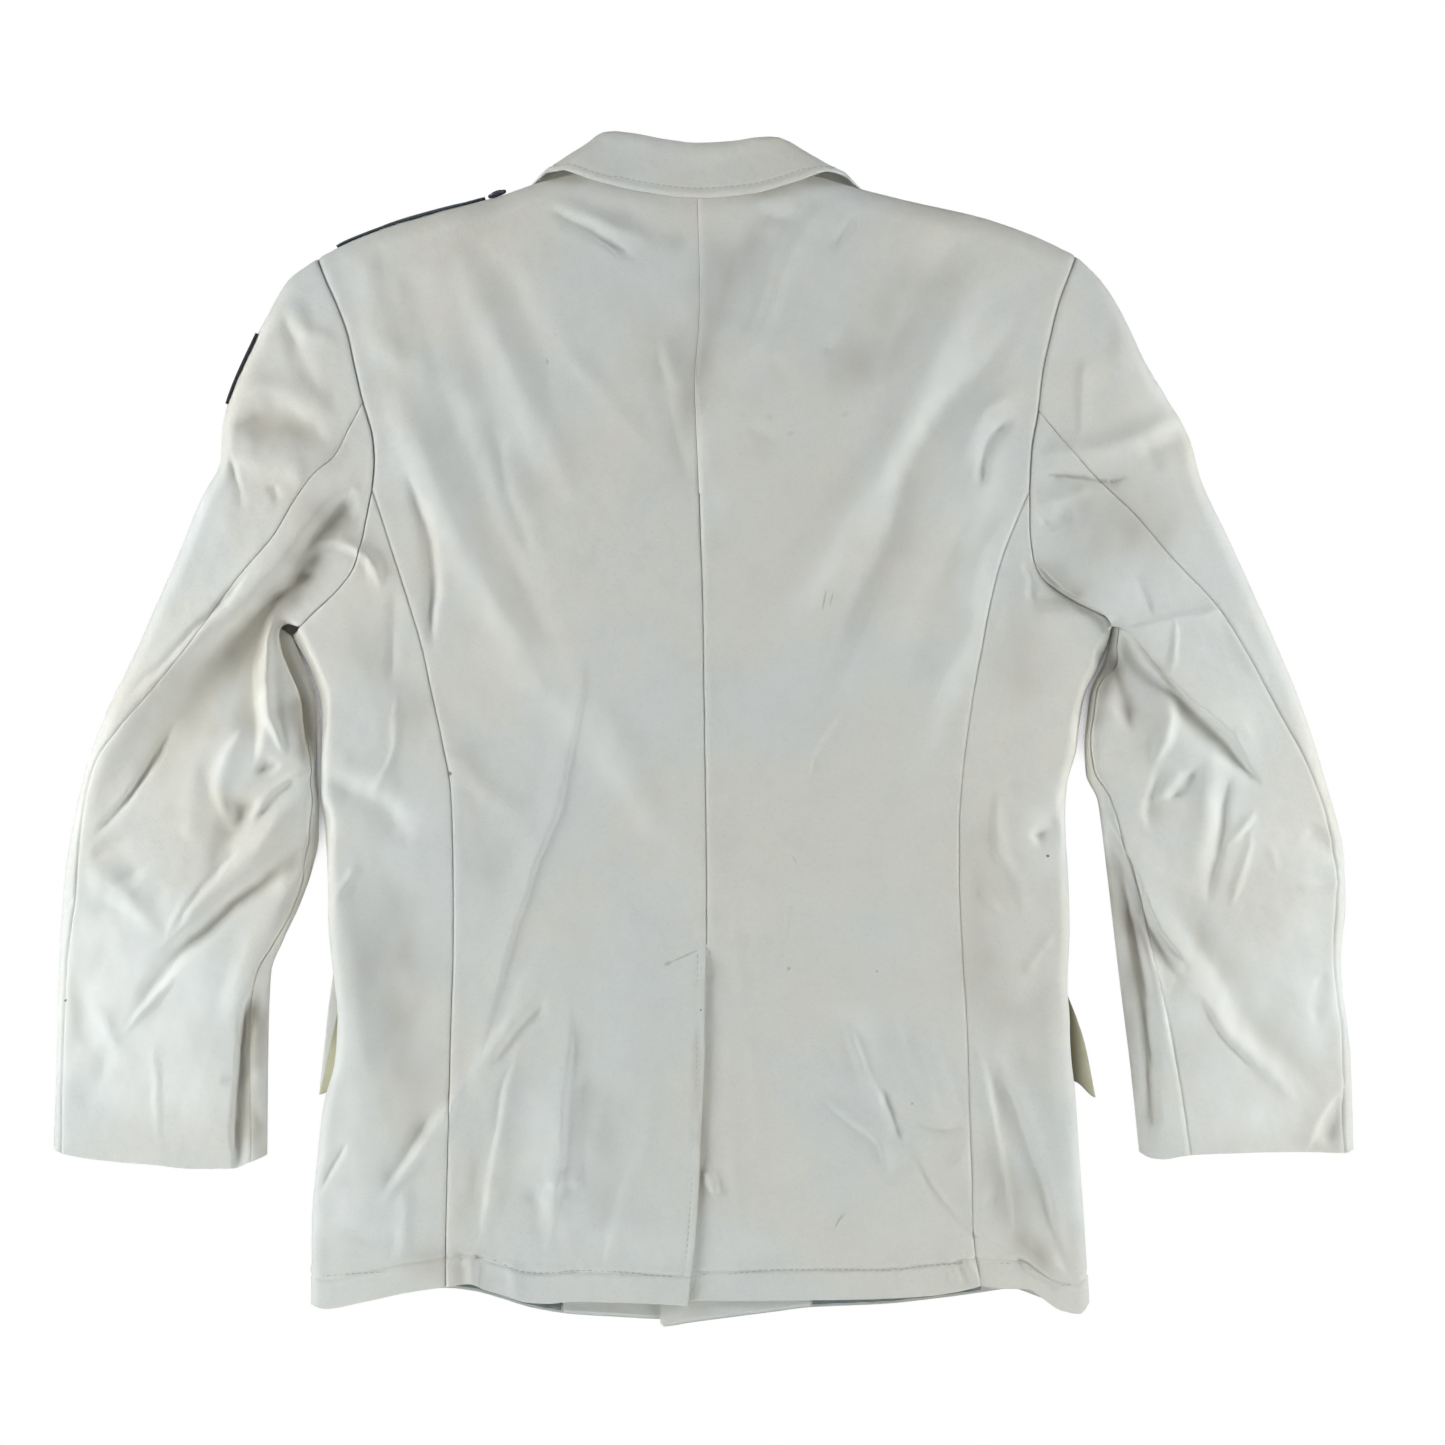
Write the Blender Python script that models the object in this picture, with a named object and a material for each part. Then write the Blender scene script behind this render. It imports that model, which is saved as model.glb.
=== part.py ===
"""Army dress uniform jacket, laid face down with its sleeves at its sides.

Frame: metres, +Z up. X runs across the jacket (sleeve to sleeve), +Y to the
collar. The fronts rest on z = 0 and the back is uppermost. Tables and named
sizes are in millimetres. Left and right are the wearer's, and the wearer's
left is at -X.
"""
import bpy
import numpy as np

MM = 0.001

# ---- driving sizes -------------------------------------------------------
WALL = 1.8            # cloth with its interlining
THIN = 1.0            # facing and lining strips
DRAW = 0.24           # each piece draws back this far from its seam
REST = 0.4            # space between pieces that lie on each other
BOARD = 2.0           # shoulder board
PATCH = 1.2           # sleeve patch
BUTTON_D = 20.0
BUTTON_T = 3.0
SMALL_BUTTON_D = 13.0
SMALL_BUTTON_T = 3.2
VENT_TOP_Y = -147.0
VENT_LAP = 38.0       # width of the vent's underlap
VENT_RISE = WALL + REST
FOLD_BODY = 9.0       # how far in the rounded folds reach
FOLD_SHOULDER = 14.0
FOLD_SLEEVE = 11.0
FOLD_MID = 0.46       # height of a fold's outermost line, of its full height
LIFT_MARGIN = 36.0    # a front stays raised this far round what lies beneath it
LIFT_RUN = 30.0

# ---- outlines, (x, y) ----------------------------------------------------
SHOULDER_L = [(-82, 381.5), (-97, 377.5), (-111, 374), (-139, 364.4), (-160, 358.9), (-180.5, 353.8),
              (-208, 345.9), (-241, 333.3), (-263, 321.6)]
SHOULDER_R = [(72, 379.5), (86, 375.5), (100, 371.3), (131, 363.1), (162, 356.2), (191, 349.4),
              (210, 343.2), (229, 335.7), (254, 323.3)]
SLEEVE_OUT_L = [(-263, 321.6), (-282, 308), (-298, 281), (-312, 253), (-323, 226), (-328, 205), (-329, 185),
                (-342, 158), (-359, 117), (-383, 62), (-407, 7), (-426, -48), (-436, -103), (-440, -171),
                (-442, -235), (-444, -286)]
SLEEVE_OUT_R = [(254, 323.3), (270, 308), (287, 281), (300, 253), (316, 226), (331, 199), (339, 171),
                (358, 130), (383, 75), (406, 21), (424, -34), (437, -89), (438, -117), (435, -160),
                (442, -226), (444, -286)]
SLEEVE_IN_L = [(-280.5, 64), (-275, 50), (-270.5, 40), (-264, 18), (-263.8, -6), (-264.2, -32), (-262.6, -50),
               (-262.4, -72), (-267, -95), (-275, -118), (-287, -144), (-295, -165), (-297, -212), (-298, -290)]
SLEEVE_IN_R = [(279, 73), (277.5, 60), (272.5, 44), (264, 25), (262, 10), (260, -10), (261, -30),
               (268.9, -48), (271, -62), (276, -103), (284, -171), (291, -226), (297.6, -288)]
BODY_L = [(-280.5, 64), (-272.5, 50), (-268, 41), (-261.3, 20), (-261, -6), (-261.2, -38), (-258, -69),
          (-256.3, -103), (-255.4, -137), (-252, -170), (-249.5, -196), (-252, -228), (-259, -254),
          (-264, -295), (-267.5, -336), (-268, -392)]
BODY_R = [(279, 73), (275, 57), (270, 44), (260.5, 25), (256.5, 5), (254.5, -13), (248, -38),
          (246.8, -60), (249, -103), (250, -137), (248.5, -171), (250, -212), (254, -250), (257, -295),
          (260, -336), (263.4, -391)]
ARM_BACK_L = [(-225, 163), (-223.4, 183), (-224.3, 196), (-231.9, 225), (-237.4, 249), (-241.5, 268),
              (-249.2, 289), (-256.8, 306), (-263, 321.6)]
ARM_LOW_L = [(-225, 163), (-228.4, 146), (-232, 128), (-237.4, 111), (-249.2, 94.5), (-264.5, 80), (-280.5, 64)]
ARM_BACK_R = [(221.5, 162), (223, 190), (227.4, 216), (230.5, 242), (236, 268), (241.5, 290), (248.2, 308),
              (254, 323.3)]
ARM_LOW_R = [(221.5, 162), (221.6, 139), (224, 118), (229, 105), (240, 95), (256, 85), (270, 78.5), (279, 73)]
ARM_FRONT_L = [(-235, 110), (-222, 140), (-219, 170), (-224, 205), (-234, 240), (-246, 278), (-263, 321.6)]
ARM_FRONT_LOW_L = [(-235, 110), (-250, 88), (-265, 74), (-280.5, 64)]
ARM_FRONT_R = [(231, 112), (219, 142), (216, 170), (220, 205), (229, 240), (240, 280), (254, 323.3)]
ARM_FRONT_LOW_R = [(231, 112), (246, 93), (262, 80), (279, 73)]
SIDE_SEAM_L = [(-175.7, -379.5), (-175.6, -355), (-174.2, -295), (-172, -212), (-170, -137), (-170, -103),
               (-170.6, -70), (-172, -38), (-177.7, -7), (-185, 27), (-191, 55), (-201, 89), (-211, 120),
               (-218.6, 144), (-225, 163)]
SIDE_SEAM_R = [(189, -378.8), (184.5, -350), (182.2, -295), (179.7, -212), (175.4, -137), (174, -103),
               (174, -69), (175.5, -38), (179, -7), (184, 27), (189, 55), (195.5, 89), (203.8, 120),
               (213, 143), (221.5, 162)]
UNDER_SEAM_L = [(-215, -386), (-214, -250), (-214, -100), (-220, 20), (-235, 110)]
UNDER_SEAM_R = [(212, -382), (211, -250), (211, -100), (217, 20), (231, 112)]
CENTRE = [(2.5, -147), (2.3, -103), (1.6, -38), (1.1, -7), (0.4, 41), (-0.3, 89), (-1.3, 120), (-2.6, 162),
          (-4.2, 199), (-5.4, 240), (-3.8, 260), (-1.8, 295), (-2.6, 330), (-3.8, 372)]
VENT_EDGE = [(-9.8, -391.8), (-7.5, -368), (-5, -349), (-3, -318), (-0.5, -265), (1.5, -217), (1.5, -190),
             (2.5, -147)]
HEM_BACK_L = [(-175.7, -379.5), (-159, -377.4), (-149.7, -381.3), (-135, -385.7), (-120, -390.2),
              (-105, -391), (-90, -389.5), (-53, -390.2), (-9.8, -391.8)]
HEM_BACK_R = [(-9.8, -388.6), (38, -388.7), (75, -388.3), (112, -387.7), (150, -385.7), (172, -382.8),
              (189, -378.8)]
HEM_SIDE_L = [(-268, -392), (-258, -394.6), (-232, -390), (-204, -383.9), (-175.7, -379.5)]
HEM_SIDE_R = [(189, -378.8), (207, -380.9), (221, -380.9), (230, -386.7), (243.5, -395.5), (256, -398),
              (263.4, -391)]
HEM_FRONT_L = [(-215, -386), (-204, -384.6), (-176.4, -382.2), (-157, -384.3), (-138, -389.5), (-118, -395.6),
               (-90, -399.9), (-60, -401.4), (-30, -403), (10, -403)]
HEM_FRONT_R = [(-29.5, -405), (-26.4, -407.6), (-14, -405.5), (16, -401.4), (46, -397.6), (72, -394.5),
               (121, -393.2), (162, -389.1), (212, -382)]
EDGE_FRONT_L = [(10, -403), (10, -250), (10, 60), (7, 108), (-8, 143), (-44, 228), (-76, 318), (-82, 350),
                (-82, 381.5)]
EDGE_FRONT_R = [(-29.5, -405), (-30.4, -392), (-30.4, -250), (-30, 60), (-27, 108), (-10, 146), (30, 236),
                (64, 318), (71, 350), (72, 379.5)]
NECK_L = [(-3.8, 372), (-30, 373), (-60, 376.5), (-82, 381.5)]
NECK_R = [(-3.8, 372), (25, 372.6), (52, 375.5), (72, 379.5)]
HIND_L = [(-231.4, 222), (-243, 200), (-250.4, 186), (-264, 174.7), (-276.4, 157.6), (-290, 133.6),
          (-317.5, 100.7), (-352.4, 53.4), (-374.4, 26.7), (-399.7, -3.4), (-415, -32), (-424, -73),
          (-427, -113), (-433, -157), (-436, -207), (-438, -288)]
HIND_R = [(227.6, 216.5), (245.6, 195), (268, 170), (292, 147), (319.6, 115), (350.4, 82), (369.6, 51),
          (388.7, 16.4), (412, -27), (424, -60), (431, -100), (429, -150), (435, -207), (437, -288)]
CUFF_L = [(-444, -286), (-433, -289.8), (-406.5, -293.9), (-373.7, -296.6), (-347.6, -299.2), (-321.6, -299.2),
          (-308.6, -294.5), (-298, -290)]
CUFF_R = [(444, -286), (436.7, -288.4), (409, -287.7), (348, -289.1), (326.4, -290.4), (314, -292.5),
          (304, -291.5), (297.6, -288)]

# ---- heights of the upper surface, and how far in the forearm seam lies ----
# y, height of the back, height of the sleeves, forearm seam left, forearm seam right
RISE = [(-400, 16.0, 14.5, 10.0, 28.5),
        (-290, 19.0, 15.5, 10.0, 28.5),
        (-200, 21.5, 19.0, 12.5, 27.0),
        (-120, 23.0, 22.0, 3.0, 20.0),
        (0, 24.0, 25.0, 3.0, 3.0),
        (120, 26.0, 27.0, 3.0, 3.0),
        (240, 26.0, 26.0, 3.0, 3.0),
        (330, 23.0, 23.0, 3.0, 3.0),
        (385, 21.0, 21.0, 3.0, 3.0)]

# ---- collar sections, left gorge to right gorge: roll line, free edge, neck seam ----
# roll x, y, z, edge x, y, z, seam x, y, z
COLLAR = [(-78, 322, 0.2, -121, 300, 0.0, -84, 325, 7.4),
          (-75, 352, 0.6, -131, 330, 0.0, -83, 352, 7.8),
          (-71, 388, 1.4, -127, 357, 0.1, -74.5, 377, 8.8),
          (-69.5, 403, 10.5, -113, 378.0, 7.0, -78, 389.0, 12.6),
          (-67, 407.5, 17.0, -107, 381.0, 16.5, -78, 388, 16.5),
          (-61, 407.4, 21.5, -97, 380.8, 25.2, -73, 384, 20.4),
          (-46, 405.4, 22.8, -76, 373.6, 27.0, -58, 379.4, 21.0),
          (-24, 401.4, 22.8, -41, 365.2, 27.0, -32, 376.2, 21.0),
          (-4, 399.2, 22.8, -4, 361.0, 26.6, -4, 375.3, 21.0),
          (18, 400.3, 22.8, 30, 363.4, 27.4, 24, 375.9, 21.0),
          (36, 402.8, 22.8, 62, 371.8, 27.8, 48, 378.2, 21.0),
          (47, 403.6, 21.5, 86, 380.2, 25.2, 63, 382.6, 20.4),
          (53, 402.6, 17.0, 97, 379.0, 16.5, 68, 385.6, 16.5),
          (58, 397, 10.5, 104, 374.5, 7.0, 68, 386.8, 12.6),
          (60, 384, 1.4, 117, 356, 0.1, 64.5, 375, 8.8),
          (63, 352, 0.6, 121, 330, 0.0, 71.5, 352, 7.8),
          (66, 322, 0.2, 110, 300, 0.0, 72, 325, 7.4)]

# ---- lapels, lower end to gorge: roll x, y, outer edge x, y ----
LAPEL_L = [(3.5, 112, -2.5, 112), (-6, 136, -32, 134), (-24, 178, -68, 176), (-42, 220, -97, 226),
           (-60, 266, -117, 272), (-78, 319.5, -121, 297.5)]
LAPEL_R = [(-3.5, 158, 4.5, 158), (6, 180, 32, 176), (22, 215, 62, 206), (36, 246, 86, 240),
           (50, 280, 106, 275), (66, 319.5, 110, 297.5)]

# ---- pocket flaps: rear edge x, y, front edge x, y, from the top edge down ----
FLAP_L = [(-253.5, -166, -108, -168), (-256.8, -190, -108, -190), (-259.5, -214, -108, -210),
          (-263.4, -250, -108, -226)]
FLAP_R = [(247, -176, 108, -168), (255.5, -197, 108, -190), (261, -214, 108, -210),
          (268.6, -252, 108, -226)]

# ---- shoulder boards: along the shoulder from the sleeve end, x, how far round the fold
# the upper edge starts (0 is the outermost line), width below ----
BOARD_L = [(-250, 0.03, 40.0), (-230, 0.08, 42.0), (-195, 0.10, 40.0), (-166, 0.08, 36.0), (-149, 0.02, 28.0)]
BOARD_R = [(242, -0.9, 38.0), (220, -0.9, 40.0), (185, -0.9, 38.0), (160, -0.9, 34.0), (146, -0.9, 26.0)]
PATCH_L = [(0.104, 0.05, 34.0), (0.118, 0.12, 48.0), (0.144, 0.12, 54.0), (0.170, 0.11, 48.0),
           (0.184, 0.03, 34.0)]

SMALL_BUTTON_R = (134.0, 339.0)
FRONT_BUTTONS = [(-10, 85), (-10, 0), (-10, -85), (-10, -170)]      # x, y
STRIPS = [("lining_left", -186, -97, THIN), ("facing_left", -96, 9, THIN),
          ("facing_right", -29.6, 73, THIN), ("lining_right", 74, 190, THIN)]   # name, x from, x to, thickness
STRIP_TALL = 34.0


# ---- curves --------------------------------------------------------------
def smooth(a):
    a = np.clip(a, 0.0, 1.0)
    return a * a * (3.0 - 2.0 * a)


def hermite(ts, vs, q):
    """Smooth curve through the rows, value columns vs at parameters ts."""
    ts = np.asarray(ts, float)
    vs = np.asarray(vs, float)
    h = np.diff(ts)
    d = np.diff(vs, axis=0) / h[:, None]
    m = np.zeros_like(vs)
    m[0], m[-1] = d[0], d[-1]
    for i in range(1, len(ts) - 1):
        a, b = d[i - 1], d[i]
        w1, w2 = 2 * h[i] + h[i - 1], h[i] + 2 * h[i - 1]
        same = a * b > 0
        m[i] = np.where(same, (w1 + w2) / (w1 / np.where(same, a, 1) + w2 / np.where(same, b, 1)), 0.0)
    q = np.clip(np.asarray(q, float), ts[0], ts[-1])
    i = np.clip(np.searchsorted(ts, q, side="right") - 1, 0, len(ts) - 2)
    s = ((q - ts[i]) / h[i])[..., None]
    hh = h[i][..., None]
    return ((1 + 2 * s) * (1 - s) ** 2 * vs[i] + s * (1 - s) ** 2 * hh * m[i]
            + s * s * (3 - 2 * s) * vs[i + 1] + s * s * (s - 1) * hh * m[i + 1])


class Curve:
    """A smooth line through table rows, asked for by its share of length."""

    def __init__(self, rows, fine=240):
        p = np.asarray(rows, float)
        t = np.r_[0.0, np.cumsum(np.linalg.norm(np.diff(p, axis=0), axis=1))]
        self.p = hermite(t, p, np.linspace(0, t[-1], fine))
        self.t = np.r_[0.0, np.cumsum(np.linalg.norm(np.diff(self.p, axis=0), axis=1))]
        self.length = self.t[-1]
        self.t = self.t / self.length

    def at(self, t):
        t = np.clip(np.asarray(t, float), 0, 1)
        return np.stack([np.interp(t, self.t, self.p[:, k]) for k in range(self.p.shape[1])], axis=-1)

    def share_at(self, value, axis=1):
        a = self.p[:, axis]
        return float(self.t[int(np.argmin(np.abs(a - value)))])

    def cut(self, t0, t1):
        c = Curve.__new__(Curve)
        q = self.at(np.linspace(t0, t1, len(self.p)))
        c.p = q
        c.t = np.r_[0.0, np.cumsum(np.linalg.norm(np.diff(q, axis=0), axis=1))]
        c.length = c.t[-1]
        c.t = c.t / c.length
        return c

    def back(self):
        return self.cut(1.0, 0.0)


class Joined:
    """Two lines end to end, the first one up to the share given."""

    def __init__(self, a, b, share):
        self.a, self.b, self.share = a, b, share

    def at(self, t):
        t = np.asarray(t, float)
        s = self.share
        return np.where((t < s)[..., None], self.a.at(t / s), self.b.at((t - s) / (1 - s)))


def coons(left, right, low, top, u, v, reach=None):
    """Grid points between four lines; u runs from left to right, v from low to top.
    reach: share of v over which the low and top lines' own bow dies out."""
    L, R, B, T = left.at(v), right.at(v), low.at(u), top.at(u)
    u = u[..., None]
    v = v[..., None]
    z, o = np.zeros(1), np.ones(1)
    c00, c10, c01, c11 = left.at(z)[0], right.at(z)[0], left.at(o)[0], right.at(o)[0]
    a, b = (1 - v, v) if reach is None else (1 - smooth(v / reach), smooth((v - 1 + reach) / reach))
    return ((1 - u) * L + u * R + a * (B - (1 - u) * c00 - u * c10) + b * (T - (1 - u) * c01 - u * c11))


C = {k: Curve(v) for k, v in dict(
    shoulder_l=SHOULDER_L, shoulder_r=SHOULDER_R, out_l=SLEEVE_OUT_L, out_r=SLEEVE_OUT_R,
    in_l=SLEEVE_IN_L, in_r=SLEEVE_IN_R, body_l=BODY_L, body_r=BODY_R, arm_l=ARM_BACK_L, arm_r=ARM_BACK_R,
    arm_low_l=ARM_LOW_L, arm_low_r=ARM_LOW_R, front_arm_l=ARM_FRONT_L, front_arm_r=ARM_FRONT_R,
    front_arm_low_l=ARM_FRONT_LOW_L, front_arm_low_r=ARM_FRONT_LOW_R, seam_l=SIDE_SEAM_L, seam_r=SIDE_SEAM_R,
    under_l=UNDER_SEAM_L, under_r=UNDER_SEAM_R, centre=CENTRE, vent=VENT_EDGE, hem_back_l=HEM_BACK_L,
    hem_back_r=HEM_BACK_R, hem_side_l=HEM_SIDE_L, hem_side_r=HEM_SIDE_R, hem_front_l=HEM_FRONT_L,
    hem_front_r=HEM_FRONT_R, edge_l=EDGE_FRONT_L, edge_r=EDGE_FRONT_R, neck_l=NECK_L, neck_r=NECK_R,
    hind_l=HIND_L, hind_r=HIND_R, cuff_l=CUFF_L, cuff_r=CUFF_R).items()}

FOLDS = [(C["shoulder_l"].back(), FOLD_SHOULDER, -1), (C["shoulder_r"].back(), FOLD_SHOULDER, 1),
         (C["out_l"], FOLD_SLEEVE, 1), (C["out_r"], FOLD_SLEEVE, -1),
         (C["in_l"], FOLD_SLEEVE, -1), (C["in_r"], FOLD_SLEEVE, 1),
         (C["body_l"], FOLD_BODY, 1), (C["body_r"], FOLD_BODY, -1)]


def fold_field(xy):
    """For each point: nearness to a fold (1 on its outermost line, 0 clear of it), the way in, its reach."""
    shape = xy.shape[:-1]
    p = xy.reshape(-1, 2)
    best = np.full(len(p), 1e9)
    way = np.zeros((len(p), 2))
    reach = np.ones(len(p))
    for curve, r, turn in FOLDS:
        a, b = curve.p[:-1], curve.p[1:]
        ab = b - a
        ll = (ab ** 2).sum(1)
        for lo in range(0, len(p), 4000):
            q = p[lo:lo + 4000]
            t = np.clip(((q[:, None] - a) * ab).sum(2) / ll, 0, 1)
            near = a + t[..., None] * ab
            dist = np.linalg.norm(q[:, None] - near, axis=2)
            j = dist.argmin(1)
            d = dist[np.arange(len(q)), j]
            better = d / r < best[lo:lo + 4000]
            side = np.stack([-ab[j, 1], ab[j, 0]], 1) / np.sqrt(ll[j])[:, None] * turn
            off = q - near[np.arange(len(q)), j]
            g = np.where((d > 0.05)[:, None], off / np.maximum(d, 1e-9)[:, None], side)
            best[lo:lo + 4000] = np.where(better, d / r, best[lo:lo + 4000])
            way[lo:lo + 4000] = np.where(better[:, None], g, way[lo:lo + 4000])
            reach[lo:lo + 4000] = np.where(better, r, reach[lo:lo + 4000])
    k = np.clip(1 - best, 0, 1)
    return k.reshape(shape), way.reshape(shape + (2,)), reach.reshape(shape)


def column(y, k):
    t = np.asarray(RISE, float)
    return hermite(t[:, 0], t[:, k:k + 1], y)[..., 0]


_EDGE_L = np.vstack([C["body_l"].p[::-1], C["arm_low_l"].back().p[1:], C["arm_l"].p[1:]])
_EDGE_R = np.vstack([C["body_r"].p[::-1], C["arm_low_r"].back().p[1:], C["arm_r"].p[1:]])


def plateau(xy):
    """Height of the upper surface away from the folds."""
    x, y = xy[..., 0], xy[..., 1]
    edge = np.where(x < 0, -np.interp(y, _EDGE_L[:, 1], _EDGE_L[:, 0]), np.interp(y, _EDGE_R[:, 1], _EDGE_R[:, 0]))
    w = smooth((np.abs(x) - edge) / 60.0)
    return (1 - w) * column(y, 1) * (1 - 0.08 * (x / 250.0) ** 2) + w * column(y, 2) * 0.97


def inside_dist(xy, poly):
    """Distance outside a polygon, 0 within it."""
    p = xy.reshape(-1, 2)
    a = np.asarray(poly, float)
    b = np.roll(a, -1, axis=0)
    ab = b - a
    t = np.clip(((p[:, None] - a) * ab).sum(2) / (ab ** 2).sum(1), 0, 1)
    d = np.linalg.norm(p[:, None] - (a + t[..., None] * ab), axis=2).min(1)
    x, y = p[:, 0:1], p[:, 1:2]
    cross = ((a[:, 1] > y) != (b[:, 1] > y)) & (
        x < (b[:, 0] - a[:, 0]) * (y - a[:, 1]) / np.where(b[:, 1] == a[:, 1], 1e-9, b[:, 1] - a[:, 1]) + a[:, 0])
    d[cross.sum(1) % 2 == 1] = 0.0
    return d.reshape(xy.shape[:-1])


def ring(rows):
    """Closed outline from rows of two points each."""
    r = np.asarray(rows, float)
    return np.vstack([r[:, :2], r[::-1, 2:4]])


def disc(x, y, r, n=16):
    a = np.linspace(0, 2 * np.pi, n, endpoint=False)
    return np.stack([x + r * np.cos(a), y + r * np.sin(a)], 1)


_COL = np.asarray(COLLAR, float)
# outlines of what lies beneath each front, how far it raises the front, how gently the front comes down
UNDER_L = [(ring(LAPEL_L), WALL + REST, LIFT_RUN), (ring(FLAP_L), WALL + REST, LIFT_RUN),
           (np.vstack([_COL[:4, 0:2], _COL[3::-1, 3:5]]), WALL + 5 * REST, LIFT_RUN),
           (np.array([(-22, -420), (14, -420), (14, 98), (-22, 98)]), BUTTON_T + REST, 2 * LIFT_RUN)]
UNDER_R = [(ring(LAPEL_R), WALL + REST, LIFT_RUN), (ring(FLAP_R), WALL + REST, LIFT_RUN),
           (np.vstack([_COL[-4:, 0:2], _COL[:-5:-1, 3:5]]), WALL + 5 * REST, LIFT_RUN),
           # the left front with its buttons, and its facing
           (np.array([(-40, -420), (12, -420), (12, 112), (-4, 146), (-40, 150)]),
            BUTTON_T + WALL + THIN + 6 * REST, 3 * LIFT_RUN)]


def board_outline(rows, shoulder):
    out = []
    for x, start, wide in rows:
        t = shoulder.share_at(x, 0)
        p = shoulder.at(t)
        q = shoulder.at(min(t + 0.02, 1.0)) - shoulder.at(max(t - 0.02, 0.0))
        n = np.array([q[1], -q[0]]) / np.hypot(*q)
        n = n if n[1] < 0 else -n
        out.append(tuple(p) + tuple(p + n * wide))
    return out


UNDER_R += [(disc(*SMALL_BUTTON_R, SMALL_BUTTON_D / 2), SMALL_BUTTON_T + REST, LIFT_RUN)]
UNDER_L += [(ring(board_outline(BOARD_L, C["shoulder_l"])), BOARD + 2 * REST, LIFT_RUN)]
UNDER_R += [(ring(board_outline(BOARD_R, C["shoulder_r"])), BOARD + 2 * REST, LIFT_RUN)]
PATCH_AREA = ring([tuple(C["out_l"].at(t)) + tuple(C["out_l"].at(t) + np.array([0.85, -0.52]) * w)
                   for t, _, w in PATCH_L])


def lift(xy, side):
    """How far what lies beneath raises a front's outer face. side: 'l' or 'r'."""
    out = np.zeros(xy.shape[:-1])
    for poly, high, run in (UNDER_L if side == "l" else UNDER_R):
        out = np.maximum(out, high * (1 - smooth((inside_dist(xy, poly) - LIFT_MARGIN) / run)))
    return out


def vent_rise(xy, side):
    """The left back lies over the vent's underlap."""
    x, y = xy[..., 0], xy[..., 1]
    down = smooth((VENT_TOP_Y + 37.0 - y) / 33.0)
    if side == "l":
        return VENT_RISE * down * np.clip((x + 74.0) / 24.0, 0, 1)
    # the right back comes down below the top of the vent
    return VENT_RISE * down * (1 - smooth((x - 6.0) / 26.0)) * (1 - smooth((VENT_TOP_Y - y) / 14.0))


def skin(xy, upper, side, rise=None):
    """Height and outward direction of the outer face at the points."""
    k, way, reach = fold_field(xy)
    w = np.sqrt(np.clip(1 - k * k, 0, 1))
    full = plateau(xy)
    mid = FOLD_MID * full
    step = 1.0

    def body(q):
        if upper:
            return plateau(q) + (rise(q) if rise else 0.0)
        return lift(q, side)

    far = body(xy)
    gx = (body(xy + [step, 0]) - body(xy - [step, 0])) / (2 * step)
    gy = (body(xy + [0, step]) - body(xy - [0, step])) / (2 * step)
    tall = (far - mid) if upper else (mid - far)
    sign = 1.0 if upper else -1.0
    z = mid + sign * tall * w
    slope = k * tall / reach
    n = np.stack([-way[..., 0] * slope - sign * w * gx, -way[..., 1] * slope - sign * w * gy, sign * w], -1)
    n /= np.linalg.norm(n, axis=-1, keepdims=True)
    return np.concatenate([xy, z[..., None]], -1), n


# ---- meshes --------------------------------------------------------------
MADE = {}


def emit(name, verts, faces, colour):
    me = bpy.data.meshes.new(name)
    me.from_pydata([tuple(float(c) * MM for c in v) for v in verts], [], [tuple(int(i) for i in f) for f in faces])
    me.update()
    ob = bpy.data.objects.new(name, me)
    bpy.context.scene.collection.objects.link(ob)
    mat = bpy.data.materials.new(name + "_mat")
    mat.use_nodes = True
    mat.node_tree.nodes["Principled BSDF"].inputs["Base Color"].default_value = (*colour, 1)
    mat.node_tree.nodes["Principled BSDF"].inputs["Roughness"].default_value = 0.85
    mat.diffuse_color = (*colour, 1)
    me.materials.append(mat)
    MADE[name] = ob
    return ob


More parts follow.
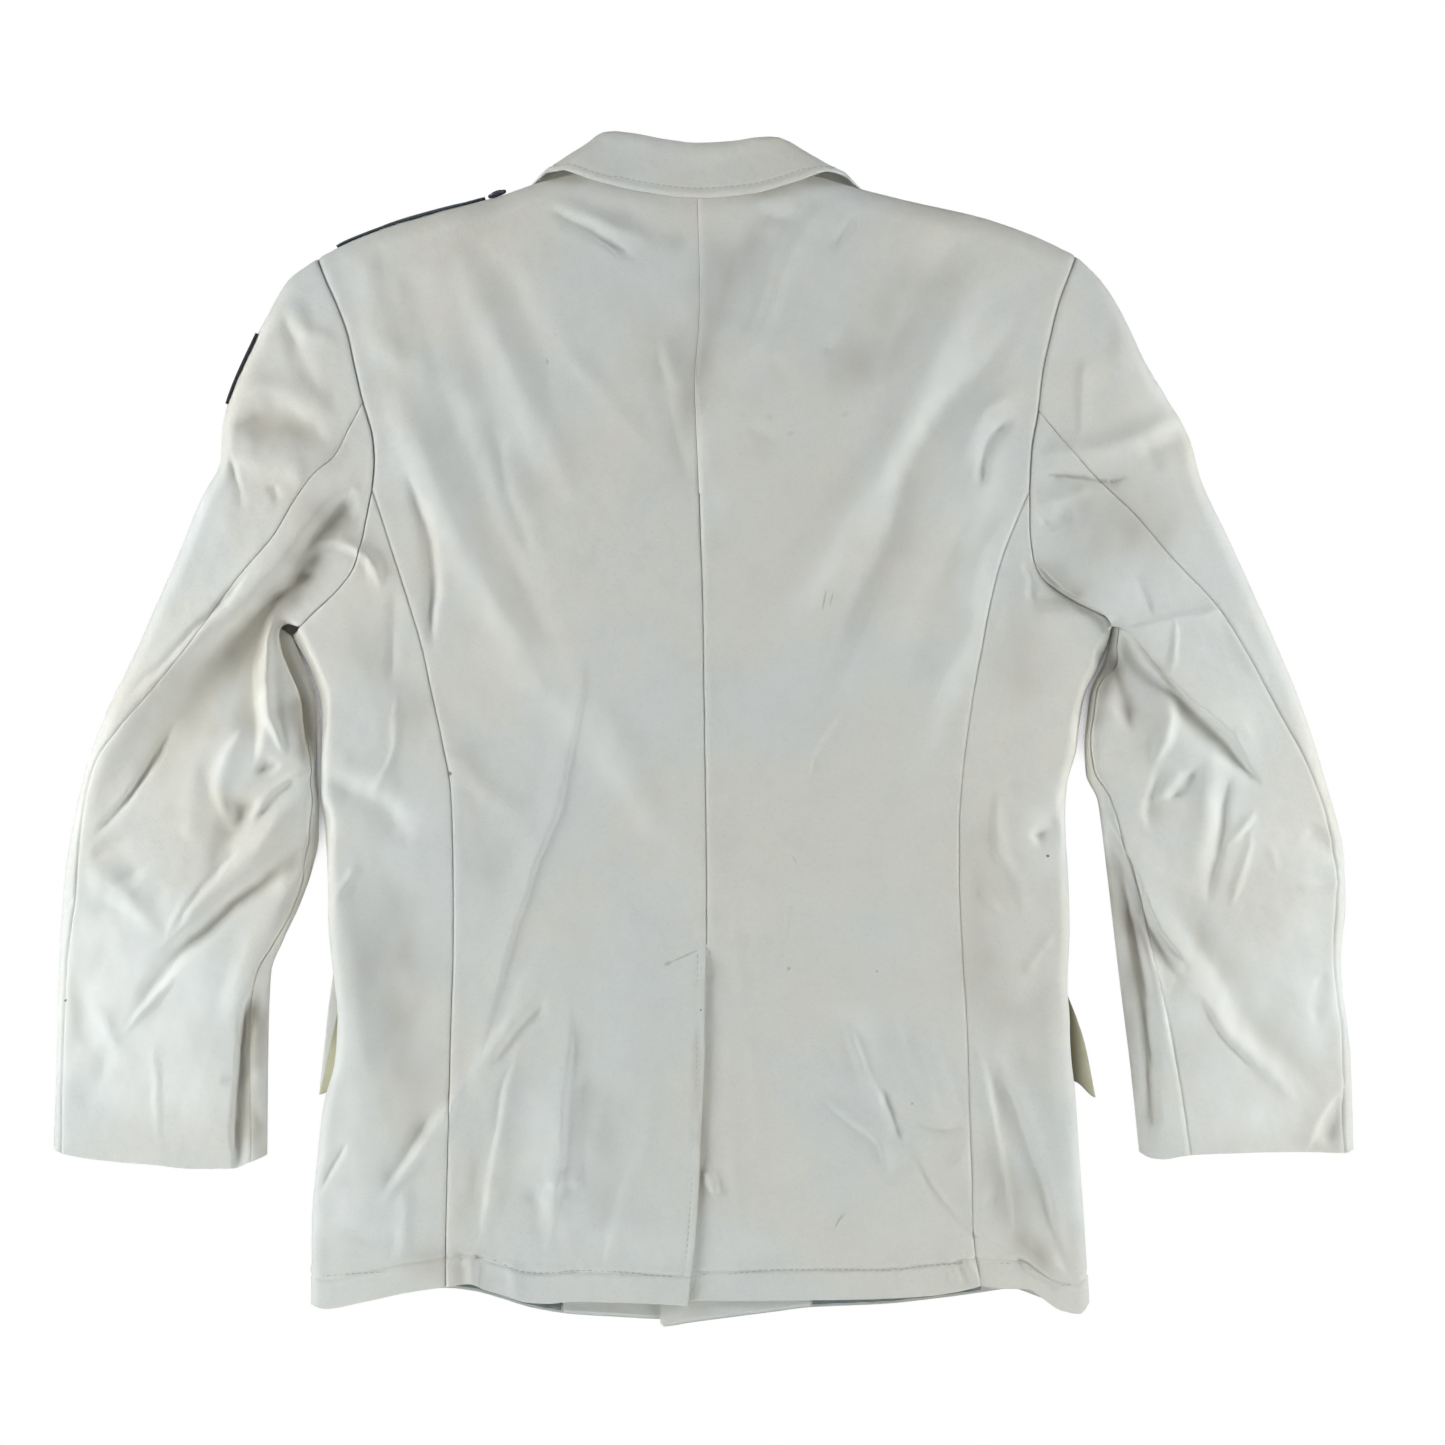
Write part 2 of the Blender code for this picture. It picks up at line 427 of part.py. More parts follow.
def wall(name, outer, normal, thick, colour, mask=None, draw=DRAW, inner=None):
    """A closed wall: outer grid, the same grid moved in, and a rim round the open edges."""
    P = np.array(outer, float)
    N = np.asarray(normal, float)
    ni, nj = P.shape[:2]
    cell = np.ones((ni - 1, nj - 1), bool) if mask is None else mask
    turn = np.cross(P[1:, :-1] - P[:-1, :-1], P[:-1, 1:] - P[:-1, :-1])
    dots = (turn * N[:-1, :-1]).sum(-1)[cell]
    sign = 1.0 if dots.sum() > 0 else -1.0
    half = {}
    for i in range(ni - 1):
        for j in range(nj - 1):
            if cell[i, j]:
                loop = [(i, j), (i + 1, j), (i + 1, j + 1), (i, j + 1)]
                for a, b in zip(loop, loop[1:] + loop[:1]):
                    half[(a, b)] = True
    inward = {}
    for a, b in half:
        if (b, a) not in half:
            m = np.cross(N[a] + N[b], P[b] - P[a]) * sign
            m = m / max(np.linalg.norm(m), 1e-9)
            inward.setdefault(a, []).append(m)
            inward.setdefault(b, []).append(m)
    Q = P.copy()
    for key, ms in inward.items():
        m1, m2 = ms[0], ms[-1]
        Q[key] = P[key] + draw * (m1 + m2) / max(1 + float(m1 @ m2), 0.6)
    P = Q
    I = P - N * thick if inner is None else inner
    verts, index = [], {}

    def vid(layer, i, j):
        key = (layer, i, j)
        if key not in index:
            index[key] = len(verts)
            verts.append((P if layer == 0 else I)[i, j])
        return index[key]

    faces, edges = [], {}
    for i in range(ni - 1):
        for j in range(nj - 1):
            if not cell[i, j]:
                continue
            loop = [(i, j), (i + 1, j), (i + 1, j + 1), (i, j + 1)]
            faces.append([vid(0, *c) for c in loop])
            faces.append([vid(1, *c) for c in reversed(loop)])
            for a, b in zip(loop, loop[1:] + loop[:1]):
                edges[(a, b)] = True
    for (a, b) in edges:
        if (b, a) not in edges:
            faces.append([vid(0, *b), vid(0, *a), vid(1, *a), vid(1, *b)])
    if sign < 0:
        faces = [f[::-1] for f in faces]
    return emit(name, verts, faces, colour)


IVORY = (0.62, 0.62, 0.57)
SLATE = (0.07, 0.09, 0.12)
LINING = (0.16, 0.18, 0.17)
METAL = (0.55, 0.45, 0.22)
BLACK = (0.02, 0.02, 0.022)

FOLD_STEPS = (0.0, 0.12, 0.45, 1.05)      # shares of a fold's reach
END = FOLD_STEPS[-1]
# stations down the armhole from the shoulder, the same on both sides of the seam
ARM_BACK_STEPS = (0.0, 1.7, 6.6, 14.7, 30.0, 58.0, 85.0)
ARM_FRONT_STEPS = (0.0, 1.7, 6.6, 14.7, 30.0, 65.0, 105.0, 145.0, 190.0)
ARM_LOW_SHARES = (0.43, 0.70, 1.0)        # from the armpit up to the under seam
SEAM_SHARE = 0.77                         # share of a back's rows that is side seam
UNDER_SHARE = 0.70                        # share of a front's rows that is under seam
SEAM_ROWS = np.array([0, 0.09, 0.18, 0.25, 0.28, 0.297, 0.318, 0.345, 0.37, 0.45, 0.53, 0.61, 0.69, SEAM_SHARE])
SHOULDER_COLS = np.array([0, 0.125, 0.25, 0.375, 0.514, 0.653, 0.806, 1.0])


def arm_steps(side):
    """Stations down the back armhole, from the shoulder to the side-back seam."""
    arm = C["arm_" + side]
    h = arm.length * (1 - arm.share_at(C["hind_" + side].p[0, 1]))
    return np.r_[ARM_BACK_STEPS, h, (h + arm.length) / 2, arm.length]


def grid(us, vs):
    return np.meshgrid(np.asarray(us, float), np.asarray(vs, float), indexing="ij")


# backs
def back_panel(side):
    seam, arm, hem, neck, sh = (C[k + side] for k in ("seam_", "arm_", "hem_back_", "neck_", "shoulder_"))
    outer = Joined(seam, arm, SEAM_SHARE)
    centre = Joined(C["vent"], C["centre"], 0.318)
    if side == "l":
        low, top, left, right = hem, Joined(sh.back(), neck.back(), 0.72), outer, centre
    else:
        low, top, left, right = hem, Joined(neck, sh, 0.28), centre, outer
    us = np.r_[SHOULDER_COLS * 0.72, 0.86, 1.0]
    us = us if side == "l" else 1 - us[::-1]
    vs = np.r_[SEAM_ROWS, 1 - (1 - SEAM_SHARE) * arm_steps(side)[-2::-1] / arm.length]
    u, v = grid(us, vs)
    xy = coons(left, right, low, top, u, v)
    mask = None
    if side == "r":
        # columns of the vent's underlap, below its top
        ext = np.linspace(-1, 0, 4)[:-1]
        first = xy[0]
        add = np.stack([first + np.array([e_ * VENT_LAP, 0.0]) * 1.0 for e_ in ext])
        xy = np.concatenate([add, xy], 0)
        mask = np.ones((xy.shape[0] - 1, xy.shape[1] - 1), bool)
        mask[:3, 4:] = False
    P, N = skin(xy, True, side, rise=lambda q: vent_rise(q, side))
    wall("back_left" if side == "l" else "back_right", P, N, WALL, IVORY, mask)


def side_panel(side):
    s = -1 if side == "l" else 1
    seam, under, edge = C["seam_" + side], C["under_" + side], C["body_" + side].back()
    arm, farm = C["arm_low_" + side].back(), C["front_arm_low_" + side].back()
    hem = C["hem_side_" + side]
    hem = hem if side == "l" else hem.back()          # from the fold inwards
    flat_hem = Curve([hem.at(0.0), (s * 250, -393), UNDER_SEAM_L[0] if side == "l" else UNDER_SEAM_R[0]])
    vs = SEAM_ROWS / SEAM_SHARE
    rows_top, rows_low = [], []
    turn_y = farm.p[-1, 1]
    low_share = 1 - C["arm_low_" + side].share_at(turn_y)      # armpit to under seam, of the armpit to the side seam
    at_top = np.r_[np.array(ARM_LOW_SHARES) * low_share, low_share + (1 - low_share) * np.array([1, 2, 3]) / 3]
    at_low = np.array(ARM_LOW_SHARES)
    for curve_in, top, low, rows, last in ((seam, arm, hem, rows_top, at_top), (under, farm, flat_hem, rows_low, at_low)):
        for vv in vs:
            f = FOLD_BODY / np.hypot(*(curve_in.at(vv) - edge.at(vv)))
            even = np.linspace(END * f, 1, len(last) + 1)[1:]
            cols = np.r_[np.array(FOLD_STEPS) * f, even + (last - even) * vv ** 4]
            rows.append(coons(edge, curve_in, low, top, cols, np.full(len(cols), vv)))
    top = np.array(rows_top).transpose(1, 0, 2)
    low = np.array(rows_low).transpose(1, 0, 2)
    Pt, Nt = skin(top, True, side)
    Pl, Nl = skin(low, False, side)
    P = np.concatenate([Pt[::-1], Pl[1:]], 0)
    N = np.concatenate([Nt[::-1], Nl[1:]], 0)
    wall("side_left" if side == "l" else "side_right", P, N, WALL, IVORY)


def front_panel(side):
    under, arm, hem, sh, edge = (C[k + side] for k in ("under_", "front_arm_", "hem_front_", "shoulder_", "edge_"))
    outer = Joined(under, arm, UNDER_SHARE)
    us = SHOULDER_COLS if side == "l" else 1 - SHOULDER_COLS[::-1]
    vs = np.r_[np.linspace(0, UNDER_SHARE, 13), 1 - (1 - UNDER_SHARE) * np.array(ARM_FRONT_STEPS[::-1]) / arm.length]
    u, v = grid(us, vs)
    if side == "l":
        xy = coons(outer, edge, hem, sh.back(), u, v)
    else:
        xy = coons(edge, outer, hem, sh, u, v)
    P, N = skin(xy, False, side)
    wall("front_left" if side == "l" else "front_right", P, N, WALL, IVORY)


def spliced(*curves):
    """Lines end to end as one line."""
    c = Curve.__new__(Curve)
    c.p = np.vstack([k.p[(1 if n else 0):] for n, k in enumerate(curves)])
    c.t = np.r_[0.0, np.cumsum(np.linalg.norm(np.diff(c.p, axis=0), axis=1))]
    c.length = c.t[-1]
    c.t = c.t / c.length
    return c


ARM_TURN = 0.25       # share of the rows whose inner end is on the armhole, above the armpit
CAP = 0.36            # share of the outer edge that faces them


def sleeve_maps(side):
    """Maps of the sleeve's upper and lower face; u from the outer edge to the inner one, v to the cuff.
    The armhole's lowest stretch is the first part of the inner side."""
    out, inn, cuff = C["out_" + side], C["in_" + side], C["cuff_" + side]
    low_y = C["front_arm_low_" + side].p[0, 1]
    low = C["arm_low_" + side]
    k = low.share_at(low_y)
    upper = spliced(C["arm_" + side].back(), low.cut(0, k))
    lower = C["front_arm_" + side].back()
    out = Joined(out.cut(0, CAP), out.cut(CAP, 1), ARM_TURN)
    inner_up = Joined(low.cut(k, 1), inn, ARM_TURN)
    inner_low = Joined(C["front_arm_low_" + side], inn, ARM_TURN)
    return [lambda u, v, a=a, b=b: coons(out, a, b, cuff, u, v, 0.3)
            for a, b in ((inner_up, upper), (inner_low, lower))]


def hind_share(side, up, v):
    """Where the hindarm seam crosses the row v, as a share from the outer edge."""
    us = np.linspace(0, 1, 400)
    p = up(us, np.full(400, v))
    h = C["hind_" + side].p
    hx = np.interp(-p[:, 1], -h[:, 1], h[:, 0])
    gap = (p[:, 0] - hx) * (1 if side == "l" else -1)
    if v == 0:
        return float(us[np.argmin(np.hypot(p[:, 0] - h[0, 0], p[:, 1] - h[0, 1]))])
    i = int(np.argmax(gap > 0))
    return float(us[i])


def fold_cols(up, v, at_outer, reach):
    """Shares across at which the fold's steps lie."""
    e = 1e-3
    a, b = (0.0, e) if at_outer else (1.0, 1.0 - e)
    p = up(np.array([a, b]), np.array([v, v]))
    q = up(np.array([a, a]), np.array([max(v - 0.01, 0), min(v + 0.01, 1)]))
    row, along = p[1] - p[0], q[1] - q[0]
    per = abs(row[0] * along[1] - row[1] * along[0]) / np.hypot(*along) / e
    return np.array(FOLD_STEPS) * reach / max(per, 1e-6)      # per: distance from the fold for each unit across


def sleeve(side):
    up, low = sleeve_maps(side)
    turns = ARM_TURN * (1 - np.array(ARM_LOW_SHARES[1::-1]))
    vs = np.r_[0.0, turns, ARM_TURN * 0.855, ARM_TURN, 0.33, 0.42, 0.51, 0.60, 0.70, 0.80, 0.90, 1.0]
    turn = 4                                   # the armpit's row
    back_steps = arm_steps(side)
    low_y = C["front_arm_low_" + side].p[0, 1]
    low_arm = C["arm_low_" + side]
    rest = low_arm.length * low_arm.share_at(low_y)
    total = back_steps[-1] + rest
    k = len(ARM_BACK_STEPS)
    top_rows, under_rows = [], []
    for n, v in enumerate(vs):
        fo, fl = fold_cols(up, v, True, FOLD_SLEEVE), fold_cols(low, v, True, FOLD_SLEEVE)
        h = max(hind_share(side, up, v), fo[1] * 1.2)
        if n < turn:
            fi = fli = np.array(FOLD_STEPS) * 0.012
            f = 0.0
        else:
            fi, fli = fold_cols(up, v, False, FOLD_SLEEVE), fold_cols(low, v, False, FOLD_SLEEVE)
            y = float(up(np.array([0.95]), np.array([v]))[0, 1])
            f = float(column(y, 3 if side == "l" else 4)) / (FOLD_SLEEVE * END) * fi[-1]
        under = np.linspace(h, 1 - f, 6)
        a = np.linspace(0, h, k + 1) if h < fo[-1] * 1.1 else np.r_[fo, np.linspace(fo[-1], h, k - 2)[1:]]
        b = np.r_[fl[1:], np.linspace(fl[-1], 1 - fli[-1], 7)[1:-1], (1 - fli)[::-1]]
        if n == 0:
            under = np.r_[back_steps[k:], back_steps[-1] + rest * np.array([1, 2, 3]) / 3] / total
            a = back_steps[:k + 1] / total
            b = np.r_[np.array(ARM_FRONT_STEPS[1:]) / C["front_arm_" + side].length, (1 - fli)[::-1]]
        c = np.linspace(0, f, 4) if n < turn or f < fi[-1] * 1.1 else np.r_[fi[:3], f]
        # top sleeve: hindarm seam, over the outer fold, beneath, round the inner fold to the forearm seam
        under_rows.append(up(under, np.full(len(under), v)))
        top_rows.append((up(a[::-1], np.full(len(a), v)), low(b, np.full(len(b), v)), up(1 - c[1:], np.full(3, v))))
    name = "left" if side == "l" else "right"
    under = np.array(under_rows).transpose(1, 0, 2)
    Pu, Nu = skin(under, True, side)
    wall(f"sleeve_{name}_under", Pu, Nu, WALL, IVORY)
    A, B, D = (np.array([r[k] for r in top_rows]).transpose(1, 0, 2) for k in range(3))
    PA, NA = skin(A, True, side)
    PB, NB = sleeve_low(B, side)
    PD, ND = skin(D, True, side)
    P, N = np.concatenate([PA, PB, PD]), np.concatenate([NA, NB, ND])
    mask = np.ones((len(P) - 1, len(vs) - 1), bool)
    mask[-3:, :turn] = False
    wall(f"sleeve_{name}_top", P, N, WALL, IVORY, mask)


def sleeve_low(xy, side):
    """The sleeve's lower face: flat on the ground, rounded at the folds."""
    k, way, reach = fold_field(xy)
    w = np.sqrt(np.clip(1 - k * k, 0, 1))
    mid = FOLD_MID * plateau(xy)
    up = np.zeros(xy.shape[:-1])
    if side == "l":
        up = (PATCH + 2 * REST) * (1 - smooth((inside_dist(xy, PATCH_AREA) - LIFT_MARGIN) / LIFT_RUN))
    z = mid + (up - mid) * w
    slope = k * (mid - up) / reach
    n = np.stack([-way[..., 0] * slope, -way[..., 1] * slope, -w], -1)
    n /= np.linalg.norm(n, axis=-1, keepdims=True)
    return np.concatenate([xy, z[..., None]], -1), n


def round_fold(line, stations, reach, surface, lap, way_in):
    """Rows that start near a fold's outermost line and go beneath it.
    stations: share along the line, start share of the reach (+ above, - beneath), width."""
    rows, flags = [], []
    for t, start, wide in stations:
        p = line.at(t)
        q = line.at(min(t + 0.01, 1.0)) - line.at(max(t - 0.01, 0.0))
        n = np.array([q[1], -q[0]]) / np.hypot(*q)
        n = n if n @ way_in > 0 else -n
        if start >= 0:
            ds = np.r_[-start * reach, 0.0, np.array(FOLD_STEPS[1:]) * reach, np.linspace(END * reach, wide, 4)[1:]]
        else:
            ds = np.linspace(-start * reach, wide, 8)
        rows.append([np.r_[p + n * abs(d), d] for d in ds])
    g = np.array(rows).transpose(1, 0, 2)
    above = g[..., 2] < 0
    Pu, Nu = skin(g[..., :2], True, lap)
    Pl, Nl = surface(g[..., :2], lap)
    P = np.where(above[..., None], Pu, Pl)
    N = np.where(above[..., None], Nu, Nl)
    return P, N


def laid_on(name, grids, thick, colour, rest=REST):
    """What lies on a piece: its points, moved out."""
    P, N = grids
    wall(name, P + N * (rest + thick), N, thick, colour, draw=0.0)


def plate(name, rows, z, thick, colour, across=5, up=False):
    """A flat piece between two edges, its lower face at z, or its upper one."""
    r = np.asarray(rows, float)
    s = np.linspace(0, 1, across)[:, None, None]
    xy = r[None, :, 0:2] * (1 - s) + r[None, :, 2:4] * s
    P = np.concatenate([xy, np.full(xy.shape[:-1] + (1,), 0.0)], -1)
    P[..., 2] = z
    N = np.zeros_like(P)
    N[..., 2] = 1.0 if up else -1.0
    wall(name, P, N, thick, colour, draw=DRAW)


def button(name, centre, axis, d, t, colour, n=16):
    """A plain domed button: flat back at the centre point, rim and a low dome."""
    a = np.asarray(axis, float)
    a = a / np.linalg.norm(a)
    b = np.cross(a, [1.0, 0.0, 0.0] if abs(a[0]) < 0.9 else [0.0, 1.0, 0.0])
    b = b / np.linalg.norm(b)
    c = np.cross(a, b)
    prof = [(1.0, 0.0), (1.0, 0.55), (0.75, 0.92)]
    ang = np.linspace(0, 2 * np.pi, n, endpoint=False)
    v = [np.asarray(centre, float)]
    for r, h in prof:
        for g in ang:
            v.append(centre + a * h * t + (b * np.cos(g) + c * np.sin(g)) * r * d / 2)
    v.append(centre + a * t)
    f = [[0, 1 + (k + 1) % n, 1 + k] for k in range(n)]
    for m in range(len(prof) - 1):
        for k in range(n):
            f.append([1 + m * n + k, 1 + m * n + (k + 1) % n, 1 + (m + 1) * n + (k + 1) % n, 1 + (m + 1) * n + k])
    last = 1 + (len(prof) - 1) * n
    f += [[last + k, last + (k + 1) % n, len(v) - 1] for k in range(n)]
    emit(name, v, f, colour)


def grid_normals(P, out):
    du = np.gradient(P, axis=0)
    dv = np.gradient(P, axis=1)
    n = np.cross(du, dv)
    n /= np.linalg.norm(n, axis=-1, keepdims=True)
    c = n[n.shape[0] // 2, n.shape[1] // 2]
    return n if c @ np.asarray(out, float) > 0 else -n


def collar():
    t = _COL
    s = np.linspace(0, 1, 5)[:, None, None]
    roll, edge, seam = t[None, :, 0:3], t[None, :, 3:6], t[None, :, 6:9]
    P = roll * (1 - s) + edge * s
    N = grid_normals(P, (0, 0, 1))
    wall("collar_fall", P, N, WALL, IVORY)
    top = roll * 0.70 + seam * 0.30
    top[..., 2] = seam[..., 2] - 0.8
    s = np.linspace(0, 1, 4)[:, None, None]
    P = top * (1 - s) + seam * s
    N = grid_normals(P, (0, 0, 1))
    wall("collar_stand", P, N, WALL, IVORY, draw=0.0)


def hem_at(side, x):
    p = C["hem_front_" + side].p
    i = np.argsort(p[:, 0])
    return np.interp(x, p[i, 0], p[i, 1])


def strips():
    for name, x0, x1, thick in STRIPS:
        side = "l" if name.endswith("left") else "r"
        xs = np.linspace(x0, x1, 9)
        low = 1.2 if name.startswith("facing") else 4.0
        y0 = np.array([hem_at(side, x) for x in xs]) + low
        y1 = y0 + STRIP_TALL
        s = np.linspace(0, 1, 3)[:, None]
        xy = np.stack([np.broadcast_to(xs, (3, 9)), y0 * (1 - s) + y1 * s], -1)
        z = lift(xy, side) + WALL + 4 * REST + thick
        P = np.concatenate([xy, z[..., None]], -1)
        N = np.zeros_like(P)
        N[..., 2] = 1.0
        wall(name, P, N, thick, IVORY if name.startswith("facing") else LINING)


def shares(rows, line):
    return [(line.share_at(x, 0), a, b) for x, a, b in rows]


for old in list(bpy.data.objects):
    bpy.data.objects.remove(old, do_unlink=True)

for side in "lr":
    back_panel(side)
    side_panel(side)
    front_panel(side)
    sleeve(side)

collar()
for side, name in (("l", "left"), ("r", "right")):
    plate("lapel_" + name, LAPEL_L if side == "l" else LAPEL_R, 0.0, WALL, IVORY)
    plate("flap_" + name, FLAP_L if side == "l" else FLAP_R, 0.0, WALL, IVORY, across=8)
    line = C["shoulder_" + side]
    laid_on("epaulette_" + name, round_fold(line, shares(BOARD_L if side == "l" else BOARD_R, line), FOLD_SHOULDER,
                                            lambda q, k: skin(q, False, k), side, np.array([0.0, -1.0])), BOARD, SLATE, 2 * REST)
laid_on("sleeve_patch", round_fold(C["out_l"], PATCH_L, FOLD_SLEEVE, sleeve_low, "l", np.array([0.85, -0.52])), PATCH, BLACK, 1.7 * REST)
for n, (bx, by) in enumerate(FRONT_BUTTONS, 1):
    button(f"front_button_{n}", np.array([bx, by, BUTTON_T]), (0, 0, -1), BUTTON_D, BUTTON_T, METAL)
crest = C["shoulder_l"].at(C["shoulder_l"].share_at(-140.5, 0))
button("epaulette_button_left", np.array([crest[0] - 0.33 * 2 * REST, crest[1] + 0.94 * 2 * REST, FOLD_MID * 21.5]),
       (-0.33, 0.94, 0), SMALL_BUTTON_D, SMALL_BUTTON_T, METAL, 12)
button("epaulette_button_right", np.array([*SMALL_BUTTON_R, SMALL_BUTTON_T]), (0, 0, -1), SMALL_BUTTON_D, SMALL_BUTTON_T,
       METAL, 12)
strips()
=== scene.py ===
"""Looks of the army dress uniform jacket, laid face down on a white floor.

Every cloth piece is a thin shell worked out from the same sizes and outlines as
its solid, with the creases of the table CREASES. Lengths are in millimetres.
"""

import bpy
import numpy as np
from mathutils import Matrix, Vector


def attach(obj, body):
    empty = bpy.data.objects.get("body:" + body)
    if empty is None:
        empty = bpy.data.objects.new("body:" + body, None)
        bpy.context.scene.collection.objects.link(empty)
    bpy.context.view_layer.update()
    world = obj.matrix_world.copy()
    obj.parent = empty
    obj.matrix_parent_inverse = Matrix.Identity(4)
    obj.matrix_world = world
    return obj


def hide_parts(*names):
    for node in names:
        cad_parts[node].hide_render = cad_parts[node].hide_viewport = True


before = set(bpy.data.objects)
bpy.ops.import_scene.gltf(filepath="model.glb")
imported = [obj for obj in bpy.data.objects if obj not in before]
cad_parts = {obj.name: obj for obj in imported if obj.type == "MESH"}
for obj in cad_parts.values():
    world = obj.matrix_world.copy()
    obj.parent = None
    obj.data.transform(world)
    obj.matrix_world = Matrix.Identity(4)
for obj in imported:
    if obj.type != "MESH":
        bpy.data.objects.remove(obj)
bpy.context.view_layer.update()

MM = 0.001

# ---- driving sizes -------------------------------------------------------
WALL = 1.8            # cloth with its interlining
THIN = 1.0            # facing and lining strips
DRAW = 0.24           # each piece draws back this far from its seam
REST = 0.4            # space between pieces that lie on each other
BOARD = 2.0           # shoulder board
PATCH = 1.2           # sleeve patch
BUTTON_D = 20.0
BUTTON_T = 3.0
SMALL_BUTTON_D = 13.0
SMALL_BUTTON_T = 3.2
VENT_TOP_Y = -147.0
VENT_LAP = 38.0       # width of the vent's underlap
VENT_RISE = WALL + REST
FOLD_BODY = 9.0       # how far in the rounded folds reach
FOLD_SHOULDER = 14.0
FOLD_SLEEVE = 11.0
FOLD_MID = 0.46       # height of a fold's outermost line, of its full height
LIFT_MARGIN = 36.0    # a front stays raised this far round what lies beneath it
LIFT_RUN = 30.0

# ---- outlines, (x, y) ----------------------------------------------------
SHOULDER_L = [(-82, 381.5), (-97, 377.5), (-111, 374), (-139, 364.4), (-160, 358.9), (-180.5, 353.8),
              (-208, 345.9), (-241, 333.3), (-263, 321.6)]
SHOULDER_R = [(72, 379.5), (86, 375.5), (100, 371.3), (131, 363.1), (162, 356.2), (191, 349.4),
              (210, 343.2), (229, 335.7), (254, 323.3)]
SLEEVE_OUT_L = [(-263, 321.6), (-282, 308), (-298, 281), (-312, 253), (-323, 226), (-328, 205), (-329, 185),
                (-342, 158), (-359, 117), (-383, 62), (-407, 7), (-426, -48), (-436, -103), (-440, -171),
                (-442, -235), (-444, -286)]
SLEEVE_OUT_R = [(254, 323.3), (270, 308), (287, 281), (300, 253), (316, 226), (331, 199), (339, 171),
                (358, 130), (383, 75), (406, 21), (424, -34), (437, -89), (438, -117), (435, -160),
                (442, -226), (444, -286)]
SLEEVE_IN_L = [(-280.5, 64), (-275, 50), (-270.5, 40), (-264, 18), (-263.8, -6), (-264.2, -32), (-262.6, -50),
               (-262.4, -72), (-267, -95), (-275, -118), (-287, -144), (-295, -165), (-297, -212), (-298, -290)]
SLEEVE_IN_R = [(279, 73), (277.5, 60), (272.5, 44), (264, 25), (262, 10), (260, -10), (261, -30),
               (268.9, -48), (271, -62), (276, -103), (284, -171), (291, -226), (297.6, -288)]
BODY_L = [(-280.5, 64), (-272.5, 50), (-268, 41), (-261.3, 20), (-261, -6), (-261.2, -38), (-258, -69),
          (-256.3, -103), (-255.4, -137), (-252, -170), (-249.5, -196), (-252, -228), (-259, -254),
          (-264, -295), (-267.5, -336), (-268, -392)]
BODY_R = [(279, 73), (275, 57), (270, 44), (260.5, 25), (256.5, 5), (254.5, -13), (248, -38),
          (246.8, -60), (249, -103), (250, -137), (248.5, -171), (250, -212), (254, -250), (257, -295),
          (260, -336), (263.4, -391)]
ARM_BACK_L = [(-225, 163), (-223.4, 183), (-224.3, 196), (-231.9, 225), (-237.4, 249), (-241.5, 268),
              (-249.2, 289), (-256.8, 306), (-263, 321.6)]
ARM_LOW_L = [(-225, 163), (-228.4, 146), (-232, 128), (-237.4, 111), (-249.2, 94.5), (-264.5, 80), (-280.5, 64)]
ARM_BACK_R = [(221.5, 162), (223, 190), (227.4, 216), (230.5, 242), (236, 268), (241.5, 290), (248.2, 308),
              (254, 323.3)]
ARM_LOW_R = [(221.5, 162), (221.6, 139), (224, 118), (229, 105), (240, 95), (256, 85), (270, 78.5), (279, 73)]
ARM_FRONT_L = [(-235, 110), (-222, 140), (-219, 170), (-224, 205), (-234, 240), (-246, 278), (-263, 321.6)]
ARM_FRONT_LOW_L = [(-235, 110), (-250, 88), (-265, 74), (-280.5, 64)]
ARM_FRONT_R = [(231, 112), (219, 142), (216, 170), (220, 205), (229, 240), (240, 280), (254, 323.3)]
ARM_FRONT_LOW_R = [(231, 112), (246, 93), (262, 80), (279, 73)]
SIDE_SEAM_L = [(-175.7, -379.5), (-175.6, -355), (-174.2, -295), (-172, -212), (-170, -137), (-170, -103),
               (-170.6, -70), (-172, -38), (-177.7, -7), (-185, 27), (-191, 55), (-201, 89), (-211, 120),
               (-218.6, 144), (-225, 163)]
SIDE_SEAM_R = [(189, -378.8), (184.5, -350), (182.2, -295), (179.7, -212), (175.4, -137), (174, -103),
               (174, -69), (175.5, -38), (179, -7), (184, 27), (189, 55), (195.5, 89), (203.8, 120),
               (213, 143), (221.5, 162)]
UNDER_SEAM_L = [(-215, -386), (-214, -250), (-214, -100), (-220, 20), (-235, 110)]
UNDER_SEAM_R = [(212, -382), (211, -250), (211, -100), (217, 20), (231, 112)]
CENTRE = [(2.5, -147), (2.3, -103), (1.6, -38), (1.1, -7), (0.4, 41), (-0.3, 89), (-1.3, 120), (-2.6, 162),
          (-4.2, 199), (-5.4, 240), (-3.8, 260), (-1.8, 295), (-2.6, 330), (-3.8, 372)]
VENT_EDGE = [(-9.8, -391.8), (-7.5, -368), (-5, -349), (-3, -318), (-0.5, -265), (1.5, -217), (1.5, -190),
             (2.5, -147)]
HEM_BACK_L = [(-175.7, -379.5), (-159, -377.4), (-149.7, -381.3), (-135, -385.7), (-120, -390.2),
              (-105, -391), (-90, -389.5), (-53, -390.2), (-9.8, -391.8)]
HEM_BACK_R = [(-9.8, -388.6), (38, -388.7), (75, -388.3), (112, -387.7), (150, -385.7), (172, -382.8),
              (189, -378.8)]
HEM_SIDE_L = [(-268, -392), (-258, -394.6), (-232, -390), (-204, -383.9), (-175.7, -379.5)]
HEM_SIDE_R = [(189, -378.8), (207, -380.9), (221, -380.9), (230, -386.7), (243.5, -395.5), (256, -398),
              (263.4, -391)]
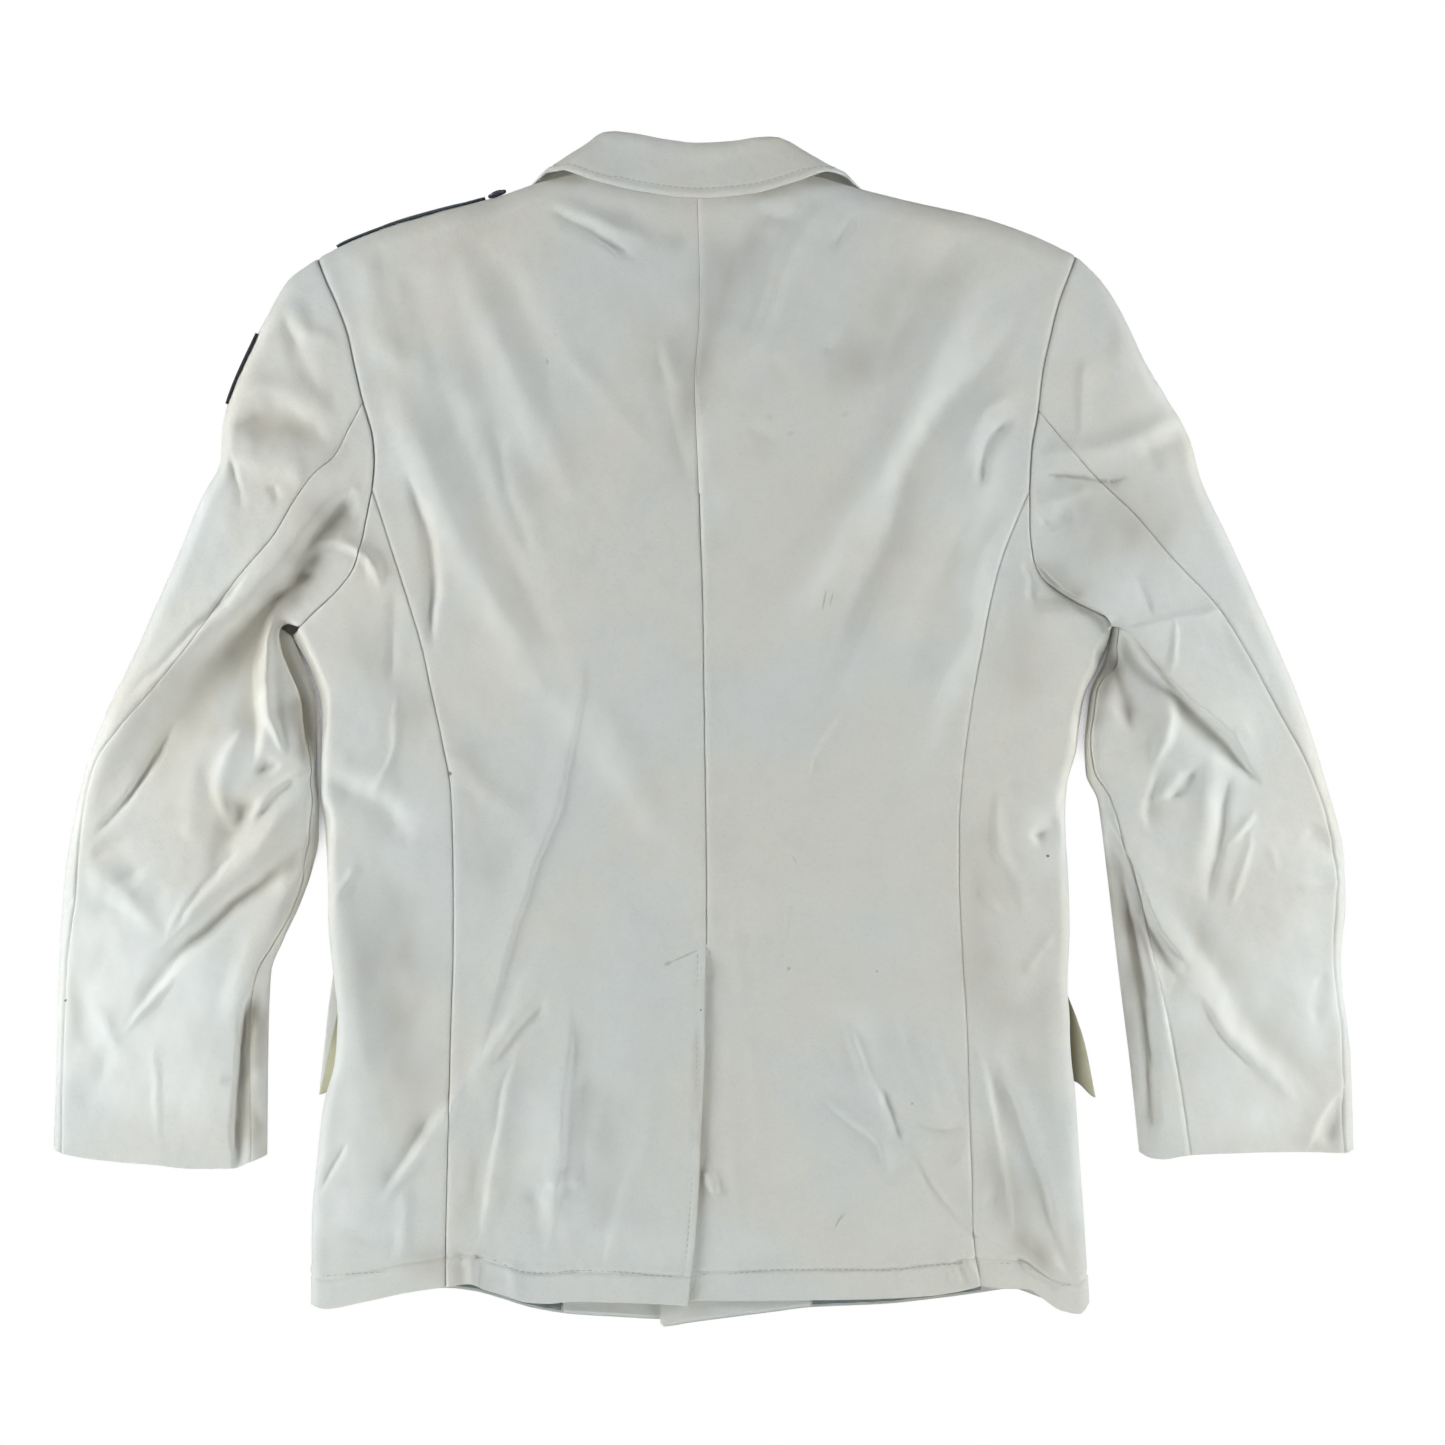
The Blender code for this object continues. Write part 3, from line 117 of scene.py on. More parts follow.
HEM_FRONT_L = [(-215, -386), (-204, -384.6), (-176.4, -382.2), (-157, -384.3), (-138, -389.5), (-118, -395.6),
               (-90, -399.9), (-60, -401.4), (-30, -403), (10, -403)]
HEM_FRONT_R = [(-29.5, -405), (-26.4, -407.6), (-14, -405.5), (16, -401.4), (46, -397.6), (72, -394.5),
               (121, -393.2), (162, -389.1), (212, -382)]
EDGE_FRONT_L = [(10, -403), (10, -250), (10, 60), (7, 108), (-8, 143), (-44, 228), (-76, 318), (-82, 350),
                (-82, 381.5)]
EDGE_FRONT_R = [(-29.5, -405), (-30.4, -392), (-30.4, -250), (-30, 60), (-27, 108), (-10, 146), (30, 236),
                (64, 318), (71, 350), (72, 379.5)]
NECK_L = [(-3.8, 372), (-30, 373), (-60, 376.5), (-82, 381.5)]
NECK_R = [(-3.8, 372), (25, 372.6), (52, 375.5), (72, 379.5)]
HIND_L = [(-231.4, 222), (-243, 200), (-250.4, 186), (-264, 174.7), (-276.4, 157.6), (-290, 133.6),
          (-317.5, 100.7), (-352.4, 53.4), (-374.4, 26.7), (-399.7, -3.4), (-415, -32), (-424, -73),
          (-427, -113), (-433, -157), (-436, -207), (-438, -288)]
HIND_R = [(227.6, 216.5), (245.6, 195), (268, 170), (292, 147), (319.6, 115), (350.4, 82), (369.6, 51),
          (388.7, 16.4), (412, -27), (424, -60), (431, -100), (429, -150), (435, -207), (437, -288)]
CUFF_L = [(-444, -286), (-433, -289.8), (-406.5, -293.9), (-373.7, -296.6), (-347.6, -299.2), (-321.6, -299.2),
          (-308.6, -294.5), (-298, -290)]
CUFF_R = [(444, -286), (436.7, -288.4), (409, -287.7), (348, -289.1), (326.4, -290.4), (314, -292.5),
          (304, -291.5), (297.6, -288)]

# ---- heights of the upper surface, and how far in the forearm seam lies ----
# y, height of the back, height of the sleeves, forearm seam left, forearm seam right
RISE = [(-400, 16.0, 14.5, 10.0, 28.5),
        (-290, 19.0, 15.5, 10.0, 28.5),
        (-200, 21.5, 19.0, 12.5, 27.0),
        (-120, 23.0, 22.0, 3.0, 20.0),
        (0, 24.0, 25.0, 3.0, 3.0),
        (120, 26.0, 27.0, 3.0, 3.0),
        (240, 26.0, 26.0, 3.0, 3.0),
        (330, 23.0, 23.0, 3.0, 3.0),
        (385, 21.0, 21.0, 3.0, 3.0)]

# ---- collar sections, left gorge to right gorge: roll line, free edge, neck seam ----
# roll x, y, z, edge x, y, z, seam x, y, z
COLLAR = [(-78, 322, 0.2, -121, 300, 0.0, -84, 325, 7.4),
          (-75, 352, 0.6, -131, 330, 0.0, -83, 352, 7.8),
          (-71, 388, 1.4, -127, 357, 0.1, -74.5, 377, 8.8),
          (-69.5, 403, 10.5, -113, 378.0, 7.0, -78, 389.0, 12.6),
          (-67, 407.5, 17.0, -107, 381.0, 16.5, -78, 388, 16.5),
          (-61, 407.4, 21.5, -97, 380.8, 25.2, -73, 384, 20.4),
          (-46, 405.4, 22.8, -76, 373.6, 27.0, -58, 379.4, 21.0),
          (-24, 401.4, 22.8, -41, 365.2, 27.0, -32, 376.2, 21.0),
          (-4, 399.2, 22.8, -4, 361.0, 26.6, -4, 375.3, 21.0),
          (18, 400.3, 22.8, 30, 363.4, 27.4, 24, 375.9, 21.0),
          (36, 402.8, 22.8, 62, 371.8, 27.8, 48, 378.2, 21.0),
          (47, 403.6, 21.5, 86, 380.2, 25.2, 63, 382.6, 20.4),
          (53, 402.6, 17.0, 97, 379.0, 16.5, 68, 385.6, 16.5),
          (58, 397, 10.5, 104, 374.5, 7.0, 68, 386.8, 12.6),
          (60, 384, 1.4, 117, 356, 0.1, 64.5, 375, 8.8),
          (63, 352, 0.6, 121, 330, 0.0, 71.5, 352, 7.8),
          (66, 322, 0.2, 110, 300, 0.0, 72, 325, 7.4)]

# ---- lapels, lower end to gorge: roll x, y, outer edge x, y ----
LAPEL_L = [(3.5, 112, -2.5, 112), (-6, 136, -32, 134), (-24, 178, -68, 176), (-42, 220, -97, 226),
           (-60, 266, -117, 272), (-78, 319.5, -121, 297.5)]
LAPEL_R = [(-3.5, 158, 4.5, 158), (6, 180, 32, 176), (22, 215, 62, 206), (36, 246, 86, 240),
           (50, 280, 106, 275), (66, 319.5, 110, 297.5)]

# ---- pocket flaps: rear edge x, y, front edge x, y, from the top edge down ----
FLAP_L = [(-253.5, -166, -108, -168), (-256.8, -190, -108, -190), (-259.5, -214, -108, -210),
          (-263.4, -250, -108, -226)]
FLAP_R = [(247, -176, 108, -168), (255.5, -197, 108, -190), (261, -214, 108, -210),
          (268.6, -252, 108, -226)]

# ---- shoulder boards: along the shoulder from the sleeve end, x, how far round the fold
# the upper edge starts (0 is the outermost line), width below ----
BOARD_L = [(-250, 0.03, 40.0), (-230, 0.08, 42.0), (-195, 0.10, 40.0), (-166, 0.08, 36.0), (-149, 0.02, 28.0)]
BOARD_R = [(242, -0.9, 38.0), (220, -0.9, 40.0), (185, -0.9, 38.0), (160, -0.9, 34.0), (146, -0.9, 26.0)]
PATCH_L = [(0.104, 0.05, 34.0), (0.118, 0.12, 48.0), (0.144, 0.12, 54.0), (0.170, 0.11, 48.0),
           (0.184, 0.03, 34.0)]

SMALL_BUTTON_R = (134.0, 339.0)
FRONT_BUTTONS = [(-10, 85), (-10, 0), (-10, -85), (-10, -170)]      # x, y
STRIPS = [("lining_left", -186, -97, THIN), ("facing_left", -96, 9, THIN),
          ("facing_right", -29.6, 73, THIN), ("lining_right", 74, 190, THIN)]   # name, x from, x to, thickness
STRIP_TALL = 34.0


# ---- curves --------------------------------------------------------------
def smooth(a):
    a = np.clip(a, 0.0, 1.0)
    return a * a * (3.0 - 2.0 * a)


def hermite(ts, vs, q):
    """Smooth curve through the rows, value columns vs at parameters ts."""
    ts = np.asarray(ts, float)
    vs = np.asarray(vs, float)
    h = np.diff(ts)
    d = np.diff(vs, axis=0) / h[:, None]
    m = np.zeros_like(vs)
    m[0], m[-1] = d[0], d[-1]
    for i in range(1, len(ts) - 1):
        a, b = d[i - 1], d[i]
        w1, w2 = 2 * h[i] + h[i - 1], h[i] + 2 * h[i - 1]
        same = a * b > 0
        m[i] = np.where(same, (w1 + w2) / (w1 / np.where(same, a, 1) + w2 / np.where(same, b, 1)), 0.0)
    q = np.clip(np.asarray(q, float), ts[0], ts[-1])
    i = np.clip(np.searchsorted(ts, q, side="right") - 1, 0, len(ts) - 2)
    s = ((q - ts[i]) / h[i])[..., None]
    hh = h[i][..., None]
    return ((1 + 2 * s) * (1 - s) ** 2 * vs[i] + s * (1 - s) ** 2 * hh * m[i]
            + s * s * (3 - 2 * s) * vs[i + 1] + s * s * (s - 1) * hh * m[i + 1])


class Curve:
    """A smooth line through table rows, asked for by its share of length."""

    def __init__(self, rows, fine=240):
        p = np.asarray(rows, float)
        t = np.r_[0.0, np.cumsum(np.linalg.norm(np.diff(p, axis=0), axis=1))]
        self.p = hermite(t, p, np.linspace(0, t[-1], fine))
        self.t = np.r_[0.0, np.cumsum(np.linalg.norm(np.diff(self.p, axis=0), axis=1))]
        self.length = self.t[-1]
        self.t = self.t / self.length

    def at(self, t):
        t = np.clip(np.asarray(t, float), 0, 1)
        return np.stack([np.interp(t, self.t, self.p[:, k]) for k in range(self.p.shape[1])], axis=-1)

    def share_at(self, value, axis=1):
        a = self.p[:, axis]
        return float(self.t[int(np.argmin(np.abs(a - value)))])

    def cut(self, t0, t1):
        c = Curve.__new__(Curve)
        q = self.at(np.linspace(t0, t1, len(self.p)))
        c.p = q
        c.t = np.r_[0.0, np.cumsum(np.linalg.norm(np.diff(q, axis=0), axis=1))]
        c.length = c.t[-1]
        c.t = c.t / c.length
        return c

    def back(self):
        return self.cut(1.0, 0.0)


class Joined:
    """Two lines end to end, the first one up to the share given."""

    def __init__(self, a, b, share):
        self.a, self.b, self.share = a, b, share

    def at(self, t):
        t = np.asarray(t, float)
        s = self.share
        return np.where((t < s)[..., None], self.a.at(t / s), self.b.at((t - s) / (1 - s)))


def coons(left, right, low, top, u, v, reach=None):
    """Grid points between four lines; u runs from left to right, v from low to top.
    reach: share of v over which the low and top lines' own bow dies out."""
    L, R, B, T = left.at(v), right.at(v), low.at(u), top.at(u)
    u = u[..., None]
    v = v[..., None]
    z, o = np.zeros(1), np.ones(1)
    c00, c10, c01, c11 = left.at(z)[0], right.at(z)[0], left.at(o)[0], right.at(o)[0]
    a, b = (1 - v, v) if reach is None else (1 - smooth(v / reach), smooth((v - 1 + reach) / reach))
    return ((1 - u) * L + u * R + a * (B - (1 - u) * c00 - u * c10) + b * (T - (1 - u) * c01 - u * c11))


C = {k: Curve(v) for k, v in dict(
    shoulder_l=SHOULDER_L, shoulder_r=SHOULDER_R, out_l=SLEEVE_OUT_L, out_r=SLEEVE_OUT_R,
    in_l=SLEEVE_IN_L, in_r=SLEEVE_IN_R, body_l=BODY_L, body_r=BODY_R, arm_l=ARM_BACK_L, arm_r=ARM_BACK_R,
    arm_low_l=ARM_LOW_L, arm_low_r=ARM_LOW_R, front_arm_l=ARM_FRONT_L, front_arm_r=ARM_FRONT_R,
    front_arm_low_l=ARM_FRONT_LOW_L, front_arm_low_r=ARM_FRONT_LOW_R, seam_l=SIDE_SEAM_L, seam_r=SIDE_SEAM_R,
    under_l=UNDER_SEAM_L, under_r=UNDER_SEAM_R, centre=CENTRE, vent=VENT_EDGE, hem_back_l=HEM_BACK_L,
    hem_back_r=HEM_BACK_R, hem_side_l=HEM_SIDE_L, hem_side_r=HEM_SIDE_R, hem_front_l=HEM_FRONT_L,
    hem_front_r=HEM_FRONT_R, edge_l=EDGE_FRONT_L, edge_r=EDGE_FRONT_R, neck_l=NECK_L, neck_r=NECK_R,
    hind_l=HIND_L, hind_r=HIND_R, cuff_l=CUFF_L, cuff_r=CUFF_R).items()}

FOLDS = [(C["shoulder_l"].back(), FOLD_SHOULDER, -1), (C["shoulder_r"].back(), FOLD_SHOULDER, 1),
         (C["out_l"], FOLD_SLEEVE, 1), (C["out_r"], FOLD_SLEEVE, -1),
         (C["in_l"], FOLD_SLEEVE, -1), (C["in_r"], FOLD_SLEEVE, 1),
         (C["body_l"], FOLD_BODY, 1), (C["body_r"], FOLD_BODY, -1)]


def fold_field(xy):
    """For each point: nearness to a fold (1 on its outermost line, 0 clear of it), the way in, its reach."""
    shape = xy.shape[:-1]
    p = xy.reshape(-1, 2)
    best = np.full(len(p), 1e9)
    way = np.zeros((len(p), 2))
    reach = np.ones(len(p))
    for curve, r, turn in FOLDS:
        for first in range(0, len(curve.p) - 1, 16):
            a, b = curve.p[first:first + 16], curve.p[first + 1:first + 17]
            a = a[:len(b)]
            lo, hi = np.minimum(a, b).min(0) - r, np.maximum(a, b).max(0) + r
            pick = np.flatnonzero(((p > lo) & (p < hi)).all(1))
            if not len(pick):
                continue
            q = p[pick]
            ab = b - a
            ll = (ab ** 2).sum(1)
            t = np.clip(((q[:, None] - a) * ab).sum(2) / ll, 0, 1)
            near = a + t[..., None] * ab
            dist = np.linalg.norm(q[:, None] - near, axis=2)
            j = dist.argmin(1)
            k = np.arange(len(q))
            d = dist[k, j]
            side = np.stack([-ab[j, 1], ab[j, 0]], 1) / np.sqrt(ll[j])[:, None] * turn
            off = q - near[k, j]
            g = np.where((d > 0.05)[:, None], off / np.maximum(d, 1e-9)[:, None], side)
            i = pick[d / r < best[pick]]
            m = d / r < best[pick]
            best[i], way[i], reach[i] = (d / r)[m], g[m], r
    k = np.clip(1 - best, 0, 1)
    return k.reshape(shape), way.reshape(shape + (2,)), reach.reshape(shape)


def column(y, k):
    t = np.asarray(RISE, float)
    return hermite(t[:, 0], t[:, k:k + 1], y)[..., 0]


_EDGE_L = np.vstack([C["body_l"].p[::-1], C["arm_low_l"].back().p[1:], C["arm_l"].p[1:]])
_EDGE_R = np.vstack([C["body_r"].p[::-1], C["arm_low_r"].back().p[1:], C["arm_r"].p[1:]])


def plateau(xy):
    """Height of the upper surface away from the folds."""
    x, y = xy[..., 0], xy[..., 1]
    edge = np.where(x < 0, -np.interp(y, _EDGE_L[:, 1], _EDGE_L[:, 0]), np.interp(y, _EDGE_R[:, 1], _EDGE_R[:, 0]))
    w = smooth((np.abs(x) - edge) / 60.0)
    return (1 - w) * column(y, 1) * (1 - 0.08 * (x / 250.0) ** 2) + w * column(y, 2) * 0.97


def inside_dist(xy, poly):
    """Distance outside a polygon, 0 within it."""
    p = xy.reshape(-1, 2)
    a = np.asarray(poly, float)
    b = np.roll(a, -1, axis=0)
    ab = b - a
    t = np.clip(((p[:, None] - a) * ab).sum(2) / (ab ** 2).sum(1), 0, 1)
    d = np.linalg.norm(p[:, None] - (a + t[..., None] * ab), axis=2).min(1)
    x, y = p[:, 0:1], p[:, 1:2]
    cross = ((a[:, 1] > y) != (b[:, 1] > y)) & (
        x < (b[:, 0] - a[:, 0]) * (y - a[:, 1]) / np.where(b[:, 1] == a[:, 1], 1e-9, b[:, 1] - a[:, 1]) + a[:, 0])
    d[cross.sum(1) % 2 == 1] = 0.0
    return d.reshape(xy.shape[:-1])


def ring(rows):
    """Closed outline from rows of two points each."""
    r = np.asarray(rows, float)
    return np.vstack([r[:, :2], r[::-1, 2:4]])


def disc(x, y, r, n=16):
    a = np.linspace(0, 2 * np.pi, n, endpoint=False)
    return np.stack([x + r * np.cos(a), y + r * np.sin(a)], 1)


_COL = np.asarray(COLLAR, float)
# outlines of what lies beneath each front, how far it raises the front, how gently the front comes down
UNDER_L = [(ring(LAPEL_L), WALL + REST, LIFT_RUN), (ring(FLAP_L), WALL + REST, LIFT_RUN),
           (np.vstack([_COL[:4, 0:2], _COL[3::-1, 3:5]]), WALL + 5 * REST, LIFT_RUN),
           (np.array([(-22, -420), (14, -420), (14, 98), (-22, 98)]), BUTTON_T + REST, 2 * LIFT_RUN)]
UNDER_R = [(ring(LAPEL_R), WALL + REST, LIFT_RUN), (ring(FLAP_R), WALL + REST, LIFT_RUN),
           (np.vstack([_COL[-4:, 0:2], _COL[:-5:-1, 3:5]]), WALL + 5 * REST, LIFT_RUN),
           # the left front with its buttons, and its facing
           (np.array([(-40, -420), (12, -420), (12, 112), (-4, 146), (-40, 150)]),
            BUTTON_T + WALL + THIN + 6 * REST, 3 * LIFT_RUN)]


def board_outline(rows, shoulder):
    out = []
    for x, start, wide in rows:
        t = shoulder.share_at(x, 0)
        p = shoulder.at(t)
        q = shoulder.at(min(t + 0.02, 1.0)) - shoulder.at(max(t - 0.02, 0.0))
        n = np.array([q[1], -q[0]]) / np.hypot(*q)
        n = n if n[1] < 0 else -n
        out.append(tuple(p) + tuple(p + n * wide))
    return out


UNDER_R += [(disc(*SMALL_BUTTON_R, SMALL_BUTTON_D / 2), SMALL_BUTTON_T + REST, LIFT_RUN)]
UNDER_L += [(ring(board_outline(BOARD_L, C["shoulder_l"])), BOARD + 2 * REST, LIFT_RUN)]
UNDER_R += [(ring(board_outline(BOARD_R, C["shoulder_r"])), BOARD + 2 * REST, LIFT_RUN)]
PATCH_AREA = ring([tuple(C["out_l"].at(t)) + tuple(C["out_l"].at(t) + np.array([0.85, -0.52]) * w)
                   for t, _, w in PATCH_L])


def lift(xy, side):
    """How far what lies beneath raises a front's outer face. side: 'l' or 'r'."""
    out = np.zeros(xy.shape[:-1])
    for poly, high, run in (UNDER_L if side == "l" else UNDER_R):
        out = np.maximum(out, high * (1 - smooth((inside_dist(xy, poly) - LIFT_MARGIN) / run)))
    return out


def vent_rise(xy, side):
    """The left back lies over the vent's underlap."""
    x, y = xy[..., 0], xy[..., 1]
    down = smooth((VENT_TOP_Y + 37.0 - y) / 33.0)
    if side == "l":
        return VENT_RISE * down * np.clip((x + 74.0) / 24.0, 0, 1)
    # the right back comes down below the top of the vent
    return VENT_RISE * down * (1 - smooth((x - 6.0) / 26.0)) * (1 - smooth((VENT_TOP_Y - y) / 14.0))


def skin(xy, upper, side, rise=None):
    """Height and outward direction of the outer face at the points."""
    k, way, reach = fold_field(xy)
    w = np.sqrt(np.clip(1 - k * k, 0, 1))
    full = plateau(xy)
    mid = FOLD_MID * full
    step = 1.0

    def body(q):
        if upper:
            return plateau(q) + (rise(q) if rise else 0.0)
        return lift(q, side)

    far = body(xy)
    gx = (body(xy + [step, 0]) - body(xy - [step, 0])) / (2 * step)
    gy = (body(xy + [0, step]) - body(xy - [0, step])) / (2 * step)
    tall = (far - mid) if upper else (mid - far)
    sign = 1.0 if upper else -1.0
    z = mid + sign * tall * w
    slope = k * tall / reach
    n = np.stack([-way[..., 0] * slope - sign * w * gx, -way[..., 1] * slope - sign * w * gy, sign * w], -1)
    n /= np.linalg.norm(n, axis=-1, keepdims=True)
    return np.concatenate([xy, z[..., None]], -1), n


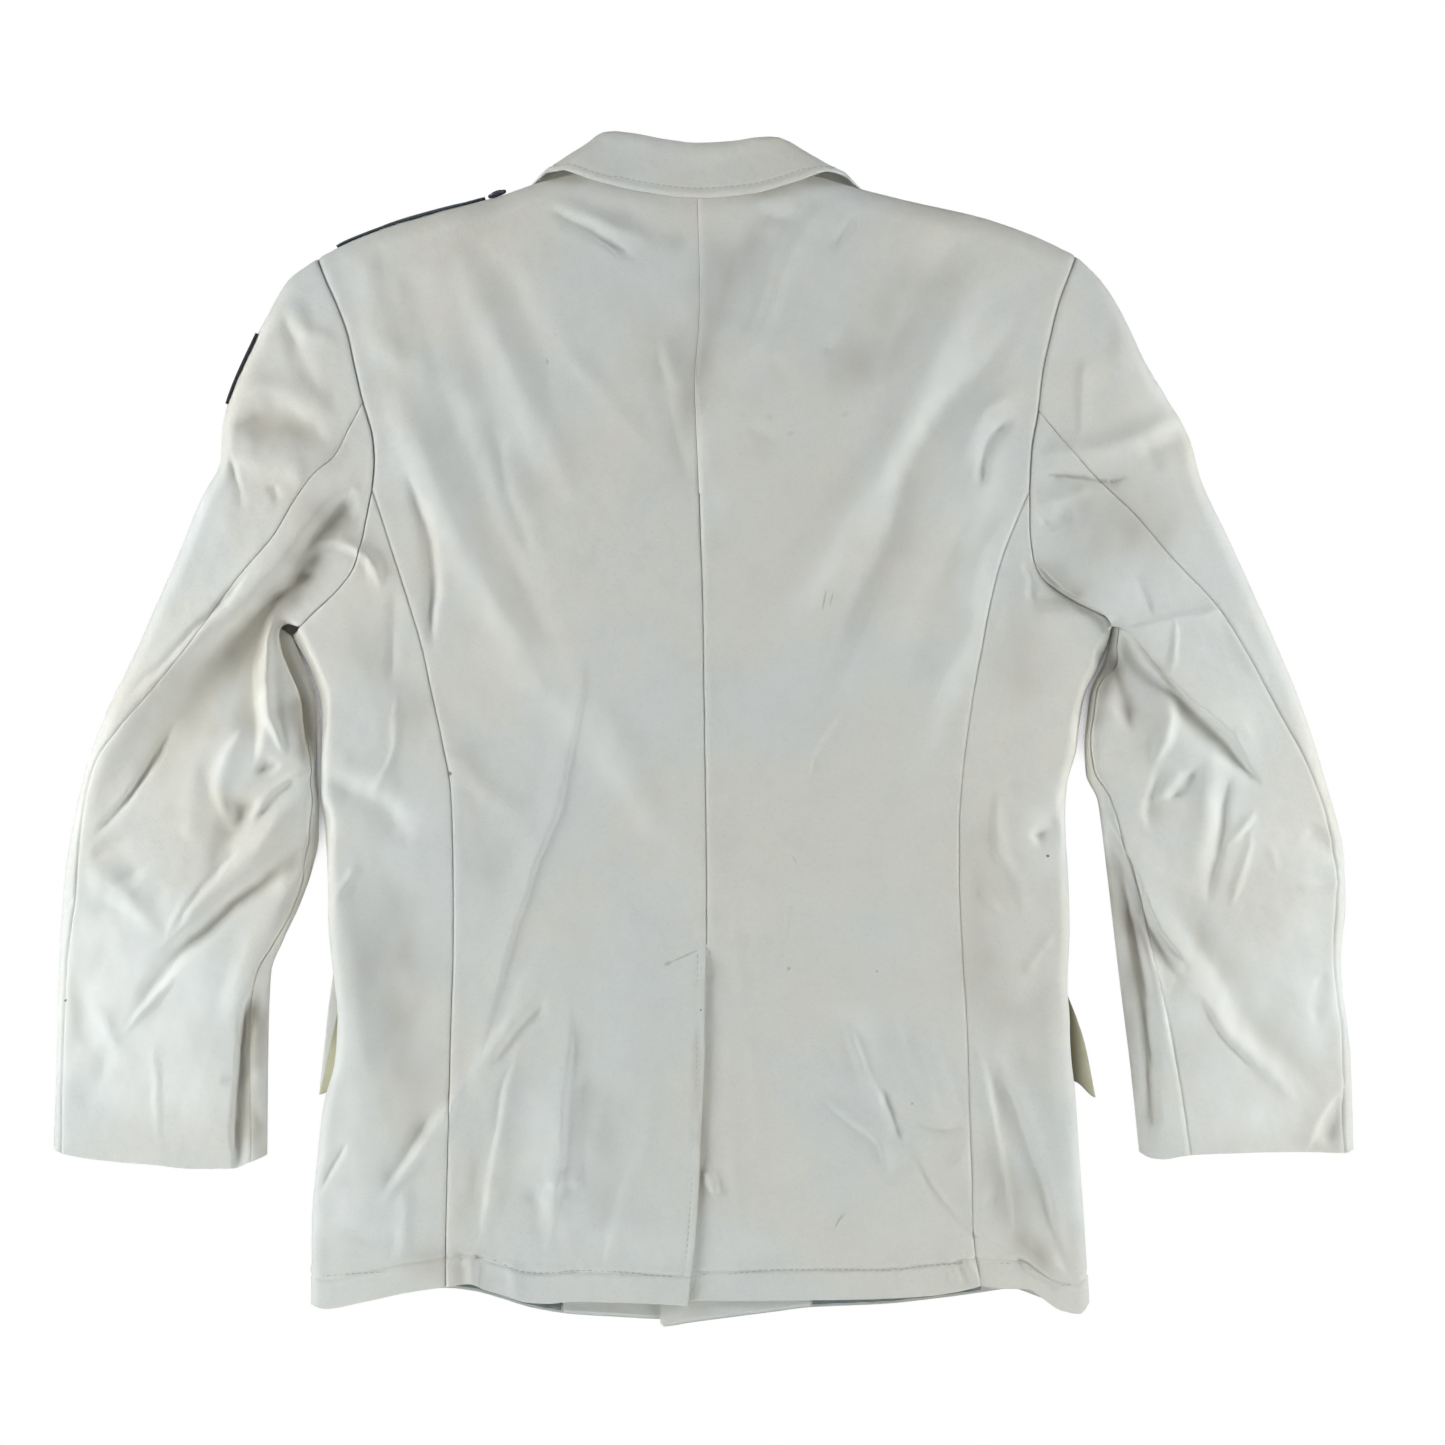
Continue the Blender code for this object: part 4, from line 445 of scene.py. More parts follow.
# ---- creases: place, points (x, y), width to the left and right of the path, height
# (+ ridge, - trough), how far a fold's edge leans over to the right ----
CREASES = [
 ("back_l", [(-213.4, 239.8), (-173.6, 147.3), (-94.9, 6.9)], 11, 14, 3.9, 0),
 ("back_l", [(-204.5, 178.1), (-186, 126.7), (-183.2, 54.8)], 5, 5, -3.38, 0),
 ("back_l", [(-186, 274), (-154.5, 164.4), (-98.3, 44.5)], 13, 13, -3.25, 0),
 ("back_l", [(-173.6, 342.5), (-142.1, 271.3), (-105.1, 191.8), (-77.7, 143.9)], 12, 12, 2.86, 0),
 ("back_l", [(-143.5, 208.9), (-131.2, 161), (-116.1, 116.5)], 5, 6, -2.08, 0),
 ("back_l", [(-142.1, 324), (-120.9, 278.8), (-101.7, 208.9)], 12, 12, -2.6, 0),
 ("back_l", [(-98.3, 263.7), (-65.4, 226.1), (-36.6, 193.2)], 8, 6, 1.43, 0),
 ("back_l", [(-108.6, 354.8), (-73.6, 335.7), (-43.5, 320.6)], 4, 3.5, -3.12, 0),
 ("back_l", [(-107.9, 363.1), (-79.1, 349.4), (-35.3, 331.5)], 6, 5, 2.21, 0),
 ("back_l", [(-33.9, 279.5), (-27.7, 238.4), (-20.9, 204.8), (-8.6, 163)], 4.5, 5.5, -1.56, 0),
 ("back_l", [(-29.8, 267.2), (-18.8, 239.8), (-12, 226.1)], 6, 5, 2.08, 0),
 ("back_l", [(-230.5, 328.8), (-224.3, 284.3), (-204.5, 241.1)], 9, 9, 1.95, 0),
 ("back_l", [(-199, 315.1), (-188.7, 274), (-180.5, 250)], 12, 12, -1.82, 0),
 ("back_l", [(-76.4, 61.7), (-101.7, -58.2), (-120.2, -106.9), (-138.7, -173.3), (-157.9, -232.9)], 1.7, 9, 2.21, 0),
 ("back_l", [(-175, -6.9), (-139.4, -48), (-108.6, -83.6)], 9, 9, 2.08, 0),
 ("back_l", [(-70.9, 20.6), (-43.5, -34.2), (-33.2, -82.2)], 10, 10, 1.56, 0),
 ("back_l", [(-106.5, -180.8), (-126.4, -206.9), (-147.6, -231.5)], 5, 6, -1.95, 0),
 ("back_l", [(-112, -178.1), (-133.9, -205.5), (-153.1, -228.8)], 4, 4, 2.08, 0),
 ("back_l", [(-124.3, -212.4), (-135.3, -252.8), (-141.5, -298), (-151.7, -349.4)], 8, 2.6, 2.34, 0),
 ("back_l", [(-150.4, -260.3), (-153.1, -301.4), (-159.9, -349.4)], 9, 7, -1.56, 0),
 ("back_l", [(-88.7, -181.5), (-96.2, -267.8), (-99, -306.9), (-105.8, -357.6)], 2.4, 9, 2.86, 0),
 ("back_l", [(-77.7, -226.1), (-82.5, -274), (-84.6, -304.8)], 9, 9, -2.34, 0),
 ("back_l", [(-117.5, -308.2), (-108.6, -332.2), (-112, -349.4)], 7, 7, -1.56, 0),
 ("back_l", [(-158.6, -234.3), (-175, -261.7), (-221.6, -326.7)], 4, 5, 2.86, 0),
 ("back_l", [(-179.8, -257.6), (-201, -287.7), (-221.6, -315.1)], 7, 7, -2.47, 0),
 ("back_l", [(-106.5, -312.4), (-94.2, -306.9), (-81.9, -306.9)], 5, 5, 2.21, 0),
 ("back_l", [(-46.2, -294.6), (-55.8, -328.8), (-66.8, -366.5)], 10, 4, 1.56, 0),
 ("back_l", [(-33.2, -239.8), (-40.1, -274), (-43.5, -308.2)], 7, 7, 1.17, 0),
 ("hem_l", [(-158.6, -357.6), (-157.9, -368.5), (-155.8, -380.9)], 3, 5, 2.86, 0),
 ("hem_l", [(-131.2, -360.3), (-128.4, -376.8), (-127.1, -387.7)], 5, 4, 1.56, 0),
 ("side_l", [(-256.5, -34.2), (-217.5, -55.5), (-196.9, -82.2)], 8, 10, -3.38, 0),
 ("side_l", [(-256.5, -20.6), (-227.1, -31.5), (-207.9, -48)], 9, 8, 2.86, 0),
 ("side_l", [(-216.1, -75.4), (-206.5, -150.7), (-201, -226.1)], 20, 20, -3.38, 0),
 ("side_l", [(-250.4, -102.8), (-238, -178.1), (-231.2, -246.6)], 11, 11, 3.12, 0),
 ("side_l", [(-207.9, 27.4), (-210, -9.6), (-225.7, -45.9)], 3, 2.4, 1.69, 0),
 ("side_l", [(-240.8, -278.1), (-250.4, -294.6), (-264.1, -319.2)], 2.4, 3, -1.95, 0),
 ("side_l", [(-201, -308.2), (-202.4, -335.7), (-207.9, -363.1)], 5, 5, 1.82, 0),
 ("side_l", [(-249, -339.1), (-228.4, -343.9), (-201, -349.4)], 7, 7, -1.82, 0),
 ("side_l", [(-251.7, -119.9), (-240.8, -102.8), (-233.9, -90.4)], 4, 4, 2.34, 0),
 ("side_l", [(-207.9, 95.9), (-210.6, 61.7), (-212, 27.4)], 5, 4, -1.56, 0),
 ("back_r", [(81.2, 363.1), (54.5, 315.8), (38.7, 271.3), (18.8, 226.1)], 8, 7, 2.99, 0),
 ("back_r", [(25.7, 350.7), (17.5, 311), (5.8, 274)], 7, 6, -1.69, 0),
 ("back_r", [(36.6, 351.4), (51, 347.3), (64, 348.7)], 4, 4, -1.82, 0),
 ("back_r", [(33.2, 359.6), (49, 358.3), (66.1, 361.7)], 6, 5, 1.56, 0),
 ("back_r", [(188.7, 335.7), (168.2, 271.3), (136, 204.8), (88.7, 126), (46.9, 54.8)], 13, 13, 3.9, 0),
 ("back_r", [(174.3, 338.4), (141.5, 289.8), (118.2, 239.8)], 13, 13, -2.6, 0),
 ("back_r", [(216.8, 284.3), (181.2, 234.3), (151.7, 202.1), (128.4, 139.1), (92.1, 54.8)], 10, 10, -3.12, 0),
 ("back_r", [(214.1, 230.2), (186.7, 213), (174.3, 174.7)], 6, 6, 2.34, 0),
 ("back_r", [(211.3, 214.4), (192.8, 193.2), (188.7, 163)], 5, 5, -2.86, 0),
 ("back_r", [(207.2, 152.1), (186.7, 112.3), (181.2, 73.3), (149.7, 6.9)], 9, 9, 3.25, 0),
 ("back_r", [(189.4, 158.9), (162.7, 99.3), (134.6, 30.8)], 13, 13, -2.6, 0),
 ("back_r", [(120.9, 99.3), (94.2, 36.3), (70.2, 0)], 7, 8, 1.56, 0),
 ("back_r", [(2.4, 250), (3.8, 178.1), (4.5, 89.1)], 5, 5, 1.3, 0),
 ("back_r", [(105.1, 354.1), (97.6, 341.1), (87.3, 324.7)], 3, 3, -1.3, 0),
 ("back_r", [(79.8, 258.9), (88, 261), (94.9, 263.7)], 5, 5, -1.3, 0),
 ("back_r", [(46.9, 252.1), (55.1, 243.9), (59.3, 235.6)], 5, 5, -1.17, 0),
 ("back_r", [(30.5, 206.9), (42.8, 198.7), (49.7, 191.8)], 5, 4, -1.3, 0),
 ("back_r", [(97.6, 16.4), (75, -13), (68.2, -38.4)], 2.5, 9, 1.82, 0),
 ("back_r", [(32.5, -205.5), (35.3, -252.8), (38.7, -285)], 4, 4, 1.17, 0),
 ("back_r", [(16.8, -198.7), (20.2, -282.9), (27.1, -346.6)], 4, 5, 1.3, 0),
 ("back_r", [(56.5, -106.9), (57.2, -137), (55.8, -164.4)], 3, 3, -0.91, 0),
 ("back_r", [(20.9, -116.5), (22.9, -157.6), (25.7, -195.9)], 4, 4, 1.04, 0),
 ("back_r", [(73, -246.6), (99, -261.7), (118.2, -276.7), (129.8, -309.6)], 5, 2.4, 2.6, 0),
 ("back_r", [(95.6, -194.5), (111.3, -234.3), (121.6, -265.8)], 2.2, 5, 2.6, 0),
 ("back_r", [(120.9, -243.9), (127.8, -263.7), (134.6, -282.2)], 2.4, 3, -2.34, 0),
 ("back_r", [(125, -187.7), (144.9, -237), (163.4, -269.9)], 4, 5, 2.08, 0),
 ("back_r", [(143.5, -205.5), (152.4, -236.3), (160.6, -264.4)], 3, 3, 1.3, 0),
 ("back_r", [(153.8, -191.8), (170.2, -239.8), (177.1, -267.2)], 4, 4, -1.3, 0),
 ("back_r", [(133.9, -267.2), (150.4, -304.1), (168.9, -328.1), (198.3, -357.6)], 3.6, 4.4, -2.08, 0),
 ("back_r", [(165.4, -287.7), (179.8, -308.2), (189.4, -325.4)], 12, 8, 2.86, 0),
 ("back_r", [(138, -265.8), (162, -272.6), (181.2, -268.5)], 4, 3, -2.08, 0),
 ("back_r", [(123.6, -308.2), (134.6, -298), (142.8, -294.6)], 7, 7, -1.82, 0),
 ("back_r", [(31.9, -301.4), (52.4, -308.2), (73, -298)], 10, 10, -1.56, 0),
 ("back_r", [(-2.4, -298.7), (3.1, -304.1), (8.6, -315.1)], 3, 3, 2.86, 0),
 ("hem_r", [(164.7, -361.7), (171.6, -369.9), (177.1, -379.5)], 2.6, 3.4, 2.34, 0),
 ("hem_r", [(178.4, -360.3), (183.9, -368.5), (189.4, -376.8)], 2.6, 3, 1.69, 0),
 ("hem_r", [(125, -356.2), (131.9, -364.4), (138.7, -374)], 4, 4, 1.3, 0),
 ("side_r", [(182.6, -205.5), (196.3, -261.7), (205.2, -306.9), (208.6, -353.5)], 2.6, 3.5, 2.34, 0),
 ("side_r", [(190.8, -223.3), (215.4, -280.9), (238.7, -345.9)], 12, 10, -3.51, 0),
 ("side_r", [(197.6, -217.8), (220.9, -270.6), (249.7, -364.4)], 5, 3, 2.34, 0),
 ("side_r", [(208.6, -342.5), (227.8, -357.6), (246.9, -371.3)], 4, 4, 2.86, 0),
 ("side_r", [(211.3, -356.2), (226.4, -371.3), (241.5, -382.2)], 5, 5, -1.95, 0),
 ("side_r", [(237.4, -157.6), (235.3, -215.8), (248.3, -287.7)], 11, 10, 3.38, 0),
 ("side_r", [(212.7, -174.7), (213.4, -205.5), (216.8, -239.8)], 13, 13, -2.86, 0),
 ("side_r", [(199, -38.4), (199, -79.5), (214.1, -109.6), (220.9, -133.6)], 8, 2.6, 2.34, 0),
 ("side_r", [(205.8, -48), (207.2, -82.2), (218.2, -102.8)], 10, 10, -1.56, 0),
 ("side_r", [(222.3, -75.4), (233.2, -69.9), (244.2, -65.8)], 7, 7, -3.64, 0),
 ("side_r", [(210, -35.6), (226.4, -41.1), (242.8, -52.1)], 8, 8, 2.6, 0),
 ("side_r", [(186, -106.2), (194.9, -116.5), (201.7, -123.3)], 3, 3, 1.3, 0),
 ("side_r", [(237.4, -137), (227.8, -150.7), (216.8, -167.8)], 3, 3, 1.69, 0),
 ("side_r", [(216.8, 95.9), (231.9, 87.7), (248.3, 86.3)], 5, 5, -2.08, 0),
 ("side_r", [(215.4, 116.5), (222.3, 106.2), (226.4, 89.1)], 4, 4, -1.82, 0),
 ("side_r", [(223.7, 80.8), (244.2, 78.1), (268.9, 76.7)], 6, 7, 2.08, 0),
 ("sleeve_l", [(-227.1, 175.4), (-275.7, 128.8), (-313.4, 87), (-365.4, 41.8), (-401.8, -10.3), (-421.6, -65.8)], 11, 17, 6.5, 0),
 ("sleeve_l", [(-238, 164.4), (-261.3, 132.9), (-287.4, 100)], 12, 5, -6.5, 0),
 ("sleeve_l", [(-277.1, 116.5), (-247.6, 128.1), (-229.1, 118.5), (-216.1, 93.2)], 5, 4, 4.2, 0),
 ("sleeve_l", [(-298.3, 86.3), (-281.9, 98.6), (-261.3, 108.2)], 8, 8, -4.0, 0),
 ("sleeve_l", [(-323, 206.9), (-285.3, 211), (-250.4, 193.2)], 8, 11, -3.8, 0),
 ("sleeve_l", [(-318.9, 234.3), (-290.1, 232.2), (-250.4, 213.7)], 9, 9, 2.6, 0),
 ("sleeve_l", [(-317.5, 183.6), (-285.3, 182.9), (-270.2, 164.4)], 9, 8, 2.2, 0),
 ("sleeve_l", [(-286, 282.2), (-273.7, 253.5), (-261.3, 230.2)], 5, 5, -2.2, 0),
 ("sleeve_l", [(-283.2, 294.6), (-266.8, 267.8), (-244.9, 263)], 6, 6, 1.8, 0),
 ("sleeve_l", [(-321.6, 187.7), (-316.8, 168.5), (-312.7, 148)], 2.4, 2.6, -1.8, 0),
 ("sleeve_l", [(-295.6, 168.5), (-291.5, 161.7), (-289.4, 153.4)], 2.4, 3, -1.4, 0),
 ("sleeve_l", [(-302.4, 112.3), (-355.9, 56.2), (-392.8, 18.5)], 3, 4, -2.4, 0),
 ("sleeve_l", [(-357.9, 9.6), (-375, -25.3), (-416.1, -74.7)], 3.4, 2.4, -3.4, 0),
 ("sleeve_l", [(-379.1, -34.2), (-391.5, -46.6), (-406.5, -64.4)], 5, 4, 1.6, 0),
 ("sleeve_l", [(-409.3, -74), (-398.3, -89.1), (-386, -106.9)], 13, 13, -2.4, 0),
 ("sleeve_l", [(-421.6, -82.2), (-388.7, -117.8), (-365.4, -142.5)], 8, 8, 2.8, 0),
 ("sleeve_l", [(-315.4, -79.5), (-340.8, -107.5), (-364.1, -142.5)], 3, 2.6, -2.4, 0),
 ("sleeve_l", [(-273.7, -42.5), (-306.5, -86.3), (-349, -123.3), (-370.9, -150.7)], 9, 8, 4.8, 0),
 ("sleeve_l", [(-269.5, -76.7), (-317.5, -117.8), (-354.5, -149.3), (-391.5, -193.2)], 7, 6, -4.8, 0),
 ("sleeve_l", [(-354.5, -165.8), (-377.8, -186.3), (-392.8, -204.8)], 2, 2, 2.2, 0),
 ("sleeve_l", [(-274.3, -97.3), (-306.5, -149.3), (-323, -205.5)], 12, 10, 3.6, 0),
 ("sleeve_l", [(-291.5, 80.8), (-296.3, 54.8), (-295.6, 17.1), (-281.9, -17.8)], 4, 4, 6.0, 0),
 ("sleeve_l", [(-286, 80.8), (-277.8, 48), (-268.2, 17.1), (-262.7, -20.6)], 8, 7, -7.5, 0),
 ("sleeve_l", [(-279.1, 99.3), (-299.7, 74), (-305.9, 34.2), (-305.2, -3.4), (-309.3, -30.8)], 5, 26, -7.0, 0),
 ("sleeve_l", [(-243.5, 138.4), (-290.1, 87.7), (-329.8, 37), (-368.2, -15.1), (-394.2, -56.2)], 20, 11, -3.8, 0),
 ("sleeve_l", [(-306.5, -38.4), (-318.9, -67.1), (-335.3, -93.2)], 9, 9, -3.6, 0),
 ("sleeve_l", [(-254.5, -48), (-266.8, -74), (-284.6, -105.5)], 9, 10, -3.4, 0),
 ("sleeve_l", [(-418.9, -113.7), (-388.7, -126), (-360, -105.5)], 10, 10, -2.0, 0),
 ("sleeve_l", [(-316.1, 0), (-327.1, -41.1), (-316.8, -72.6)], 6, 5, 3.2, 0),
 ("sleeve_l", [(-286, -21.9), (-295.6, -26), (-306.5, -28.8)], 4, 5, -2.8, 0),
 ("sleeve_l", [(-262.7, -26), (-282.6, -36.3), (-307.9, -61.7)], 4, 4, 3.0, 0),
 ("sleeve_l", [(-273.7, -31.5), (-290.1, -45.2), (-302.4, -63)], 3, 3, -2.6, 0),
 ("sleeve_l", [(-345.6, -24), (-347.6, -48), (-349.7, -74)], 9, 8, 1.8, 0),
 ("sleeve_l", [(-375, -215.1), (-373, -246.6), (-369.6, -285)], 2.4, 2.6, 1.0, 0),
 ("sleeve_l", [(-425.7, -167.8), (-421.6, -191.8), (-416.8, -217.8)], 8, 7, -1.6, 0),
 ("sleeve_l", [(-400.4, -213.7), (-413.4, -236.3), (-424.4, -258.9)], 9, 9, -1.6, 0),
 ("sleeve_l", [(-407.9, -185), (-403.8, -201.4), (-398.3, -217.8)], 5, 5, 1.3, 0),
 ("sleeve_l", [(-301.1, -163), (-312, -195.9), (-317.5, -239.8), (-319.6, -302.8)], 11, 1.6, -8.0, 0),
 ("sleeve_l", [(-329.8, -239.1), (-323, -237.7), (-315.4, -236.3)], 2.4, 2.6, -1.3, 0),
 ("sleeve_l", [(-436.7, -120.6), (-432.6, -117.8), (-427.8, -113.7)], 2, 2, -1.2, 0),
 ("sleeve_r", [(220.9, 118.5), (244.9, 99.3), (277.8, 78.8), (307.2, 48), (348.3, 7.5), (374.4, -23.3)], 24, 1.3, 6.5, 3.0),
 ("sleeve_r", [(278.5, 71.2), (304.5, 39.7), (342.8, 0), (382.6, -41.1)], 2.6, 9, -5.0, 0),
 ("sleeve_r", [(226.4, 183.6), (280.5, 194.5), (327.1, 211.7)], 8, 9, 3.4, 0),
 ("sleeve_r", [(227.8, 173.3), (266.8, 169.2), (292.2, 171.2)], 2.4, 2.6, -2.4, 0),
 ("sleeve_r", [(296.3, 183.6), (312.7, 194.5), (326.4, 202.8)], 9, 9, -2.4, 0),
 ("sleeve_r", [(227.8, 154.1), (245.6, 159.6), (264.8, 163)], 6, 5, 1.8, 0),
 ("sleeve_r", [(227.8, 138.4), (238.7, 143.9), (249.7, 148)], 6, 5, -1.5, 0),
 ("sleeve_r", [(257.9, 252.1), (257.2, 226.1), (256.5, 198.7)], 6, 2.4, 1.4, 0),
 ("sleeve_r", [(283.9, 274), (282.6, 253.5), (275.7, 245.2)], 6, 6, 1.0, 0),
 ("sleeve_r", [(288, 71.2), (323, 75.4), (353.8, 83.6)], 2.2, 8, 1.9, 0),
 ("sleeve_r", [(320.2, 74), (319.6, 58.2), (318.2, 39.7)], 2.2, 2.4, 1.2, 0),
 ("sleeve_r", [(353.8, 78.8), (367.5, 54.8), (383.9, 27.4)], 6, 6, 1.3, 0),
 ("sleeve_r", [(296.9, 109.6), (299, 89.1), (303.1, 76.7)], 3, 4, -1.3, 0),
 ("sleeve_r", [(286, 64.4), (305.9, 42.5), (316.8, 13.7), (304.5, -27.4)], 5, 8, 4.6, 0),
 ("sleeve_r", [(266.1, 58.2), (282.6, 35.6), (292.2, -3.4)], 9, 8, -5.6, 0),
 ("sleeve_r", [(336, -24), (326.4, -37), (315.4, -50.7)], 5, 5, -2.8, 0),
 ("sleeve_r", [(310, -21.9), (305.9, -48), (303.1, -69.9)], 5, 4, -2.0, 0),
 ("sleeve_r", [(323.7, -23.3), (315.4, -37), (307.2, -50.7)], 3.6, 3.6, 1.8, 0),
 ("sleeve_r", [(360, -27.4), (351.1, -76), (342.2, -123.3)], 3.0, 8, -2.6, 0),
 ("sleeve_r", [(347, -13.7), (340.1, -61.7), (334.6, -102.8)], 8, 8, 2.2, 0),
 ("sleeve_r", [(376.4, -52.1), (366.1, -65.8), (353.1, -79.5)], 2.6, 3, 2.0, 0),
 ("sleeve_r", [(373, -65.8), (367.5, -90.4), (359.3, -123.3)], 2.4, 2.6, 1.7, 0),
 ("sleeve_r", [(382.6, -75.4), (386.7, -89.1), (388.1, -98.6)], 3, 3, 1.0, 0),
 ("sleeve_r", [(290.8, -90.4), (327.1, -131.5), (351.1, -165.8), (377.8, -202.8), (415.5, -246.6)], 14, 11, -4.6, 0),
 ("sleeve_r", [(329.8, -172.6), (361.3, -209.6), (404.5, -253.5)], 5, 5, 2.2, 0),
 ("sleeve_r", [(334.6, -179.5), (353.8, -207.6), (379.1, -235.6)], 1.9, 2.1, -1.9, 0),
 ("sleeve_r", [(330.5, -156.2), (324.3, -168.5), (316.8, -182.2)], 4, 4, -1.0, 0),
 ("sleeve_r", [(273, -58.2), (284.6, -76.7), (298.3, -106.2), (312, -130.8), (333.3, -163)], 17, 1.3, 4.6, 2.0),
 ("sleeve_r", [(275.7, -76.7), (288, -105.5), (304.5, -137), (327.8, -178.1)], 3.4, 9, -3.2, 0),
 ("sleeve_r", [(283.9, -94.5), (301.1, -143.9), (311.3, -191.8), (316.1, -239.8)], 3.6, 2.4, 2.4, 0),
 ("sleeve_r", [(281.2, -94.5), (296.9, -154.1), (304.5, -226.1), (306.5, -298.7)], 1.8, 10, -6.5, 0),
 ("sleeve_r", [(440.1, -230.2), (426.4, -255.5), (408.6, -289.1)], 2.4, 8, 1.8, 0),
 ("sleeve_r", [(436, -248), (430.5, -267.2), (425, -287.7)], 7, 7, -2.8, 0),
 ("sleeve_r", [(423.7, -163), (419.6, -180.8), (416.1, -200)], 5, 5, -1.8, 0),
 ("sleeve_r", [(407.2, -63), (420.9, -76.7), (436, -90.4)], 7, 7, -2.4, 0),
 ("sleeve_r", [(401.8, -105.5), (419.6, -106.9), (438.7, -100)], 4, 4, 1.4, 0),
 ("sleeve_r", [(357.9, -3.4), (364.8, 1.4), (370.2, -5.5)], 3, 3, 1.2, 0),
]

